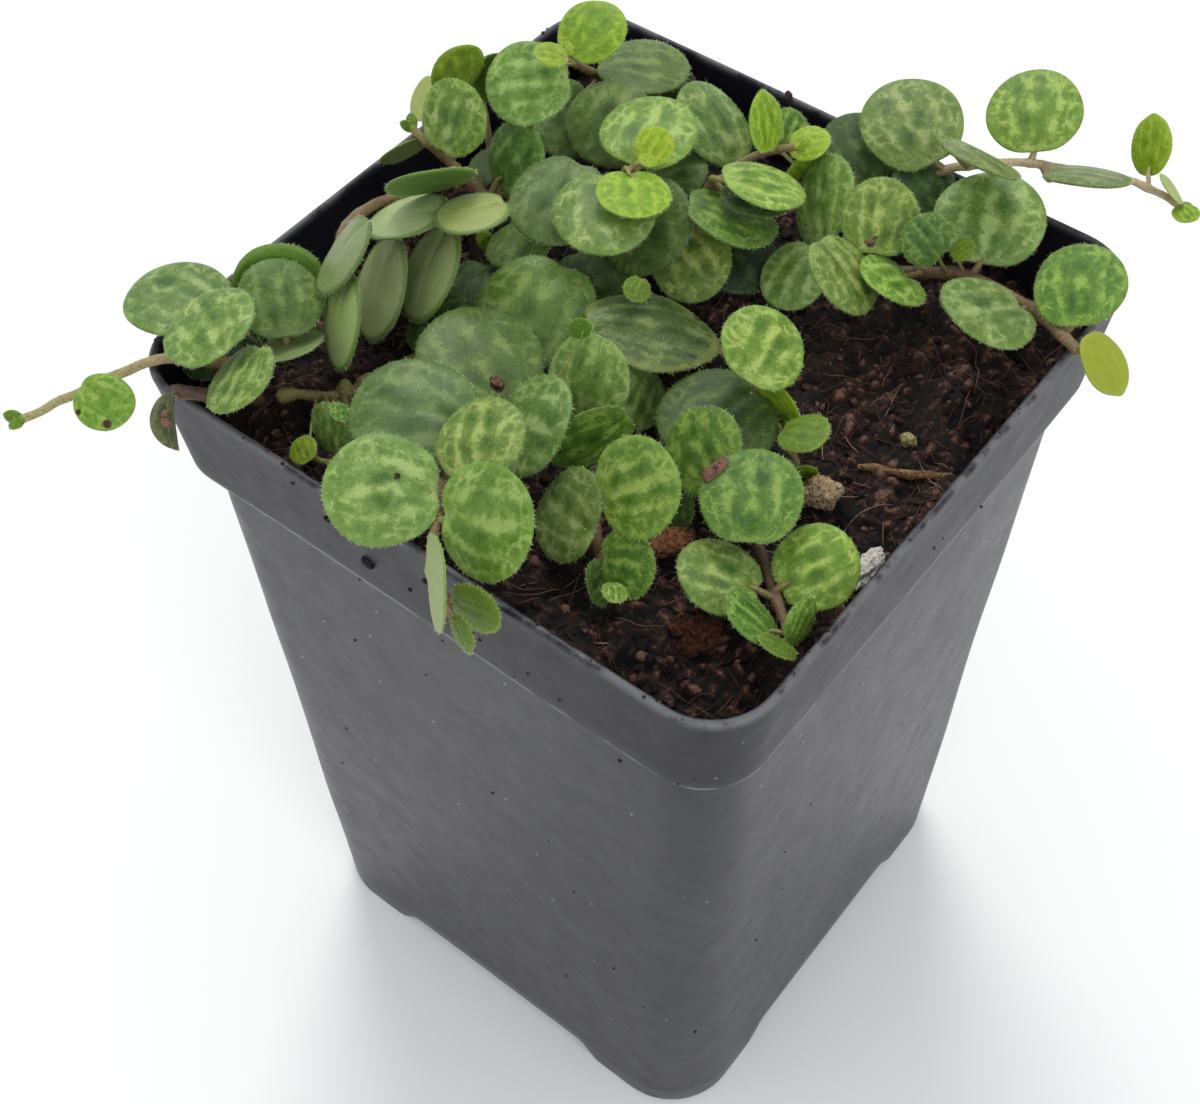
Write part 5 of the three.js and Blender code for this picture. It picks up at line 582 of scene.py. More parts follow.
("H18","front_left",0.46,(2.55,-40.61,128.57),(2.77,-40.91,128.93),(3.95,-39.8,129.12),(4.46,-39.68,130.15)),
("H15","front_left",0.44,(1.31,-39.15,127.68),(2.31,-39.19,127.76),(2.17,-34.43,130.18),(3.24,-34.64,132.44)),
("V8a","front_left",0.44,(6.17,-45.75,127.95),(6.75,-45.92,128.51),(7.35,-47.19,129.58),(7.54,-46.97,129.79)),
("B8","front_left",0.4,(-10.31,-6.36,119.67),(-12.53,-6.52,118.66),(-16.09,-10.06,120.01),(-19.96,-11.43,124.06)),
("B7","front_left",0.39,(-10.51,-4.77,119.65),(-12.3,-3.13,121.12),(-23.27,-1.62,119.7),(-24.39,-2.36,121.43)),
("V8b","front_left",0.29,(8.9,-46.39,125.49),(9.23,-46.42,125.84),(10.08,-46.42,126.78),(10.83,-46.89,127.31)),
("V8c","front_left",0.2,(8.9,-46.39,125.49),(9.84,-48.98,128.05),(12.63,-49.08,127),(12.59,-49.04,127.8)),
("H10","front_left",0.2,(-8.59,-18.63,120.29),(-1.12,-17.45,122.5),(-0.75,-11.38,129.89),(-0.96,-10.41,131.62)),
("H8","front_middle",0.46,(5.1,-15.12,119.79),(-1.21,-10.66,121.21),(-5.24,-5.37,125.76),(-3.31,-5.13,126.23)),
("H14","front_middle",0.46,(6.42,-17.79,119.84),(0.22,-19.5,121.88),(-2.22,-20.81,123.29),(-2.43,-21.96,125.34)),
("H21","front_middle",0.46,(17.01,-30.47,121.1),(18.07,-26.46,122.9),(17.45,-27.12,128.28),(16.69,-27.83,131.31)),
("H13","front_middle",0.46,(5.11,-15.08,119.76),(3.8,-15.47,120.56),(3.01,-13.89,122.12),(2.19,-14.19,122.21)),
("H22","front_middle",0.46,(15.17,-28.52,120.86),(15.3,-29.73,123.55),(15.14,-29.31,124.96),(14.69,-30.06,125.95)),
("H19","front_middle",0.46,(5.14,-14.97,119.67),(6.37,-16.29,120.01),(6.21,-14.51,126.21),(8.95,-16.71,127.6)),
("H20","front_middle",0.37,(5.08,-15.23,119.88),(3.8,-15.31,116.57),(2.25,-7.02,121.61),(4.5,-5.18,122.5)),
("H24","front_middle",0.34,(17.42,-30.86,121.16),(18.54,-30.65,123.39),(18.42,-29.79,124.46),(19.33,-31.74,125.82)),
("H25","front_middle",0.23,(18.62,-31.97,121.32),(18.51,-31.57,121.89),(18.47,-31.79,122.34),(18.97,-31.89,123.3)),
("H26","front_middle",0.2,(14.96,-28.26,120.83),(22.65,-30.99,120.68),(20.98,-34.34,120.36),(22.25,-34.55,125.95)),
("H5","front_right",0.46,(28.03,-16.43,120.69),(28.08,-17.29,124.29),(28.26,-19.19,122.5),(29.99,-20.63,126.58)),
("H4","front_right",0.45,(24.34,-14.71,120.27),(24.5,-15.87,121.49),(22.84,-15.94,125.6),(21.87,-15.43,126.69)),
("H28","front_right",0.43,(34.71,-22.02,121.86),(34.64,-21.67,122.34),(35.07,-20.76,122.55),(35.46,-20.3,122.71)),
("H27","front_right",0.43,(35.3,-22.55,122.01),(34.62,-23.11,122.49),(33.24,-23.07,122.57),(32.35,-23.63,123.13)),
("H29","front_right",0.33,(39.44,-26.22,123.21),(38.79,-27.15,123.47),(37.91,-27.01,123.52),(37.81,-27.6,123.59)),
("H30","front_right",0.25,(40.03,-26.74,123.4),(40.1,-27.04,123.65),(40.32,-26.86,123.96),(40.47,-26.99,124.27)),
("H23","front_right",0.23,(20.02,-12.32,119.89),(19.48,-12.62,120.63),(18.46,-16.58,121.44),(17.85,-17.17,121.98)),
("H29b","front_right",0.21,(40.03,-26.74,123.4),(38.26,-27.64,122.7),(41.87,-28.91,123.52),(41.67,-29.38,124.99)),
("H3","centre",0.46,(18.52,0.7,120.38),(17.49,-0.32,122.21),(15.29,-0.94,122.41),(17.13,-1.65,124.4)),
("H1","centre",0.45,(16.51,2.02,120.41),(17.13,3.31,128.5),(16.42,-2.25,130.47),(18.15,-3.51,130.94)),
("H2","centre",0.34,(18.52,0.7,120.38),(19.78,-0.65,124.24),(18.34,0.79,126.75),(18.8,-1.01,126.78)),
("H6","centre",0.27,(23.93,-2.67,119.83),(22.91,-4.29,122.93),(24.28,-4.58,125.47),(24.23,-4.56,125.97)),
("H9","centre",0.2,(2.07,7.39,119.46),(-4.21,6.04,123.21),(-5.96,5.1,125.65),(-1.86,1.28,129.1)),
("H7","centre",0.2,(25.29,-3.49,119.6),(25.6,-4.11,120.25),(25.95,-4.83,119.9),(26.2,-4.78,120.31)),
("L1","small_left",0.3,(-25.25,-29.03,119.9),(-25.49,-28.81,120.53),(-17.87,-36.56,121.81),(-18.3,-36.36,122.22)),
("L2","small_left",0.2,(-26.72,-30.22,120.13),(-26.31,-31.08,120.51),(-19.29,-39.24,122.47),(-19.12,-39.63,122.67)),
("L1b","small_left",0.2,(-26.72,-30.22,120.13),(-25.42,-28.79,120.89),(-17.34,-36.8,125.05),(-16.5,-35.62,127.77)),
("X1","cut",0.29,(-33.55,-44.53,128.66),(-33.11,-45.23,128.96),(-33.08,-45.81,128.85),(-32.7,-46.24,129.17)),
]
# stem: name, radius, rooted, path
STEMS = [
("small_left",0.8,1,[(-21.52,-16.49,119.8),(-22.02,-18.64,119.76),(-22.52,-20.79,119.73),(-22.98,-22.96,119.75),(-23.48,-25.11,119.74),(-24,-27.26,119.72),(-25.25,-29.03,119.9),(-26.95,-30.41,120.17),(-28.64,-31.77,120.6),(-29.82,-33.53,121)]),
("cut",0.85,0,[(-34.27,-44.93,128.58),(-32.26,-43.84,128.79),(-30.72,-42.35,128.11),(-30.56,-40.74,126.51),(-31.08,-39.35,124.75),(-31.57,-37.91,123),(-31.81,-36.37,121.29),(-31.8,-34.74,119.65)]),
("middle_back",0.6,1,[(-13.46,8.41,119.51),(-14.45,10.19,120.07),(-15.5,11.72,120.94),(-16.39,11.53,122.73),(-16.2,10.95,124.72),(-15.35,11,126.64),(-14.18,11.15,128.38),(-13.08,11.4,130.12),(-13.24,13.27,130.72),(-13.51,15.27,131.12),(-12.64,16.97,132)]),
("back_right",0.65,1,[(-2.12,14.72,119.54),(-3.17,16.53,119.92),(-4.21,18.33,120.37),(-5.15,19.84,121.45),(-5.65,20.34,123.38),(-5.82,20.29,125.5),(-6.09,20.65,127.57),(-5.37,21.31,129.34),(-4.71,23.13,129.48),(-5.22,25.13,129.04),(-5.02,27.15,128.92),(-3.81,28.66,129.72),(-2.2,29.47,130.82),(-0.4,29.62,131.93),(1.45,29.96,132.9)]),
("right",0.62,1,[(11.74,29.68,119.4),(11.06,31.76,119.69),(10.38,33.84,119.99),(9.71,35.91,120.35),(9.4,37.99,120.81),(9.98,39.92,121.65),(11,40.85,123.33),(12.39,41.09,124.99),(14.04,41.22,126.45),(15.59,41.61,127.96),(17.13,42.01,129.47),(18.84,41.68,130.8),(20.63,41.61,132.02),(22.13,43.11,132.02),(22.74,45.05,131.16),(23.6,46.91,130.39),(25.09,48.45,129.95),(26.91,49.64,129.6),(28.72,50.85,129.23),(30.51,52.08,128.86),(32.3,53.32,128.48),(34.1,54.54,128.1),(35.97,55.61,127.71),(38.01,56.26,127.14),(40.08,56.81,126.64),(42.19,57.02,126)]),
("left_wall",0.8,1,[(-29.17,-1.97,119.7),(-30.75,-1.97,121.14),(-32.09,-2.16,122.8),(-33.27,-2.54,124.55),(-34.36,-3.2,126.27),(-35.22,-4.03,128.03),(-35.67,-5.65,129.28),(-35.88,-7.64,130.07),(-35.79,-9.69,130.62),(-35.71,-11.8,130.97),(-35.35,-13.87,130.94),(-34.68,-15.86,130.53),(-33.74,-17.63,129.85),(-32.6,-19.23,129)]),
("back_left",0.55,0,[(-30.65,5.29,121.44),(-30.24,7.35,121.48),(-30.83,8.9,122.07),(-32.25,9.98,123.18),(-33.53,11.03,124.46),(-34.61,12.06,125.94),(-35.63,13.05,127.48),(-36.8,14.05,128.91),(-38.18,15.09,130.09),(-39.99,15.63,131)]),
("centre",0.6,1,[(1.58,7.54,119.43),(3.68,6.87,119.56),(5.77,6.19,119.71),(7.86,5.51,119.86),(9.95,4.84,120),(12.03,4.14,120.19),(14.11,3.43,120.39),(16.01,2.35,120.41),(17.85,1.14,120.39),(19.69,-0.07,120.35),(21.55,-1.24,120.19),(23.42,-2.37,119.91),(25.29,-3.49,119.6)]),
("left",0.72,1,[(-30.15,-23.64,124.09),(-30.08,-25.75,124.79),(-30.54,-27.94,124.95),(-31.47,-29.9,124.69),(-32.94,-31.51,124.19),(-33.94,-33.45,124.26),(-34.64,-35.29,125.22),(-35.46,-37.13,126.15),(-35.98,-38.83,127.51),(-36.81,-40.5,128.7),(-38.26,-42.1,129.22),(-39.64,-43.84,129.1),(-40.77,-45.72,128.64),(-41.98,-47.55,128.17),(-43.08,-49.42,127.62),(-44.16,-51.32,127.11),(-45.32,-53.18,126.75),(-46.12,-55.22,126.25),(-47.18,-57.18,126)]),
("front_left",0.7,1,[(-10.74,-3.18,119.58),(-10.42,-5.39,119.67),(-10.17,-7.62,119.65),(-9.87,-9.84,119.7),(-9.56,-12.06,119.78),(-9.24,-14.27,119.88),(-8.89,-16.48,120.02),(-8.58,-18.68,120.3),(-8.26,-20.87,120.67),(-7.92,-23.05,121.07),(-7.56,-25.22,121.49),(-7.13,-27.34,122.06),(-6.24,-29.27,122.68),(-5.03,-31.05,123.3),(-3.82,-32.78,124.04),(-2.61,-34.49,124.84),(-1.33,-36.09,125.73),(-0.01,-37.63,126.69),(1.31,-39.14,127.68),(2.61,-40.69,128.61),(3.82,-42.57,128.7),(5.04,-44.43,128.68),(6.36,-45.98,127.83),(7.98,-46.3,126.36),(9.6,-46.46,124.82),(11.26,-46.93,123.4)]),
("front_middle",0.7,1,[(5.42,-13.62,118.6),(5.07,-15.27,119.9),(6.09,-17.26,119.81),(7.27,-19.18,119.91),(8.49,-21.06,120.06),(10.02,-22.71,120.21),(11.55,-24.35,120.39),(13.08,-26,120.58),(14.52,-27.73,120.77),(15.95,-29.46,120.96),(17.57,-31,121.18),(19.22,-32.53,121.4)]),
("front_right",0.75,1,[(12.16,-6.85,119.77),(13.95,-8.08,119.77),(15.74,-9.32,119.77),(17.52,-10.56,119.79),(19.3,-11.81,119.86),(21.07,-13.06,119.95),(22.97,-14.08,120.13),(24.94,-14.98,120.33),(26.9,-15.89,120.54),(28.85,-16.82,120.8),(30.54,-18.13,121.04),(32.11,-19.61,121.3),(33.67,-21.1,121.59),(35.26,-22.52,122),(36.85,-23.94,122.42),(38.44,-25.34,122.89),(40.03,-26.74,123.4)]),
("small_left",0.5,0,[(-24.62,-28.13,119.81),(-23.02,-29.15,120.81),(-21.32,-30.43,120.33),(-19.61,-31.77,120.38),(-18.39,-33.57,120.56),(-17.4,-35.51,120.73),(-17.82,-37.62,121.08),(-19.54,-38.73,121.8)]),
("right_front",0.85,1,[(7.35,23.49,119.78),(9.13,24.88,119.88),(10.99,26.12,120.14),(12.95,27.11,120.61),(15.03,27.76,121.2),(17.11,28.32,121.86),(19.19,28.89,122.53),(21.25,29.55,123.17),(23.31,30.19,123.83),(25.37,30.72,124.57),(27.5,30.52,125.18),(29.6,30.02,125.82),(31.66,29.43,126.55),(33.68,28.67,127.18),(35.68,27.84,127.82),(37.67,27,128.47),(39.62,25.98,128.94),(41.6,24.97,129.34),(43.62,24,129.55),(45.68,23.09,129.6)]),
("back_left",0.75,1,[(-31.72,5.56,118.6),(-31.15,5.41,120.72),(-29.9,5.12,122.53),(-29.8,5.66,124.4),(-31.71,6.13,125.32),(-33.89,6.39,125.65),(-35.92,6.34,126.45),(-36.77,5.58,128.27),(-36.86,4.4,130.15),(-37.44,3.3,131.94),(-39.28,3.09,133.06)]),
("back",0.7,1,[(-26.39,36.18,119.5),(-27.86,35.95,121.01),(-29.23,35.61,122.6),(-30.27,34.84,124.22),(-30.96,33.41,125.63),(-31.49,31.95,127.07),(-32.03,30.48,128.51),(-32.63,29.07,129.98),(-33.11,27.63,131.46),(-33.92,26.42,133)]),
]

# ---------------------------------------------------------------- leaves
# per tone: dark patches, ground, pale veins, margin, strength of the drawing, young glow, roughness
TONES = {
    "M": dict(dark=(54, 86, 32), mid=(88, 116, 54), pale=(142, 160, 104), edge=(104, 138, 58), net=1.0, glow=0.10, rough=0.44),
    "MB": dict(dark=(62, 102, 32), mid=(96, 130, 50), pale=(150, 174, 100), edge=(112, 150, 48), net=1.05, glow=0.14, rough=0.44, blue=0.56),
    "O": dict(dark=(52, 80, 34), mid=(80, 106, 52), pale=(118, 138, 86), edge=(88, 118, 56), net=0.95, glow=0.06, rough=0.42, blue=0.56),
    "OD": dict(dark=(42, 68, 28), mid=(64, 90, 44), pale=(100, 120, 72), edge=(74, 100, 44), net=1.0, glow=0.05, rough=0.52, blue=0.56, warm=0.15),
    "OR": dict(dark=(34, 56, 26), mid=(58, 80, 44), pale=(98, 116, 78), edge=(118, 126, 60), net=1.0, glow=0.05, rough=0.46, band=0.6, specks=0.8),
    # D: painted shade, a darker copy of the mature tone for leaves lying in shade
    "D": dict(dark=(32, 54, 20), mid=(46, 72, 30), pale=(80, 104, 54), edge=(68, 98, 34), net=1.0, glow=0.07, rough=0.52),
    # P: its pale ground and veins are painted sheen, the bright reflection off upper faces turned to the light, and its
    # dark margin colour is painted shade on the leaf edge
    "P": dict(dark=(122, 140, 88), mid=(148, 162, 108), pale=(168, 178, 130), edge=(70, 104, 30), net=0.3, glow=0.05, rough=0.30, band=0.75, specks=0.12, warm=0.22, blue=0.66),
    # S: underside green, deepened with painted light shining through the leaf; its pale margin colour is a painted
    # highlight on the edge lit from above
    "S": dict(dark=(54, 96, 14), mid=(74, 116, 24), pale=(104, 142, 48), edge=(138, 170, 78), net=0.55, glow=0.22, rough=0.46, specks=0.3),
    "L": dict(dark=(118, 140, 76), mid=(140, 160, 94), pale=(160, 176, 118), edge=(150, 172, 100), net=0.35, glow=0.12, rough=0.46, specks=0.25),
    "Y": dict(dark=(78, 114, 12), mid=(104, 138, 26), pale=(146, 168, 64), edge=(148, 178, 56), net=0.9, glow=0.22, rough=0.46, blue=0.42),
    "YT": dict(dark=(116, 134, 34), mid=(132, 148, 44), pale=(150, 162, 68), edge=(150, 164, 60), net=0.25, glow=0.26, rough=0.44, specks=0.2),
    "YD": dict(dark=(60, 92, 14), mid=(82, 112, 26), pale=(118, 142, 50), edge=(120, 146, 46), net=0.6, glow=0.16, rough=0.46, blue=0.46),
    "YH": dict(dark=(70, 108, 26), mid=(100, 136, 42), pale=(146, 168, 88), edge=(112, 148, 44), net=1.05, glow=0.16, rough=0.44, specks=0.8, blue=0.5),
    # PG, PH and PD: the same painted sheen and edge shade, made lighter or darker leaf by leaf to follow how each leaf
    # is lit
    "PG": dict(dark=(118, 140, 82), mid=(140, 160, 104), pale=(160, 176, 126), edge=(70, 104, 30), net=0.35, glow=0.12, rough=0.36, band=0.75, specks=0.12, warm=0.2, blue=0.66),
    "PH": dict(dark=(140, 160, 100), mid=(164, 184, 124), pale=(184, 200, 148), edge=(84, 116, 40), net=0.35, glow=0.16, rough=0.36, band=0.75, specks=0.12, warm=0.2, blue=0.66),
    "PD": dict(dark=(88, 108, 58), mid=(108, 126, 76), pale=(126, 142, 96), edge=(66, 96, 30), net=0.4, glow=0.05, rough=0.36, band=0.75, specks=0.12, warm=0.1, blue=0.78),
    "MR": dict(dark=(42, 80, 24), mid=(72, 110, 42), pale=(124, 154, 82), edge=(98, 130, 50), net=1.0, glow=0.10, rough=0.52, blue=0.56, warm=0.15),
    "ML": dict(dark=(64, 102, 40), mid=(100, 134, 64), pale=(152, 178, 110), edge=(114, 148, 72), net=1.0, glow=0.12, rough=0.44, blue=0.7, warm=0.2),
    # DD: painted shade, a still darker copy for leaves hidden in shade under others
    "DD": dict(dark=(18, 34, 12), mid=(30, 48, 20), pale=(56, 76, 38), edge=(50, 74, 26), net=1.0, glow=0.05, rough=0.46),
    "MT": dict(dark=(52, 80, 30), mid=(80, 104, 50), pale=(122, 138, 88), edge=(98, 122, 60), net=0.95, glow=0.10, rough=0.46, specks=0.8),
    "YL": dict(dark=(100, 132, 20), mid=(124, 152, 34), pale=(156, 176, 74), edge=(148, 176, 50), net=0.9, glow=0.24, rough=0.44, specks=0.2, blue=0.42),
    "X": dict(dark=(58, 70, 42), mid=(86, 96, 66), pale=(112, 118, 90), edge=(88, 92, 62), net=1.0, glow=0.0, rough=0.7),
}


def leaf_material(tone, p):
    N = Nodes("leaf_" + tone)
    co = N.attr("leafco").outputs["Vector"]
    vr = N.attr("leafvar").outputs["Vector"]
    x, y, side = N.xyz(co)
    s1, s2, s3 = N.xyz(vr)
    seedv = N.vec(N.math("MULTIPLY", s1, 37.0), N.math("MULTIPLY", s2, 53.0), N.math("MULTIPLY", s3, 29.0))
    seeded = N.vmath("ADD", N.vec(x, y, 0.0), seedv)
    warp = N.noise(seeded, 1.9, 4.0, 0.62)
    wx, wy, wz = N.xyz(warp.outputs["Color"])
    xw = N.math("ADD", x, N.math("MULTIPLY", N.math("SUBTRACT", wx, 0.5), 0.46))
    yw = N.math("ADD", y, N.math("MULTIPLY", N.math("SUBTRACT", wy, 0.5), 0.46))
    rho = N.math("SQRT", N.math("ADD", N.math("MULTIPLY", x, x), N.math("MULTIPLY", y, y)))
    # veins run like meridians from the base to a point beyond the tip
    dyb = N.math("MAXIMUM", N.math("ADD", yw, 1.06), 0.02)
    dyt = N.math("MAXIMUM", N.math("SUBTRACT", 1.75, yw), 0.05)
    wid = N.math("MULTIPLY", N.math("SQRT", N.math("MULTIPLY", dyb, dyt)), 0.74)
    gap = N.math("ADD", 0.44, N.math("MULTIPLY", s3, 0.12))
    u = N.math("DIVIDE", N.math("DIVIDE", xw, wid), gap)
    du = N.math("ABSOLUTE", N.math("SUBTRACT", u, N.math("ROUND", u)))
    dl = N.math("MULTIPLY", N.math("MULTIPLY", du, gap), wid)
    mid = N.math("POWER", 2.718, N.math("MULTIPLY", N.math("MULTIPLY", u, u), -3.0))
    cloud = N.noise(seeded, 2.6, 4.0, 0.6)
    cl = N.smooth(cloud.outputs[0], 0.34, 0.66)
    patch = N.noise(seeded, 6.0, 4.0, 0.62)
    wv = N.math("ADD", 0.14, N.math("ADD", N.math("MULTIPLY", mid, 0.08), N.math("MULTIPLY", cl, 0.07)))
    vein = N.math("SUBTRACT", 1.0, N.smooth(dl, 0.0, wv))
    vein = N.math("MULTIPLY", vein, N.math("ADD", 0.50, N.math("MULTIPLY", cl, 0.50)))
    vein = N.math("MULTIPLY", vein, N.math("SUBTRACT", 1.0, N.math("MULTIPLY", N.smooth(rho, 0.50, 1.0), 0.55)))
    base = N.math("SUBTRACT", 1.0, N.smooth(dyb, 0.05, 0.62))
    vein = N.math("MAXIMUM", vein, N.math("MULTIPLY", N.math("MULTIPLY", base, 0.72), N.math("SUBTRACT", 1.0, N.smooth(N.math("ABSOLUTE", x), 0.10, 0.50))))
    # long dark patches between the veins, in rows, largest beside the middle one
    row = N.math("MULTIPLY", dyb, 1.45)
    cellv = N.vec(N.math("ADD", u, N.math("ROUND", N.math("MULTIPLY", s1, 40.0))), N.math("ADD", row, N.math("MULTIPLY", s2, 33.0)), 0.0)
    vor = N.voronoi(cellv, 1.0, "F1", 0.55, "2D")
    blob = N.math("SUBTRACT", 1.0, N.smooth(vor.outputs["Distance"], 0.08, 0.56))
    blob = N.math("MULTIPLY", blob, N.math("ADD", 0.42, N.math("MULTIPLY", mid, 0.75), clamp=True))
    blob = N.math("MULTIPLY", blob, N.math("SUBTRACT", 1.0, N.math("MULTIPLY", N.smooth(rho, 0.62, 0.95), 0.65)))
    blob = N.math("MULTIPLY", blob, N.math("ADD", 0.55, N.math("MULTIPLY", N.smooth(patch.outputs[0], 0.36, 0.6), 0.6)))
    # a soft broken net toward the margin
    netv = N.vec(N.math("MULTIPLY", u, 1.9), N.math("ADD", N.math("MULTIPLY", row, 2.3), N.math("MULTIPLY", s1, 50.0)), 0.0)
    vo2 = N.voronoi(netv, 1.0, "DISTANCE_TO_EDGE", 0.9, "2D")
    e1 = N.math("SUBTRACT", 1.0, N.smooth(vo2.outputs["Distance"], 0.0, 0.34))
    e1 = N.math("MULTIPLY", e1, N.math("ADD", 0.30, N.math("MULTIPLY", N.smooth(rho, 0.45, 0.85), 0.50)))
    e1 = N.math("MULTIPLY", e1, N.math("ADD", 0.35, N.math("MULTIPLY", cl, 0.75)))
    level = N.math("SUBTRACT", 0.42, N.math("MULTIPLY", blob, 0.52))
    level = N.math("ADD", level, N.math("MULTIPLY", N.math("MAXIMUM", vein, e1), 0.64))
    level = N.math("ADD", level, N.math("MULTIPLY", N.math("SUBTRACT", cloud.outputs[0], 0.5), 0.65))
    level = N.math("ADD", level, N.math("MULTIPLY", N.math("SUBTRACT", patch.outputs[0], 0.5), 0.80))
    grain = N.noise(seeded, 26.0, 4.0, 0.7)
    level = N.math("ADD", level, N.math("MULTIPLY", N.math("SUBTRACT", grain.outputs[0], 0.5), 1.0))
    level = N.math("ADD", N.math("MULTIPLY", N.math("SUBTRACT", level, 0.45), p["net"] * 0.86), 0.45, clamp=True)
    col = N.mix(N.smooth(level, 0.0, 0.46), lin(*p["dark"]), lin(*p["mid"]))
    col = N.mix(N.smooth(level, 0.42, 0.98), col, lin(*p["pale"]))
    # slow change of hue over the leaf, and from leaf to leaf
    slow = N.noise(seeded, 1.1, 2.0, 0.5)
    warm = N.math("MULTIPLY", N.smooth(slow.outputs[0], 0.42, 0.72), p.get("warm", 0.30))
    col = N.mix(warm, col, N.mix(1.0, col, (1.14, 1.05, 0.62, 1), "MULTIPLY"))
    bright = N.math("ADD", 0.86, N.math("MULTIPLY", s2, 0.28))
    col = N.mix(1.0, col, N.vec(N.math("MULTIPLY", bright, N.math("ADD", 0.94, N.math("MULTIPLY", s1, 0.14))), bright, N.math("ADD", p.get("blue", 0.64), N.math("MULTIPLY", s3, 0.30))), "MULTIPLY")
    # painted glints: pin points of highlight that lighten the colour in the paler parts
    glint_noise = N.noise(seeded, 52.0, 2.0, 0.75)
    painted_glint = N.math("MULTIPLY", N.smooth(glint_noise.outputs[0], 0.54, 0.68), N.smooth(level, 0.22, 0.70))
    col = N.mix(N.math("MULTIPLY", painted_glint, 0.55), col, N.mix(1.0, col, (2.0, 1.85, 2.2, 1), "MULTIPLY"))
    # margin: a narrow band of the tone's margin colour, which on the pale sheen tones is painted shade and on S a
    # painted highlight; the very rim is darkened with painted shade, standing in for the shaded edge of the leaf
    edge = N.smooth(rho, 0.88, 0.98)
    col = N.mix(N.math("MULTIPLY", edge, p.get("band", 0.42)), col, lin(*p["edge"]))
    # painted shade on the edge of the leaf's thickness
    rim = N.math("SUBTRACT", 1.0, N.smooth(N.math("ABSOLUTE", side), 0.55, 0.98))
    col = N.mix(N.math("MULTIPLY", rim, 0.62), col, N.mix(1.0, col, (0.38, 0.46, 0.34, 1), "MULTIPLY"))
    # small dark specks, in groups
    spk = N.voronoi(seeded, 6.5, "F1", 1.0, "3D")
    group = N.noise(seeded, 1.7, 2.0, 0.5)
    thr = N.math("SUBTRACT", 1.02, N.math("MULTIPLY", N.smooth(group.outputs[0], 0.38, 0.66), p.get("specks", 0.66)))
    pick = N.math("GREATER_THAN", N.xyz(spk.outputs["Color"])[0], thr)
    dot = N.math("MULTIPLY", N.math("SUBTRACT", 1.0, N.smooth(spk.outputs["Distance"], 0.06, 0.13)), pick)
    topside = N.smooth(side, -0.2, 0.4)
    dot = N.math("MULTIPLY", N.math("MULTIPLY", dot, 0.9), topside)
    # underside: paler, plainer
    pu = [int(0.55 * a + 0.45 * b) for a, b in zip(p["pale"], (134, 150, 96))]
    under = N.mix(N.math("MULTIPLY", level, 0.5), lin(*[int(0.82 * a) for a in pu]), lin(*pu))
    if tone in ("S", "Y", "YT", "YD", "YL", "L", "X", "P", "PG", "PH", "PD", "MT"):
        under = N.mix(0.75, under, col)
    col = N.mix(topside, under, col)
    col = N.mix(dot, col, (0.010, 0.009, 0.006, 1))
    # marks: dead, bitten or scarred tissue painted from the vertices
    mark = N.attr("mark").outputs["Fac"]
    mk = N.smooth(N.math("ADD", mark, N.math("MULTIPLY", N.math("SUBTRACT", grain.outputs[0], 0.5), 0.5)), 0.35, 0.65)
    col = N.mix(mk, col, lin(54, 32, 20))
    hgt = N.math("ADD", N.math("MULTIPLY", level, -0.35), N.math("ADD", N.math("MULTIPLY", grain.outputs[0], 0.45), N.math("MULTIPLY", patch.outputs[0], 0.25)))
    fine = N.noise(seeded, 62.0, 2.0, 0.6)
    b1 = N.bump(hgt, 0.55, 0.00018)
    b2 = N.bump(fine.outputs[0], 0.45, 0.00005, b1)
    rough = N.math("ADD", p["rough"], N.math("MULTIPLY", N.math("SUBTRACT", cloud.outputs[0], 0.5), 0.25))
    # smoother where the painted glints are
    rough = N.math("SUBTRACT", rough, N.math("MULTIPLY", painted_glint, 0.16))
    bs = N.principled(col, rough, b2, **{"Specular IOR Level": 0.30, "Sheen Weight": 0.05, "Sheen Roughness": 0.4,
                                        "Subsurface Weight": p["glow"] + 0.03, "Subsurface Scale": 0.0008})
    bs.inputs["Subsurface Radius"].default_value = (0.6, 1.0, 0.15)
    bs.inputs["Sheen Tint"].default_value = (0.85, 1.0, 0.75, 1)
    return N.mat


def hair_material(name, rgb):
    N = Nodes(name)
    nz = N.noise(N.position(), 900.0, 1.0, 0.5)
    col = N.mix(nz.outputs[0], lin(*rgb), lin(*[min(255, int(c * 1.12)) for c in rgb]))
    N.principled(col, 0.5, None, **{"Specular IOR Level": 0.3, "Subsurface Weight": 0.2, "Subsurface Scale": 0.0003})
    return N.mat


LEAF_MATS = {t: leaf_material(t, p) for t, p in TONES.items()}
HAIR_LIGHT = hair_material("hair_light", (190, 205, 150))
HAIR_GREEN = hair_material("hair_green", (150, 178, 96))
HAIR_TAN = hair_material("hair_tan", (176, 150, 112))

FUZZ = {"M": 1.0, "MT": 1.0, "DD": 0.7, "MR": 1.0, "ML": 1.0, "PG": 0.8, "PH": 0.8, "PD": 0.8, "MB": 1.0, "O": 0.8, "OD": 0.7, "OR": 0.8, "D": 0.7, "P": 0.5, "S": 0.9, "L": 0.7, "Y": 1.1, "YT": 0.5, "YL": 0.9, "YD": 0.9, "YH": 0.8, "X": 0.4}


def leaf_basis(n, b):
    n = unit(n)
    y = -np.asarray(b, float)
    y = unit(y - n * (y @ n))
    return np.cross(y, n), y, n


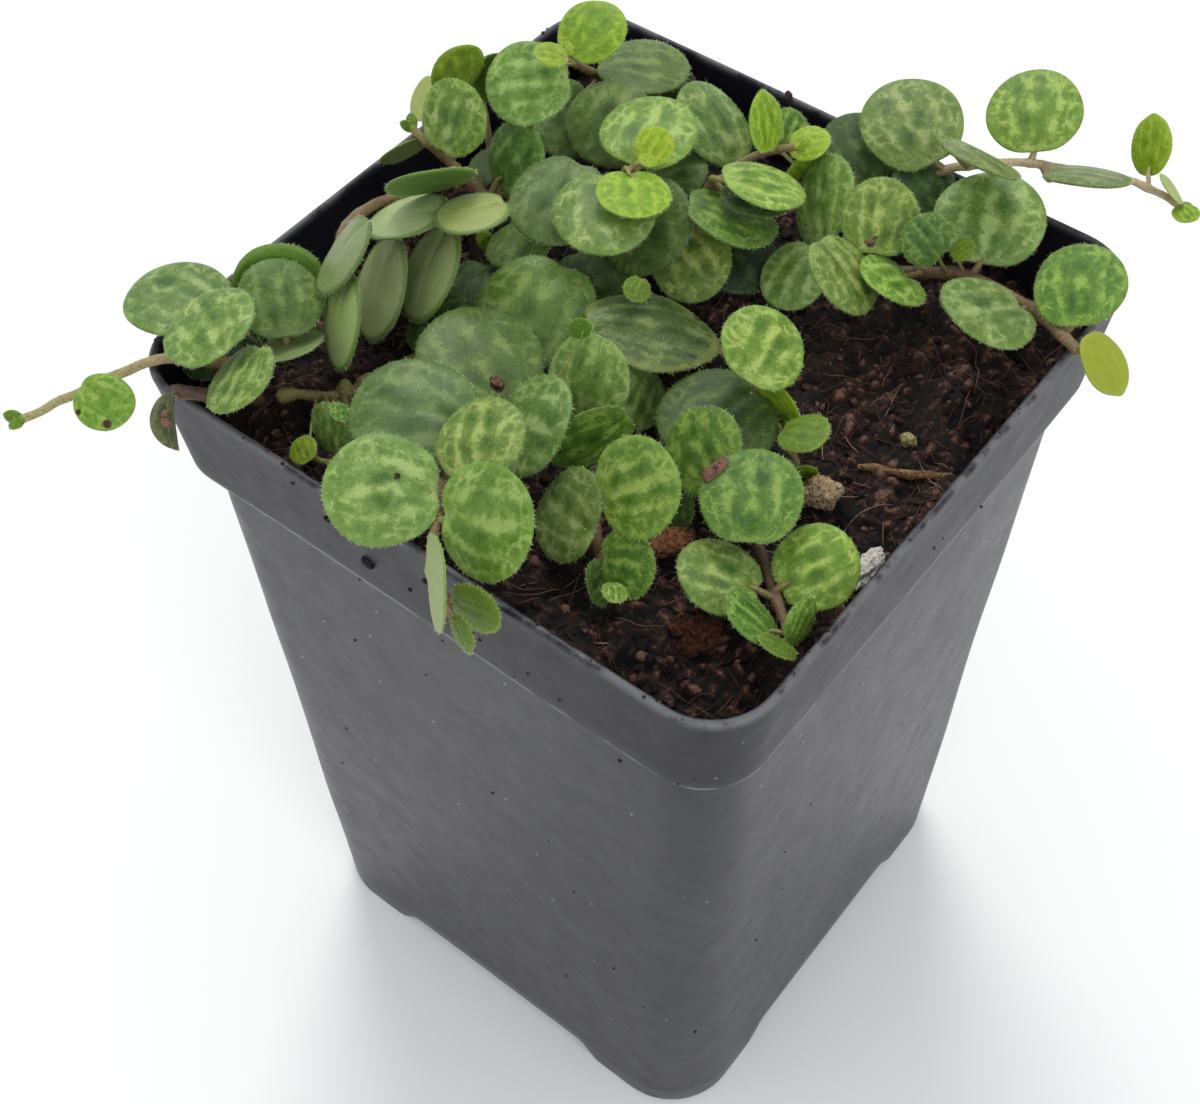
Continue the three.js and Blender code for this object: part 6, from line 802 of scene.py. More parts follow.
def leaf_shape(lid, tone, P, n, b, R, q, h, t):
    """Everything that says where a point of the leaf lies: returns a function (rho, theta, side) -> point."""
    rs = rng("leaf", lid)
    ex, ey, ez = leaf_basis(n, b)
    P = np.asarray(P, float)
    c = rs.uniform(-1, 1, 12)
    notch = 0.085 if q < 1.15 else 0.03
    tip = 0.0 if q < 1.15 else 0.07

    def outline(th):
        d = (th + math.pi / 2 + math.pi) % (2 * math.pi) - math.pi
        o = 1 - notch * np.exp(-(d / 0.26) ** 2) + 0.02 * np.exp(-((np.abs(d) - 0.62) / 0.35) ** 2)
        e = (th - math.pi / 2 + math.pi) % (2 * math.pi) - math.pi
        o = o + tip * np.exp(-(e / 0.22) ** 2)
        o = o + 0.014 * np.sin(2 * th + 3 * c[0]) + 0.012 * np.sin(3 * th + 3 * c[1]) + 0.006 * np.sin(5 * th + 3 * c[2])
        if tone == "OR":
            o = o + 0.035 * np.cos(4 * th + 0.6)
        return o

    def at(rho, th, side, puff=0.0):
        o = outline(th)
        x = rho * (R / q) * np.cos(th) * o
        y = rho * R * np.sin(th) * o
        top = h * (1 - rho ** 2)
        top = top - 0.055 * R * np.exp(-((x / (0.20 * R)) ** 2 + ((y + 0.86 * R) / (0.24 * R)) ** 2))
        top = top - 0.022 * R * np.exp(-(x / (0.10 * R)) ** 2) * np.clip(0.9 - y / R, 0, 1) * np.clip(rho * 3, 0, 1)
        wob = 0.018 * R * (rho ** 2) * (np.sin(2 * th + 3 * c[3]) + 0.6 * np.sin(3 * th + 3 * c[4]))
        if tone in ("O", "OD", "OR", "D", "M"):
            wob = wob - 0.02 * R * rho ** 6
        thick = t * (0.45 + 0.55 * (1 - rho ** 2))
        z = top + wob - thick * (1 - side) * 0.5 + puff
        if tone == "X":
            z = z + 1.1 * np.abs(x) - 0.05 * y * y / R
            x = x * 0.62
        return P + x[..., None] * ex + y[..., None] * ey + z[..., None] * ez, x / (R / q), y / R

    return at, (ex, ey, ez)


def marks(lid, x, y):
    """Scars and bites, in the leaf's own plane (base at y = -1)."""
    m = np.zeros_like(x)
    for key, cx, cy, r in MARKS:
        if key == lid:
            m = np.maximum(m, np.clip(1.4 - np.hypot(x - cx, y - cy) / r, 0, 1))
    return m


MARKS = [("H12", -0.01, -0.58, 0.13), ("H13", 0.44, -0.58, 0.11), ("F4", -0.13, -0.70, 0.12), ("H17", 0.22, -0.26, 0.05), ("T1", 0.61, 0.50, 0.17), ("T1", 0.75, -0.55, 0.12),
         ("H8", -0.55, 0.72, 0.07), ("H8", 0.62, 0.60, 0.06), ("F6", 0.2, 0.86, 0.05), ("H25", 0.4, 0.3, 0.12)]


def add_leaf(bag, row, mat0, hair0):
    lid, node, vine, tone, P, n, b, R, q, h, t = row
    rs = rng("v", lid)
    na = 72 if R > 5 else (56 if R > 3 else 40)
    nr = 11 if R > 5 else (9 if R > 3 else 6)
    at, (ex, ey, ez) = leaf_shape(lid, tone, P, n, b, R, q, h, t)
    th = np.arange(na) * 2 * math.pi / na
    rr = (np.arange(1, nr + 1) / nr) ** 0.9
    RR, TH = np.meshgrid(rr, th, indexing="ij")
    top, tx, ty = at(RR, TH, np.ones_like(RR))
    bot, bx, by = at(RR, TH, -np.ones_like(RR))
    # rounded rim
    one = np.ones(na)
    rim_v, rim_x, rim_y = [], [], []
    for k in (0.5, 0.0, -0.5):
        p, x_, y_ = at(one * (1 + 0.22 * t / R * math.sqrt(1 - (k * 1.2) ** 2 * 0.6)), th, k * one)
        rim_v.append(p)
        rim_x.append(x_)
        rim_y.append(y_)
    ct, _, _ = at(np.zeros(1), np.zeros(1), np.ones(1))
    cb, _, _ = at(np.zeros(1), np.zeros(1), -np.ones(1))
    v = np.vstack([top.reshape(-1, 3)] + rim_v + [bot[::-1].reshape(-1, 3), ct, cb])
    X = np.concatenate([tx.ravel()] + rim_x + [bx[::-1].ravel(), [0, 0]])
    Y = np.concatenate([ty.ravel()] + rim_y + [by[::-1].ravel(), [0, 0]])
    S = np.concatenate([np.ones(nr * na), 0.7 * one, 0 * one, -0.5 * one, -np.ones(nr * na), [1, -1]])
    rows = 2 * nr + 3
    i, j = np.meshgrid(np.arange(rows - 1), np.arange(na), indexing="ij")
    j2 = (j + 1) % na
    f = np.stack([i * na + j, (i + 1) * na + j, (i + 1) * na + j2, i * na + j2], -1).reshape(-1, 4)
    k = np.arange(na)
    k2 = (k + 1) % na
    e = rows * na
    f = np.vstack([f, np.stack([np.full(na, e), k, k2, np.full(na, -1)], -1),
                   np.stack([np.full(na, e + 1), (rows - 1) * na + k2, (rows - 1) * na + k, np.full(na, -1)], -1)])
    lv = np.tile(rs.uniform(0, 1, 3), (len(v), 1))
    bag.add(v, f, mat0, True, leafco=np.stack([X, Y, S], -1), leafvar=lv, mark=marks(lid, X, Y))
    # hairs: a fringe round the margin, and a short nap on both faces
    fz = FUZZ[tone]
    circ = 2 * math.pi * R * (0.5 + 0.5 / q)
    m_ = int(circ * 5.6 * fz)
    a = rs.uniform(0, 2 * math.pi, m_)
    sd = rs.uniform(-0.9, 0.9, m_)
    p0, _, _ = at(np.full(m_, 1.0) + 0.1 * t / R, a, sd)
    pin, _, _ = at(np.full(m_, 0.9), a, sd)
    out = unit(p0 - pin)
    d = out + ez * (sd * 0.55 + rs.normal(0, 0.35, m_))[:, None] + np.cross(out, ez) * rs.normal(0, 0.35, m_)[:, None]
    ln = rs.uniform(0.20, 0.52, m_) * (0.75 + 0.05 * R)
    sv, sf = spikes(p0 - out * 0.05, d, ln, np.full(m_, 0.030))
    bag.add(sv, sf, hair0, False)
    area = math.pi * R * R / q
    m_ = int(area * 2.2 * fz)
    rho = np.sqrt(rs.uniform(0.0, 0.98, m_))
    a = rs.uniform(0, 2 * math.pi, m_)
    p0, _, _ = at(rho, a, np.ones(m_))
    d = ez + rs.normal(0, 0.35, (m_, 3))
    sv, sf = spikes(p0, d, rs.uniform(0.08, 0.22, m_), np.full(m_, 0.020))
    bag.add(sv, sf, hair0, False)
    m_ = int(area * 0.6 * fz)
    rho = np.sqrt(rs.uniform(0.0, 0.98, m_))
    a = rs.uniform(0, 2 * math.pi, m_)
    p0, _, _ = at(rho, a, -np.ones(m_))
    d = -ez + rs.normal(0, 0.35, (m_, 3))
    sv, sf = spikes(p0, d, rs.uniform(0.08, 0.2, m_), np.full(m_, 0.014))
    bag.add(sv, sf, hair0, False)


SLOT = {"M": "leaf_mature", "MB": "leaf_mature", "O": "leaf_dull", "OD": "leaf_dull", "OR": "leaf_dull", "D": "leaf_dark", "P": "leaf_sheen"}
by_vine = {}
for row in LEAVES:
    if row[1]:
        bag = Bag()
        add_leaf(bag, row, 0, 1)
        ob = bag.build("look_" + row[1], [LEAF_MATS[row[3]], HAIR_GREEN if row[3] in ("P",) else HAIR_LIGHT], SLOT.get(row[3], "leaf_mature"))
        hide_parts(row[1])
    else:
        by_vine.setdefault(row[2], []).append(row)
for vine, rows in by_vine.items():
    tones = sorted({r[3] for r in rows})
    bag = Bag()
    for r in rows:
        add_leaf(bag, r, tones.index(r[3]), len(tones))
    bag.build("small_leaves_" + vine, [LEAF_MATS[t] for t in tones] + [HAIR_LIGHT], "leaf_mature")

def ico(level):
    import bmesh
    bm = bmesh.new()
    bmesh.ops.create_icosphere(bm, subdivisions=level, radius=1.0)
    v = np.array([x.co[:] for x in bm.verts])
    f = np.array([[q.index for q in x.verts] for x in bm.faces])
    bm.free()
    return v, f


ICO = {k: ico(k) for k in (1, 2, 3, 4, 5)}


def lump(rs, size, level, rough=0.35, freq=1.3, seed=0):
    v, f = ICO[level]
    n = vnoise3(v * freq + rs.uniform(0, 90, 3), seed + 3) + 0.5 * vnoise3(v * freq * 2.3 + rs.uniform(0, 90, 3), seed + 4)
    w = v * (1 + rough * 1.6 * n)[:, None]
    q, _ = np.linalg.qr(rs.normal(size=(3, 3)))
    if np.linalg.det(q) < 0:
        q[:, 0] *= -1
    return (w @ q) * np.asarray(size), f


# ---------------------------------------------------------------- stems and leaf stalks
def stem_material(name):
    N = Nodes(name)
    age = N.attr("age").outputs["Fac"]
    pos = N.position()
    n1 = N.noise(pos, 420.0, 4.0, 0.6)
    n2 = N.noise(pos, 2600.0, 3.0, 0.6)
    a = N.math("ADD", age, N.math("MULTIPLY", N.math("SUBTRACT", n1.outputs[0], 0.5), 0.55), clamp=True)
    ramp = N.n("ShaderNodeValToRGB")
    N.put(ramp.inputs[0], a)
    cr = ramp.color_ramp
    stops = [(0.0, (134, 150, 70)), (0.25, (140, 134, 82)), (0.45, (126, 108, 74)), (0.62, (102, 80, 58)), (0.8, (80, 62, 48)), (1.0, (58, 45, 37))]
    cr.elements[0].position, cr.elements[0].color = stops[0][0], lin(*stops[0][1])
    cr.elements[1].position, cr.elements[1].color = stops[-1][0], lin(*stops[-1][1])
    for ps, c in stops[1:-1]:
        el = cr.elements.new(ps)
        el.color = lin(*c)
    cream = N.attr("cream").outputs["Fac"]
    col = N.mix(cream, ramp.outputs[0], lin(184, 166, 132))
    strk = N.noise(N.vmath("MULTIPLY", pos, (900.0, 900.0, 900.0)), 1.0, 5.0, 0.7)
    col = N.mix(N.math("MULTIPLY", N.smooth(strk.outputs[0], 0.50, 0.66), 0.45), col, N.mix(1.0, col, (1.55, 1.45, 1.15, 1), "MULTIPLY"))
    col = N.mix(N.math("MULTIPLY", N.smooth(n2.outputs[0], 0.50, 0.66), 0.55), col, N.mix(1.0, col, (0.36, 0.30, 0.26, 1), "MULTIPLY"))
    b1 = N.bump(N.math("ADD", N.math("MULTIPLY", n1.outputs[0], 1.0), N.math("ADD", N.math("MULTIPLY", n2.outputs[0], 0.5), N.math("MULTIPLY", strk.outputs[0], 0.6))), 0.9, 0.0003)
    N.principled(col, 0.5, b1, **{"Specular IOR Level": 0.4, "Subsurface Weight": 0.12, "Subsurface Scale": 0.0008})
    return N.mat


STEM_MAT = stem_material("stem_bark")
# how old each stem looks at its root and at its tip: 0 yellow-green, 1 dark brown
AGE = {"left": (0.9, 0.12), "left_wall": (0.85, 0.4), "back_left": (0.85, 0.35), "back": (0.85, 0.5), "middle_back": (0.85, 0.3),
       "back_right": (0.85, 0.35), "right": (0.8, 0.3), "right_front": (0.85, 0.45), "front_left": (0.8, 0.45), "front_middle": (0.9, 0.6),
       "front_right": (0.9, 0.55), "centre": (0.8, 0.3), "small_left": (0.75, 0.2), "cut": (0.85, 0.75)}
CURVES = {}
# tiny leaflets at the growing tips: stem, spread, half lengths, tone
TIPS = {"left": ((1.1, 0.95, 0.8), "YD"), "back_left": ((1.05, 0.95, 0.85, 0.75), "YD"), "back_right": ((1.25, 0.95, 0.8), "YL"), "right": ((1.2, 0.9, 0.8), "YD")}
stem_bags = {}


def surface_hairs(path, radius, per_mm, length, rs, hr=0.016):
    seg = np.linalg.norm(np.diff(path, axis=0), axis=1)
    L = np.concatenate([[0], np.cumsum(seg)])
    n = int(L[-1] * per_mm)
    if n < 1:
        return None
    s = rs.uniform(0, L[-1], n)
    t, a, b = frames(path)
    P = np.stack([np.interp(s, L, path[:, k]) for k in range(3)], -1)
    A = unit(np.stack([np.interp(s, L, a[:, k]) for k in range(3)], -1))
    T = unit(np.stack([np.interp(s, L, t[:, k]) for k in range(3)], -1))
    B = np.cross(T, A)
    rr = np.interp(s, L, np.broadcast_to(radius, (len(path),)))
    th = rs.uniform(0, 2 * math.pi, n)
    d = np.cos(th)[:, None] * A + np.sin(th)[:, None] * B
    base = P + d * (rr * 0.93)[:, None]
    return spikes(base, d + T * rs.normal(0, 0.35, n)[:, None] + rs.normal(0, 0.2, (n, 3)), rs.uniform(0.5, 1.2, n) * length, np.full(n, hr))


for i, (vine, r, rooted, pts) in enumerate(STEMS):
    rs = rng("stem", vine, i)
    P = np.array(pts, float)
    if rooted:
        p = P[0]
        P = np.vstack([[p[0], p[1], 112.0], [p[0], p[1], p[2] - 2.2], [p[0], p[1], p[2] - 1.0], P])
    C = smooth_path(P, 0.45)
    seg = np.linalg.norm(np.diff(C, axis=0), axis=1)
    L = np.concatenate([[0], np.cumsum(seg)])
    CURVES.setdefault(vine, []).append((C, L, r))
    u = L / L[-1]
    # swollen where the stalks leave
    swell = np.zeros(len(C))
    for s in STALKS:
        if s[1] == vine:
            d = np.linalg.norm(C - np.array(s[3]), axis=1)
            swell = np.maximum(swell, np.exp(-(d / (1.1 * r)) ** 2) * (d.min() < 1.0))
    rad = r * (0.94 - 0.22 * u ** 2) * (1 + 0.20 * swell) * (1 + 0.10 * vnoise(L * 0.9, np.zeros_like(L) + i, 5))
    if rooted:
        rad = rad * (1 + 0.25 * np.exp(-((L - 2) / 2.5) ** 2))
    if vine == "small_left" and rooted:
        rad = rad * (1 + 0.75 * np.exp(-((L - L[-1] + 1.0) / 1.1) ** 2) + 1.15 * np.exp(-((u - 0.60) / 0.055) ** 2)) * (1 + 0.25 * vnoise(L * 2.2, np.zeros_like(L), 7))
    sides = 14
    th = np.arange(sides) * 2 * math.pi / sides
    rad2 = rad[:, None] * (1 + 0.10 * vnoise(np.cos(th)[None, :] * 1.6 + L[:, None] * 0.35, np.sin(th)[None, :] * 1.6 + i, 9))
    v, f = tube(C, rad2, sides)
    a0, a1 = AGE[vine]
    if not rooted and vine != "cut":
        a0 = 0.5 * (a0 + a1)
    age = a0 + (a1 - a0) * u ** 0.8
    av = np.concatenate([np.repeat(age, sides), [age[0], age[-1]]])
    bag = stem_bags.setdefault(vine, Bag())
    cr_ = {"right": 0.95, "left": 0.4}.get(vine, 0.0) * np.clip((u - (0.36 if vine == "right" else 0.55)) / 0.12, 0, 1)
    bag.add(v, f, 0, True, age=av, cream=np.concatenate([np.repeat(cr_, sides), [cr_[0], cr_[-1]]]))
    hv = surface_hairs(C, rad, 10.0, 0.38, rs, 0.024)
    bag.add(hv[0], hv[1], 1, False)

for lid, vine, r, c0, c1, c2, c3 in STALKS:
    rs = rng("stalk", lid)
    row = next(x for x in LEAVES if x[0] == lid)
    n = unit(row[5])
    c = [np.array(k, float) for k in (c0, c1, c2, c3)]
    if row[1]:
        c[3] = c[3] + n * (0.36 + r - 0.02)
        c[2] = c[2] + n * 0.25
    C = bezier(c, 18)
    L = np.concatenate([[0], np.cumsum(np.linalg.norm(np.diff(C, axis=0), axis=1))])
    u = L / max(L[-1], 1e-6)
    rad = r * (0.92 + 0.40 * (1 - u) ** 4) * (1 - u ** 5) + 0.13 * u ** 5
    v, f = tube(C, rad, 10)
    a0, a1 = AGE[vine]
    young = row[3] in ("Y", "YL", "YT", "YD", "S", "L", "YH", "MB")
    age = (0.52 if young else 0.62) * (1 - u) + (0.16 if young else 0.28) * u
    age = age * (0.6 + 0.5 * a1)
    if lid == "H10":
        rad, age = rad * 0.72, age * 0.25
        v, f = tube(C, rad, 10)
    bag = stem_bags[vine]
    bag.add(v, f, 0, True, age=np.concatenate([np.repeat(age, 10), [age[0], age[-1]]]), cream=np.full(len(v), 0.6 if vine == "right" and lid[0] == "R" else 0.0))
    hv = surface_hairs(C, rad, 6.0, 0.30, rs, 0.020)
    if hv is not None:
        bag.add(hv[0], hv[1], 1, False)

rs = rng("knot")
for dx, dy, dz, size, ag in ((0.0, 0.2, 0.55, (1.35, 1.0, 0.95), 0.30), (0.9, 0.6, 0.75, (0.9, 0.75, 0.8), 0.38), (-0.6, 0.9, 0.9, (0.8, 0.7, 0.7), 0.75), (0.5, -0.5, 0.5, (0.7, 0.5, 0.5), 0.9), (-0.2, 0.5, 1.3, (0.75, 0.7, 0.55), 0.26), (1.3, 0.1, 0.3, (0.6, 0.5, 0.5), 0.85)):
    v, f = lump(rs, size, 3, 0.30, 1.2)
    stem_bags["small_left"].add(v + np.array((-24.42 + dx, -27.86 + dy, 119.78 + dz)), f, 0, True, age=np.full(len(v), ag), cream=np.zeros(len(v)))

for vine, (sizes, tn) in TIPS.items():
    C, L, r = CURVES[vine][-1]
    tip, d = C[-1], unit(C[-1] - C[-4])
    rs = rng("tip", vine)
    bag = Bag()
    for k, R_ in enumerate(sizes):
        a = k * 2.2 + 0.6
        sd = unit(np.cross(d, [0.1, 0.2, 1.0]))
        up = unit(np.cross(sd, d))
        dirn = unit(d + 0.75 * (math.cos(a) * sd + math.sin(a) * up))
        nn = unit(np.cross(np.cross(dirn, [0.35, -0.45, 0.82]), dirn) * -1.0)
        if nn @ np.array([0.35, -0.45, 0.82]) < 0:
            nn = -nn
        add_leaf(bag, ("tip_%s_%d" % (vine, k), "", vine, tn, tuple(tip + dirn * R_ * 0.9), tuple(nn), tuple(-dirn), R_, 1.55, 0.12, 0.45), 0, 1)
    v, f = ICO[2]
    bag.add(v * (r * 0.8) + tip, f, 0, True, leafco=np.zeros((len(v), 3)) + [0, 0, 1], leafvar=np.full((len(v), 3), 0.5), mark=np.zeros(len(v)))
    bag.build("tip_leaflets_" + vine, [LEAF_MATS[tn], HAIR_LIGHT], "leaf_mature")

for vine, bag in stem_bags.items():
    node = "cut_stem" if vine == "cut" else "stem_" + vine
    ob = bag.build("look_" + node, [STEM_MAT, HAIR_TAN], "stem")
    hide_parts(node)

# ---------------------------------------------------------------- soil
TOP_HALF, TOP_CORNER = 44.45, 8.33
SOIL_Z = 117.0


def soil_height(x, y):
    z = SOIL_Z + 0.35 * np.sin(0.31 * x + 0.17 * y + 0.6) + 0.3 * np.sin(-0.22 * x + 0.38 * y + 2.1) + 0.2 * np.sin(0.55 * x - 0.29 * y + 4.0)
    z = z + 1.9 * vnoise(x / 9.0, y / 9.0, 11) + 1.7 * vnoise(x / 3.7 + 5, y / 3.7, 12) + 1.3 * vnoise(x / 1.6, y / 1.6, 13)
    z = z + 0.75 * vnoise(x / 0.75, y / 0.75, 14) + 0.35 * vnoise(x / 0.4, y / 0.4, 15)
    r2 = vnoise(x / 1.05 + 3, y / 1.05, 21)
    z = z + 0.9 * np.clip(np.abs(r2) * 2.2 - 0.35, 0, 0.8) * (vnoise(x / 5.5, y / 5.5 + 2, 22) > -0.15)
    w = worley(x / 2.1 + 0.7 * vnoise(x / 1.3, y / 1.3, 18), y / 2.1 + 0.7 * vnoise(x / 1.3 + 9, y / 1.3, 19), 16)
    z = z - 0.9 * np.clip(w - 0.30, 0, 1) ** 1.5
    d = np.maximum(np.abs(x), np.abs(y))
    z = z - 0.5 * np.clip((d - 37) / 5, 0, 1) ** 2
    return z + 0.5


def squircle(U, V, half, corner):
    x, y = U * half, V * half
    flat = half - corner
    ax, ay = np.abs(x), np.abs(y)
    inc = (ax > flat) & (ay > flat)
    a = np.clip((ax - flat) / corner, 0, 1)
    b = np.clip((ay - flat) / corner, 0, 1)
    xx = np.where(inc, flat + corner * a * np.sqrt(np.maximum(1 - b * b / 2, 0)), ax)
    yy = np.where(inc, flat + corner * b * np.sqrt(np.maximum(1 - a * a / 2, 0)), ay)
    return np.sign(x) * xx, np.sign(y) * yy


def soil_material():
    N = Nodes("soil_mix")
    pos = N.position()
    tint = N.attr("tint").outputs["Fac"]
    n1 = N.noise(pos, 160.0, 4.0, 0.6)
    n2 = N.noise(pos, 900.0, 5.0, 0.65)
    n3 = N.noise(pos, 3800.0, 3.0, 0.6)
    v1 = N.voronoi(pos, 900.0, "F1", 1.0)
    a = N.math("ADD", N.math("MULTIPLY", n2.outputs[0], 0.9), N.math("MULTIPLY", n3.outputs[0], 0.45))
    a = N.math("ADD", a, N.math("MULTIPLY", N.math("SUBTRACT", n1.outputs[0], 0.5), 0.7))
    # tint carries the soil's own tone plus painted shade: darker in hollows and under crumbs, lighter on their tops
    a = N.math("ADD", a, N.math("MULTIPLY", tint, 0.62))
    ramp = N.n("ShaderNodeValToRGB")
    N.put(ramp.inputs[0], a)
    cr = ramp.color_ramp
    cr.elements[0].position, cr.elements[0].color = 0.40, (0.0028, 0.0020, 0.0020, 1)
    cr.elements[1].position, cr.elements[1].color = 1.02, (0.20, 0.105, 0.070, 1)
    for ps, c in ((0.62, (0.0062, 0.0036, 0.0032, 1)), (0.78, (0.022, 0.0100, 0.0072, 1)), (0.90, (0.074, 0.030, 0.019, 1))):
        el = cr.elements.new(ps)
        el.color = c
    cellc = N.xyz(v1.outputs["Color"])[0]
    soft = N.math("SUBTRACT", 1.0, N.smooth(v1.outputs["Distance"], 0.10, 0.46))
    soft = N.math("MULTIPLY", soft, N.smooth(n3.outputs[0], 0.40, 0.62))
    col = N.mix(N.math("MULTIPLY", N.math("MULTIPLY", N.smooth(cellc, 0.74, 0.95), soft), 0.75), ramp.outputs[0], (0.20, 0.105, 0.072, 1))
    bh = N.math("ADD", N.math("MULTIPLY", n2.outputs[0], 0.7), N.math("MULTIPLY", n3.outputs[0], 0.5))
    b1 = N.bump(bh, 1.0, 0.0006)
    rough = N.math("ADD", 0.62, N.math("MULTIPLY", n2.outputs[0], 0.3))
    N.principled(col, rough, b1, **{"Specular IOR Level": 0.35})
    return N.mat


SOIL_MAT = soil_material()
bag = Bag()
NG = 250
U, V = np.meshgrid(np.linspace(-1, 1, NG), np.linspace(-1, 1, NG), indexing="ij")
X, Y = squircle(U, V, 42.62, 7.4)
Z = soil_height(X, Y)
rim = np.maximum(np.abs(U), np.abs(V)) > 0.999
v = np.stack([X, Y, Z], -1).reshape(-1, 3)
i, j = np.meshgrid(np.arange(NG - 1), np.arange(NG - 1), indexing="ij")
f = np.stack([i * NG + j, (i + 1) * NG + j, (i + 1) * NG + j + 1, i * NG + j + 1], -1).reshape(-1, 4)
loop = [k * NG for k in range(NG)] + [(NG - 1) * NG + k for k in range(1, NG)] + [k * NG + NG - 1 for k in range(NG - 2, -1, -1)] + [k for k in range(NG - 2, 0, -1)]
loop = np.array(loop)
nl = len(loop)
ring0 = v[loop]
rings = [v]
skirt = []
prev = loop
count = len(v)
for half, corner, z in ((42.3, 7.2, 112.0), (39.2, 7.0, 109.6), (36.3, 8.2, 6.6), (34.6, 8.0, 5.05)):
    x, y = squircle(U.reshape(-1)[loop], V.reshape(-1)[loop], half, corner)
    rings.append(np.stack([x, y, np.full(nl, z)], -1))
    cur = np.arange(count, count + nl)
    count += nl
    k = np.arange(nl)
    k2 = (k + 1) % nl
    skirt.append(np.stack([prev[k], cur[k], cur[k2], prev[k2]], -1))
    prev = cur
rings.append(np.array([[0, 0, 5.05]]))
k = np.arange(nl)
k2 = (k + 1) % nl
last = np.stack([prev[k2], prev[k], np.full(nl, count), np.full(nl, -1)], -1)
allv = np.vstack(rings)
faces = np.vstack([f, *skirt, last])
# painted shade and light: the soil is coloured darker in its hollows and lighter on the tops of its lumps, from the
# height above a smoothed copy
low = Z.copy()
for _ in range(14):
    pd = np.pad(low, 1, "edge")
    low = (pd[1:-1, 1:-1] + pd[:-2, 1:-1] + pd[2:, 1:-1] + pd[1:-1, :-2] + pd[1:-1, 2:]) / 5
lift = np.zeros(len(allv))
lift[:NG * NG] = np.clip((Z - low).ravel() / 0.55, -1, 1)
bag.add(allv, faces, 0, True, tint=0.16 * vnoise(allv[:, 0] / 5, allv[:, 1] / 5, 31) + 0.42 * lift)
soil = bag.build("look_soil", [SOIL_MAT], "soil_mix")
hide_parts("soil")

# crumbs and clumps lying on the soil
def inside_pot(x, y, margin):
    half, corner = 42.4 - margin, max(7.3 - margin, 0.5)
    flat = half - corner
    dx, dy = np.abs(x) - flat, np.abs(y) - flat
    return (np.hypot(np.maximum(dx, 0), np.maximum(dy, 0)) <= corner)


rs = rng("crumbs")
bag = Bag()
n = 2300
xs, ys = rs.uniform(-42.3, 42.3, n), rs.uniform(-42.3, 42.3, n)
dens = vnoise(xs / 6.0, ys / 6.0, 41) + 0.5
keep = inside_pot(xs, ys, 0.4) & (rs.uniform(0, 1, n) < 0.35 + 0.9 * dens)
xs, ys = xs[keep], ys[keep]
for x, y in zip(xs, ys):
    r = 0.16 + 0.62 * rs.uniform() ** 3.2
    lv = 1 if r < 0.42 else 2
    s = r * rs.uniform(0.6, 1.3, 3)
    v, f = lump(rs, s, lv, 0.62, 1.7)
    z = float(soil_height(np.array([x]), np.array([y]))[0])
    # tint: a random tone per crumb plus painted light, lighter on each crumb's top and darker beneath
    bag.add(v + [x, y, z + 0.15 * r], f, 0, True, tint=np.full(len(v), rs.normal(0.12, 0.24)) + 0.15 * v[:, 2] / max(r, 0.1))
crumbs = bag.build("soil_crumbs", [SOIL_MAT], "soil_mix")

# fibres and rootlets
def fibre_material():
    N = Nodes("soil_fibre")
    tint = N.attr("tint").outputs["Fac"]
    nz = N.noise(N.position(), 1500.0, 3.0, 0.6)
    a = N.math("ADD", tint, N.math("MULTIPLY", N.math("SUBTRACT", nz.outputs[0], 0.5), 0.4), clamp=True)
    ramp = N.n("ShaderNodeValToRGB")
    N.put(ramp.inputs[0], a)
    cr = ramp.color_ramp
    cr.elements[0].position, cr.elements[0].color = 0.0, (0.010, 0.005, 0.004, 1)
    cr.elements[1].position, cr.elements[1].color = 1.0, (0.42, 0.33, 0.24, 1)
    for ps, c in ((0.35, (0.042, 0.018, 0.012, 1)), (0.6, (0.115, 0.048, 0.030, 1)), (0.8, (0.21, 0.125, 0.08, 1))):
        el = cr.elements.new(ps)
        el.color = c
    N.principled(ramp.outputs[0], 0.6, N.bump(nz.outputs[0], 0.6, 0.0002), **{"Specular IOR Level": 0.3})
    return N.mat


FIBRE_MAT = fibre_material()


def fibre(bag, rs, x, y, ang, length, r, tint, lift=0.15, curl=0.25, sides=4):
    k = max(4, int(length / 0.7) + 2)
    s = np.linspace(0, length, k)
    a = ang + np.cumsum(rs.normal(0, curl, k)) * 0.7
    px = x + np.concatenate([[0], np.cumsum(np.cos(a[:-1]) * np.diff(s))])
    py = y + np.concatenate([[0], np.cumsum(np.sin(a[:-1]) * np.diff(s))])
    ok = inside_pot(px, py, 0.35)
    px, py = px[ok], py[ok]
    if len(px) < 3:
        return
    z = soil_height(px, py)
    z = np.convolve(np.pad(z, 1, "edge"), [0.25, 0.5, 0.25], "valid") + lift + 0.25 * np.sin(np.linspace(0, math.pi, len(px))) * rs.uniform(0, 1.2)
    path = np.stack([px, py, z], -1)
    rad = r * (0.5 + 0.6 * np.sin(np.linspace(0.25, math.pi - 0.25, len(px))))
    v, f = tube(path, rad, sides)
    bag.add(v, f, 0, True, tint=np.full(len(v), tint))


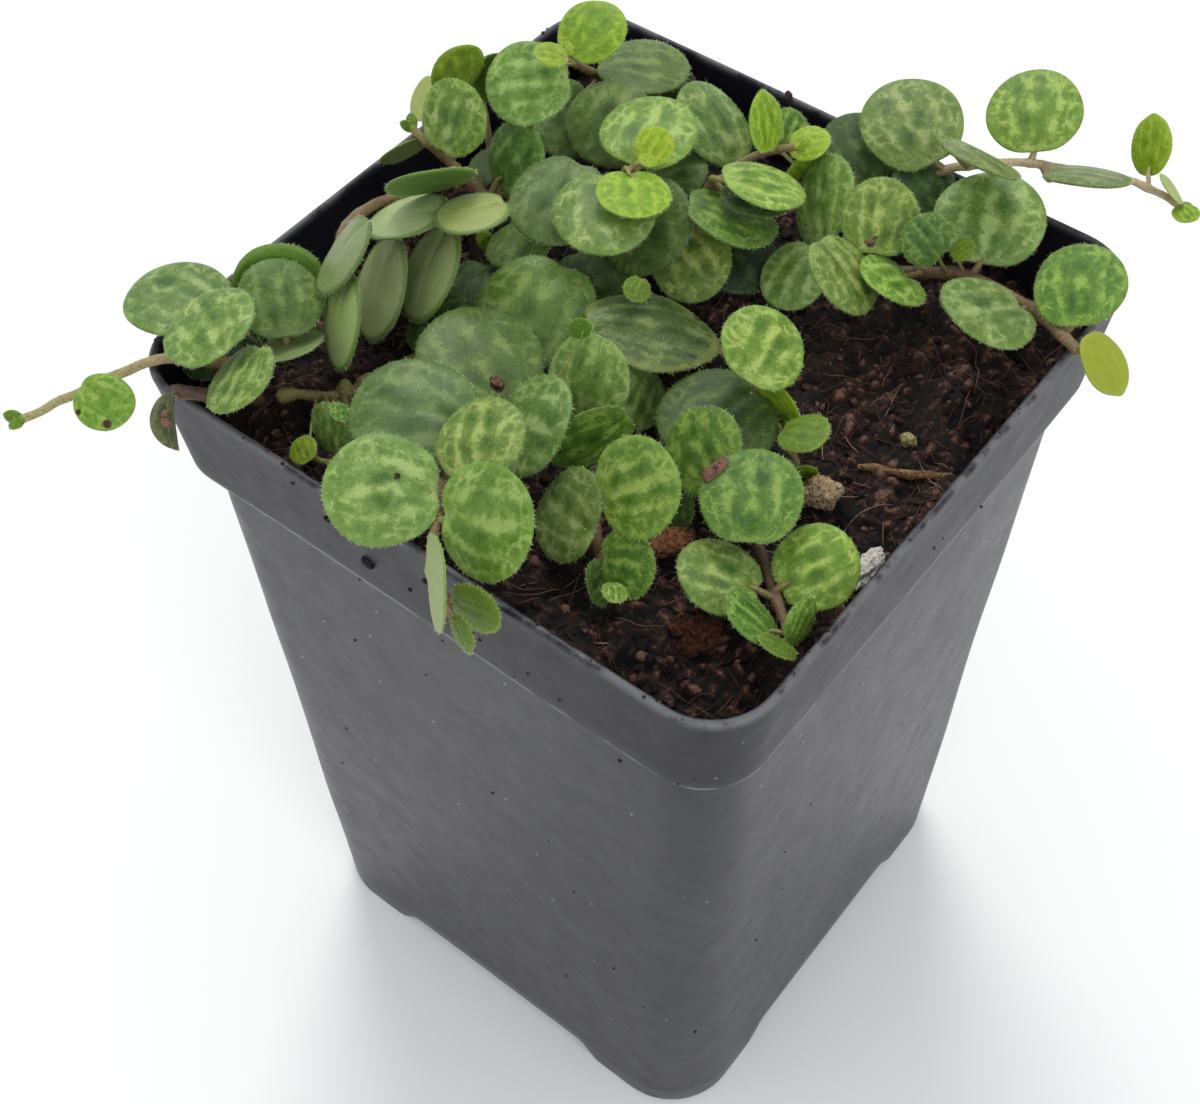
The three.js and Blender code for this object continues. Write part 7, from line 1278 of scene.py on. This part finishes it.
# single rootlets: start, direction, length, radius, tint
ROOTLETS = [(22.0, 6.5, -0.9, 6.5, 0.07, 0.95), (33.5, 2.0, 0.8, 6.0, 0.07, 0.9), (36.0, 6.5, -0.6, 5.0, 0.06, 0.85), (14.0, -36.0, 1.1, 5.0, 0.07, 0.6), (16.0, -35.0, 2.0, 5.0, 0.07, 0.55),
            (31.0, -25.5, 0.3, 4.0, 0.08, 0.95), (35.5, -22.0, -1.2, 3.5, 0.07, 0.9)]
rs = rng("fibres")
bag = Bag()
for k in range(1500):
    x, y = rs.uniform(-42, 42, 2)
    fibre(bag, rs, x, y, rs.uniform(0, 2 * math.pi), rs.uniform(1.0, 4.0), rs.uniform(0.045, 0.12), float(np.clip(rs.normal(0.42, 0.16), 0.05, 0.85)), 0.12)
fibres = bag.build("soil_fibres", [FIBRE_MAT], "soil_mix")
bag = Bag()
for k in range(150):
    x, y = rs.uniform(-41, 41, 2)
    fibre(bag, rs, x, y, rs.uniform(0, 2 * math.pi), rs.uniform(3.0, 11.0), rs.uniform(0.045, 0.075), float(np.clip(rs.normal(0.60, 0.14), 0.3, 0.95)), 0.30, 0.16, 5)
for (x, y, a, l, r, t) in ROOTLETS:
    fibre(bag, rs, x, y, a, l, r, t, 0.5, 0.05, 6)
rootlets = bag.build("soil_rootlets", [FIBRE_MAT], "soil_mix")

# ---------------------------------------------------------------- loose bits
def rock_material(name, a, b, c, scale, hole=0.5):
    N = Nodes(name)
    pos = N.position()
    n1 = N.noise(pos, scale, 5.0, 0.65)
    vo = N.voronoi(pos, scale * 1.9, "F1", 1.0)
    col = N.mix(N.smooth(n1.outputs[0], 0.35, 0.65), lin(*a), lin(*b))
    pit = N.math("SUBTRACT", 1.0, N.smooth(vo.outputs["Distance"], 0.12, 0.42))
    pk = N.smooth(N.xyz(vo.outputs["Color"])[0], 0.35, 0.6)
    pit = N.math("MULTIPLY", N.math("MULTIPLY", pit, pk), hole)
    col = N.mix(pit, col, lin(*c))
    b1 = N.bump(N.math("SUBTRACT", n1.outputs[0], pit), 1.0, 0.0005)
    N.principled(col, 0.85, b1, **{"Specular IOR Level": 0.25})
    return N.mat


ROCK_BEIGE = rock_material("lump_beige", (176, 146, 108), (206, 186, 150), (92, 56, 34), 1500.0, 0.9)
ROCK_WHITE = rock_material("perlite_white", (214, 208, 198), (236, 232, 224), (120, 108, 92), 1400.0, 0.6)
ROCK_YELLOW = rock_material("grit_yellow", (150, 140, 92), (186, 178, 124), (80, 74, 44), 1800.0, 0.7)
BARK = rock_material("bark_brown", (86, 52, 34), (134, 88, 58), (38, 22, 16), 1300.0, 0.8)
PEAT = rock_material("peat_clump", (58, 32, 24), (104, 60, 42), (22, 12, 9), 1500.0, 0.8)


def bit(name, node, mat, slot, at, size, turn, level=5, rough=0.35, sink=0.3, extra=()):
    rs = rng(name)
    bag = Bag()
    v, f = ICO[level]
    n = vnoise3(v * 1.5 + rs.uniform(0, 50, 3), 3) + 0.55 * vnoise3(v * 3.4 + 7, 4) + 0.30 * vnoise3(v * 7.5 + 3, 5) + 0.16 * vnoise3(v * 16, 6)
    w = v * (1 + rough * 1.5 * n)[:, None] * np.array(size)
    c, s = math.cos(turn), math.sin(turn)
    w = w @ np.array([[c, s, 0], [-s, c, 0], [0, 0, 1]])
    x, y = at
    z = float(np.mean(soil_height(np.array([x, x + 0.5, x - 0.5]), np.array([y, y + 0.5, y - 0.5])))) + size[2] * (1 - sink)
    bag.add(w + [x, y, z], f, 0, True)
    ob = bag.build(name, [mat], slot)
    if node:
        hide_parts(node)
    return ob


bit("look_bark_lump_beige", "bark_lump_beige", ROCK_BEIGE, "bark", (29.9, -5.2), (2.1, 1.7, 2.1), 0.5, sink=0.25)
bit("look_perlite_chunk_white", "perlite_chunk_white", ROCK_WHITE, "perlite", (39.3, -9.3), (1.3, 3.0, 1.0), 0.15, sink=0.2)
bit("look_grit_lump_yellow", "grit_lump_yellow", ROCK_YELLOW, "perlite", (33.1, 8.9), (1.0, 0.9, 0.8), 0.2, 4, sink=0.1)
bit("look_bark_chip_brown", "bark_chip_brown", BARK, "bark", (19.9, -22.1), (2.2, 4.2, 0.9), -0.5, sink=0.3)
bit("look_peat_clump_front", "peat_clump_front", PEAT, "soil_mix", (29.8, -29.4), (2.9, 2.3, 1.6), 0.4, rough=0.5, sink=0.4)
bag = Bag()
tw = np.array([[30.4, 2.2], [32.5, 2.7], [35.6, 3.6], [37.8, 5.2], [40.0, 7.4]])
pth = np.column_stack([tw, soil_height(tw[:, 0], tw[:, 1]).mean() + np.array([-0.3, 0.5, 0.8, 0.6, 0.0])])
C = smooth_path(pth, 0.25)
ll = np.linspace(0, 1, len(C))
rad = 0.52 * (1 + 0.35 * vnoise(ll * 14, ll * 0, 61)) * (0.75 + 0.3 * np.sin(ll * math.pi))
v, f = tube(C, rad[:, None] * (1 + 0.3 * vnoise(np.cos(np.arange(12) * 0.524)[None] * 1.5 + ll[:, None] * 20, np.sin(np.arange(12) * 0.524)[None] * 1.5, 62)), 12)
bag.add(v, f, 0, True)
ob = bag.build("look_root_twig", [rock_material("root_bark", (104, 74, 50), (150, 118, 84), (60, 40, 28), 900.0, 0.6)], "bark")
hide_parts("root_twig")

# crumbs of bark and soil caught on the leaves: leaf, place in its plane, half sizes, turn, tint
CAUGHT = [("H5", -0.78, 0.50, (1.75, 0.75, 0.5), 0.9, 0.55), ("H17", 0.22, -0.26, (0.34, 0.26, 0.22), 0.3, 0.3), ("H12", -0.01, -0.58, (0.62, 0.85, 0.32), 0.1, 0.42),
          ("H13", 0.44, -0.58, (0.85, 0.42, 0.28), 0.2, 0.42), ("F4", -0.13, -0.70, (0.75, 0.26, 0.2), 0.1, 0.4), ("F4", -0.02, -0.60, (0.3, 0.2, 0.16), 0.5, 0.3),
          ("X1", -0.85, -0.30, (0.7, 0.45, 0.35), 0.4, 0.55), ("X1", -0.9, 0.02, (0.5, 0.8, 0.3), 0.9, 0.5)]
bag = Bag()
for lid, cx, cy, size, turn, tint in CAUGHT:
    rs = rng("caught", lid, cx)
    row = next(x for x in LEAVES if x[0] == lid)
    at, (ex, ey, ez) = leaf_shape(lid, row[3], row[4], row[5], row[6], row[7], row[8], row[9], row[10])
    p0, _, _ = at(np.array([math.hypot(cx, cy)]), np.array([math.atan2(cy, cx)]), np.ones(1))
    v, f = ICO[3]
    n_ = vnoise3(v * 1.6 + rs.uniform(0, 50, 3), 3) + 0.6 * vnoise3(v * 4.2 + 7, 4)
    w = v * (1 + 0.6 * n_)[:, None] * np.array(size)
    c, s = math.cos(turn), math.sin(turn)
    w = w @ np.array([[c, s, 0], [-s, c, 0], [0, 0, 1]])
    w = w[:, :1] * ex + w[:, 1:2] * ey + w[:, 2:] * ez + p0[0] + ez * size[2] * 0.45
    bag.add(w, f, 0, True, tint=np.full(len(v), tint) + 0.3 * n_)
bag.build("crumbs_on_leaves", [SOIL_MAT], "soil_mix")

# ---------------------------------------------------------------- pot
def plastic_material():
    N = Nodes("pot_plastic")
    pos = N.position()
    px, py, pz = N.xyz(pos)
    n1 = N.noise(pos, 26.0, 4.0, 0.55)
    n2 = N.noise(pos, 240.0, 4.0, 0.6)
    n3 = N.noise(pos, 2600.0, 2.0, 0.5)
    streak = N.noise(N.vmath("MULTIPLY", pos, (260.0, 260.0, 14.0)), 1.0, 3.0, 0.6)
    base = N.mix(N.smooth(n1.outputs[0], 0.35, 0.68), lin(28, 28, 35), lin(38, 38, 46))
    base = N.mix(N.math("MULTIPLY", N.smooth(streak.outputs[0], 0.55, 0.75), 0.18), base, lin(66, 66, 70))
    # pale dust specks, dark crumbs of soil
    vs = N.voronoi(pos, 430.0, "F1", 1.0)
    c0, c1, c2 = N.xyz(vs.outputs["Color"])
    dot = N.math("MULTIPLY", N.math("SUBTRACT", 1.0, N.smooth(vs.outputs["Distance"], 0.05, 0.11)), N.math("GREATER_THAN", c0, 0.88))
    base = N.mix(N.math("MULTIPLY", dot, 0.55), base, lin(190, 188, 186))
    vd = N.voronoi(pos, 260.0, "F1", 1.0)
    d0, d1, d2 = N.xyz(vd.outputs["Color"])
    dot2 = N.math("MULTIPLY", N.math("SUBTRACT", 1.0, N.smooth(vd.outputs["Distance"], 0.05, 0.12)), N.math("GREATER_THAN", d0, 0.93))
    base = N.mix(N.math("MULTIPLY", dot2, 0.9), base, lin(16, 14, 14))
    # scuffs: thin stretched scratches
    sc = N.voronoi(N.vmath("MULTIPLY", N.vmath("ADD", pos, N.vmath("MULTIPLY", n1.outputs["Color"], (0.01, 0.01, 0.01))), (90.0, 90.0, 26.0)), 1.0, "DISTANCE_TO_EDGE", 1.0)
    scr = N.math("MULTIPLY", N.math("SUBTRACT", 1.0, N.smooth(sc.outputs["Distance"], 0.002, 0.008)), N.smooth(n2.outputs[0], 0.56, 0.70))
    base = N.mix(N.math("MULTIPLY", scr, 0.16), base, lin(150, 150, 154))
    dull = N.attr("dull").outputs["Fac"]
    base = N.mix(N.math("MULTIPLY", dull, 0.9), base, N.mix(1.0, base, (0.42, 0.42, 0.48, 1), "MULTIPLY"))
    # paler along the lower edge of the rim band, on the rim top and at the feet
    edge = N.attr("wear").outputs["Fac"]
    ew = N.math("MULTIPLY", edge, N.smooth(n2.outputs[0], 0.36, 0.56))
    base = N.mix(N.math("MULTIPLY", ew, 0.55), base, lin(168, 168, 172))
    rough = N.math("ADD", 0.40, N.math("MULTIPLY", N.math("SUBTRACT", n2.outputs[0], 0.5), 0.22))
    rough = N.math("ADD", rough, N.math("MULTIPLY", N.math("SUBTRACT", n1.outputs[0], 0.5), 0.12))
    b0 = N.bump(n1.outputs[0], 0.55, 0.0012)
    b1 = N.bump(n2.outputs[0], 0.22, 0.0003, b0)
    b2 = N.bump(n3.outputs[0], 0.16, 0.00004, b1)
    rough = N.math("ADD", rough, N.math("MULTIPLY", dull, 0.12))
    bs = N.principled(base, rough, b2)
    N.put(bs.inputs["Specular IOR Level"], N.math("SUBTRACT", 0.5, N.math("MULTIPLY", dull, 0.34)))
    return N.mat


POT_MAT = plastic_material()


def pot_rows():
    """half, z, corner, arch lift (share), paler edge; outside from the middle of the floor up, over the rim, down the
    inside.
    """
    lift = 3.4
    rows = [(0.001, lift, 0.0, 0, 0), (14, lift, 2.0, 0, 0), (24.5, lift, 4.0, 0, 0), (28.0, lift - 0.15, 5.0, 0.05, 0), (29.6, 1.4, 5.6, 0.62, 0), (30.9, 0.12, 6.2, 0.97, 0), (31.8, 0.0, 6.6, 1, 0),
            (34.8, 0.0, 8.2, 1, 0), (37.4, 0.0, 10.0, 1, 0.2), (38.1, 0.25, 10.5, 1, 0.5), (38.47, 0.9, 10.77, 1, 0.3)]
    for k in range(1, 27):
        u = k / 26
        rows.append((38.47 + (40.78 - 38.47) * u, 0.9 + (109.6 - 0.9) * u, 10.77 + (8.0 - 10.77) * u, max(0, 1 - u * 26 / 2.2) if k < 3 else 0, 0))
    rows += [(40.95, 110.0, 8.0, 0, 0), (41.5, 110.35, 8.05, 0, 0), (42.35, 110.45, 8.15, 0, 0.4), (42.78, 110.55, 8.2, 0, 1.0), (42.95, 110.85, 8.2, 0, 0.9), (43.0, 111.4, 8.2, 0, 0.1)]
    for k in range(1, 9):
        u = k / 8
        rows.append((43.0 + (44.36 - 43.0) * u, 111.4 + (125.6 - 111.4) * u, 8.2 + 0.13 * u, 0, 0))
    rows += [(44.45, 126.2, 8.33, 0, 0.1), (44.40, 126.7, 8.3, 0, 0.5), (44.2, 126.95, 8.15, 0, 0.6), (43.9, 127.0, 7.9, 0, 0.3), (43.62, 126.92, 7.7, 0, 0.3), (43.42, 126.6, 7.5, 0, 0.1), (43.36, 126.1, 7.4, 0, 0)]
    for k in range(1, 7):
        u = k / 6
        rows.append((43.36 + (41.9 - 43.36) * u, 126.1 + (111.3 - 126.1) * u, 7.4 - 0.25 * u, 0, 0))
    rows += [(41.0, 110.6, 7.05, 0, 0), (39.75, 109.7, 6.95, 0, 0)]
    for k in range(1, 9):
        u = k / 8
        rows.append((39.75 + (37.45 - 39.75) * u, 109.7 + (6.2 - 109.7) * u, 6.95 + 2.7 * u, 0, 0))
    rows += [(36.9, 5.0, 9.2, 0, 0), (36.0, 4.7, 8.5, 0, 0), (24, 4.7, 4.0, 0, 0), (12, 4.7, 2.0, 0, 0), (0.001, 4.7, 0.0, 0, 0)]
    return rows


NC, NS = 12, 40      # steps per corner and per side


def ring(half, corner):
    flat = half - corner
    pts, side, nrm = [], [], []
    for q in range(4):
        c, s = math.cos(q * math.pi / 2), math.sin(q * math.pi / 2)
        for k in range(NC):
            a = k / NC * math.pi / 2
            x, y = flat + corner * math.cos(a), flat + corner * math.sin(a)
            nx, ny = math.cos(a), math.sin(a)
            pts.append((c * x - s * y, s * x + c * y))
            nrm.append((c * nx - s * ny, s * nx + c * ny))
            side.append(1.0)
        for k in range(NS):
            u = 1 - 2 * k / NS
            x, y = flat * u, half
            pts.append((c * x - s * y, s * x + c * y))
            nrm.append((-s, c))
            side.append(abs(u))
    return np.array(pts), np.array(side), np.array(nrm)


rows = pot_rows()
nrng = 4 * (NC + NS)
P, W, DULL = [], [], []
seen_rim = False
for (half, z, corner, lf, wear) in rows:
    pts, side, nrm = ring(half, corner)
    # arches between the feet: 36 mm wide, with sloped ends
    flat0 = 27.7
    s_mm = side * flat0
    arch = np.clip((21.5 - s_mm) / 4.5, 0, 1)
    arch = arch * arch * (3 - 2 * arch)
    zz = z + 3.35 * arch * lf
    # thin walls: shallow dents and a slight belly, none at the feet and little at the rim
    h = zz / 127.0
    amp = np.clip(h * 5, 0, 1) * np.where(h > 0.985, 0.4, 1.0) * (0.0 if half < 30 else 1.0)
    xx, yy = pts[:, 0], pts[:, 1]
    ang = np.arctan2(yy, xx)
    mid = np.cos(np.clip(side, 0, 1) * math.pi / 2)
    n_ = vnoise3(np.stack([xx / 21.0 + 3, yy / 21.0 + 8, zz / 26.0], -1), 71) + 0.5 * vnoise3(np.stack([xx / 9.0, yy / 9.0, zz / 15.0], -1), 72)
    off = amp * (0.55 * n_ + 0.35 * mid * np.sin(h * math.pi) * (1 if half > 38 else 0))
    if half > 38.6 and z > 108:
        off = off * 0.55
    P.append(np.column_stack([xx + nrm[:, 0] * off, yy + nrm[:, 1] * off, zz]))
    W.append(np.full(nrng, wear))
    DULL.append(np.full(nrng, 1.0 if seen_rim else (0.62 if z > 110.9 and z < 126.0 else (0.35 if z > 110 else 0.0))))
    if z >= 126.99:
        seen_rim = True
P = np.array(P)
nr = len(rows)
v = P.reshape(-1, 3)
i, j = np.meshgrid(np.arange(nr - 1), np.arange(nrng), indexing="ij")
j2 = (j + 1) % nrng
f = np.stack([i * nrng + j, i * nrng + j2, (i + 1) * nrng + j2, (i + 1) * nrng + j], -1).reshape(-1, 4)
# close the two tiny centre rings
c0 = len(v)
v = np.vstack([v, v[:nrng].mean(0), v[(nr - 1) * nrng:].mean(0)])
k = np.arange(nrng)
k2 = (k + 1) % nrng
f = np.vstack([f, np.stack([np.full(nrng, c0), k2, k, np.full(nrng, -1)], -1), np.stack([np.full(nrng, c0 + 1), (nr - 1) * nrng + k, (nr - 1) * nrng + k2, np.full(nrng, -1)], -1)])
bag = Bag()
bag.add(v, f, 0, True, wear=np.concatenate([np.concatenate(W), [0, 0]]), dull=np.concatenate([np.concatenate(DULL), [0, 1]]))
pot = bag.build("look_pot", [POT_MAT], "pot_plastic")
# crumbs of soil stuck to the outside and lying on the rim
from mathutils.bvhtree import BVHTree
tree = BVHTree.FromPolygons([tuple(q) for q in v], [tuple(int(k) for k in q if k >= 0) for q in f])
STUCK = [((-6.7, -43.5, 116.8), (0.95, 0.70, 0.5)), ((3.0, -44.0, 121.4), (0.42, 0.34, 0.25)), ((-16.6, -44.3, 124.3), (0.30, 0.22, 0.2)), ((-10.9, -44.2, 123.4), (0.26, 0.22, 0.16)),
         ((-0.3, -43.5, 116.7), (0.30, 0.36, 0.2)), ((10.0, -43.4, 115.7), (0.24, 0.2, 0.15)), ((21.3, -43.2, 113.8), (0.2, 0.24, 0.15)), ((-9.0, 43.9, 127.0), (0.7, 0.5, 0.6)),
         ((-16.2, -40.3, 89.1), (0.22, 0.3, 0.15)), ((27.7, -40.7, 104.1), (0.3, 0.24, 0.16)), ((-12.0, -44.0, 121.0), (0.5, 0.32, 0.25))]
rs = rng("stuck")
for k in range(70):
    side_ = rs.randint(0, 4)
    a_, z_ = rs.uniform(-40, 40), 127 - 100 * rs.uniform() ** 2.2
    p_ = (a_, -43.0) if side_ < 2 else ((43.0, a_) if side_ == 2 else ((-43.0, a_) if rs.uniform() < 0.5 else (a_, 43.0)))
    r_ = 0.10 + 0.16 * rs.uniform() ** 2
    STUCK.append(((p_[0], p_[1], z_), (r_, r_ * rs.uniform(0.6, 1.4), r_ * 0.7)))
for k in range(60):
    a_ = rs.uniform(-40, 40)
    e_ = 43.9 + rs.uniform(-0.5, 0.35)
    p_ = [(a_, -e_), (a_, -e_), (e_, a_), (-e_, a_)][rs.randint(0, 4)]
    r_ = 0.10 + 0.20 * rs.uniform() ** 2
    STUCK.append(((p_[0], p_[1], 127.3), (r_ * rs.uniform(0.8, 1.8), r_, r_ * 0.7)))
bag = Bag()
for k, (p_, size) in enumerate(STUCK):
    hit, nor, _, _ = tree.find_nearest(p_)
    hit, nor = np.array(hit), unit(np.array(nor))
    if nor @ (np.array(p_) - [0, 0, p_[2]]) < 0 and nor[2] < 0.5:
        nor = -nor
    t_ = unit(np.cross(nor, [0.3, 0.2, 1.0]))
    w_, f_ = ICO[3 if size[0] > 0.4 else 1]
    n_ = vnoise3(w_ * 1.8 + k * 3.1, 5)
    w_ = w_ * (1 + 0.55 * n_)[:, None] * np.array(size)
    w_ = w_[:, :1] * t_ + w_[:, 1:2] * np.cross(nor, t_) + w_[:, 2:] * nor + hit + nor * size[2] * 0.3
    bag.add(w_, f_, 0, True, tint=np.full(len(w_), rs.normal(0.05, 0.15)) + 0.2 * n_)
bag.build("crumbs_on_pot", [SOIL_MAT], "soil_mix")
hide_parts("pot")
# drain holes in the floor
import bmesh
for x, y in ((0, 0), (19, 19), (-19, 19), (19, -19), (-19, -19)):
    bm = bmesh.new()
    bmesh.ops.create_cone(bm, cap_ends=True, segments=40, radius1=3.1 * MM, radius2=3.1 * MM, depth=8 * MM,
                          matrix=Matrix.Translation(((x + SHIFT[0]) * MM, (y + SHIFT[1]) * MM, 3.4 * MM)))
    me = bpy.data.meshes.new("drill")
    bm.to_mesh(me)
    bm.free()
    cut = bpy.data.objects.new("drill", me)
    scene.collection.objects.link(cut)
    md = pot.modifiers.new("hole", "BOOLEAN")
    md.operation = "DIFFERENCE"
    md.solver = "EXACT"
    md.object = cut
    bpy.context.view_layer.update()
    dg = bpy.context.evaluated_depsgraph_get()
    new = bpy.data.meshes.new_from_object(pot.evaluated_get(dg))
    pot.modifiers.remove(md)
    old = pot.data
    pot.data = new
    bpy.data.meshes.remove(old)
    bpy.data.objects.remove(cut)
    bpy.data.meshes.remove(me)

# ---------------------------------------------------------------- stage and light
def stage_material():
    N = Nodes("stage_white")
    nz = N.noise(N.position(), 3.0, 2.0, 0.5)
    col = N.mix(nz.outputs[0], (0.86, 0.86, 0.86, 1), (0.90, 0.90, 0.90, 1))
    N.principled(col, 0.6, None, **{"Specular IOR Level": 0.2})
    return N.mat


me = bpy.data.meshes.new("floor")
s = 6.0
me.from_pydata([(-s, -s, 0), (s, -s, 0), (s, s, 0), (-s, s, 0)], [], [(0, 1, 2, 3)])
me.materials.append(stage_material())
floor = bpy.data.objects.new("floor", me)
scene.collection.objects.link(floor)

world = bpy.data.worlds.new("studio")
scene.world = world
world.use_nodes = True
bg = world.node_tree.nodes["Background"]
bg.inputs[0].default_value = (0.97, 0.985, 1.0, 1)
bg.inputs[1].default_value = 0.86


def area(name, loc, target, size, power, color=(1, 1, 1)):
    d = bpy.data.lights.new(name, "AREA")
    d.shape = "DISK"
    d.size = size
    d.energy = power
    d.color = color
    o = bpy.data.objects.new(name, d)
    scene.collection.objects.link(o)
    o.location = loc
    dirv = np.array(target) - np.array(loc)
    from mathutils import Vector
    o.rotation_euler = Vector(dirv).to_track_quat("-Z", "Y").to_euler()
    return o


area("key", (-0.9, 0.9, 2.1), (0, 0, 0.11), 0.9, 22.0, (1.0, 0.99, 0.97))
area("fill", (2.2, -0.9, 1.3), (0, 0, 0.08), 1.4, 16.0)
scene.view_settings.view_transform = "Standard"
scene.view_settings.look = "None"
scene.view_settings.exposure = 0.0
scene.view_settings.gamma = 1.0
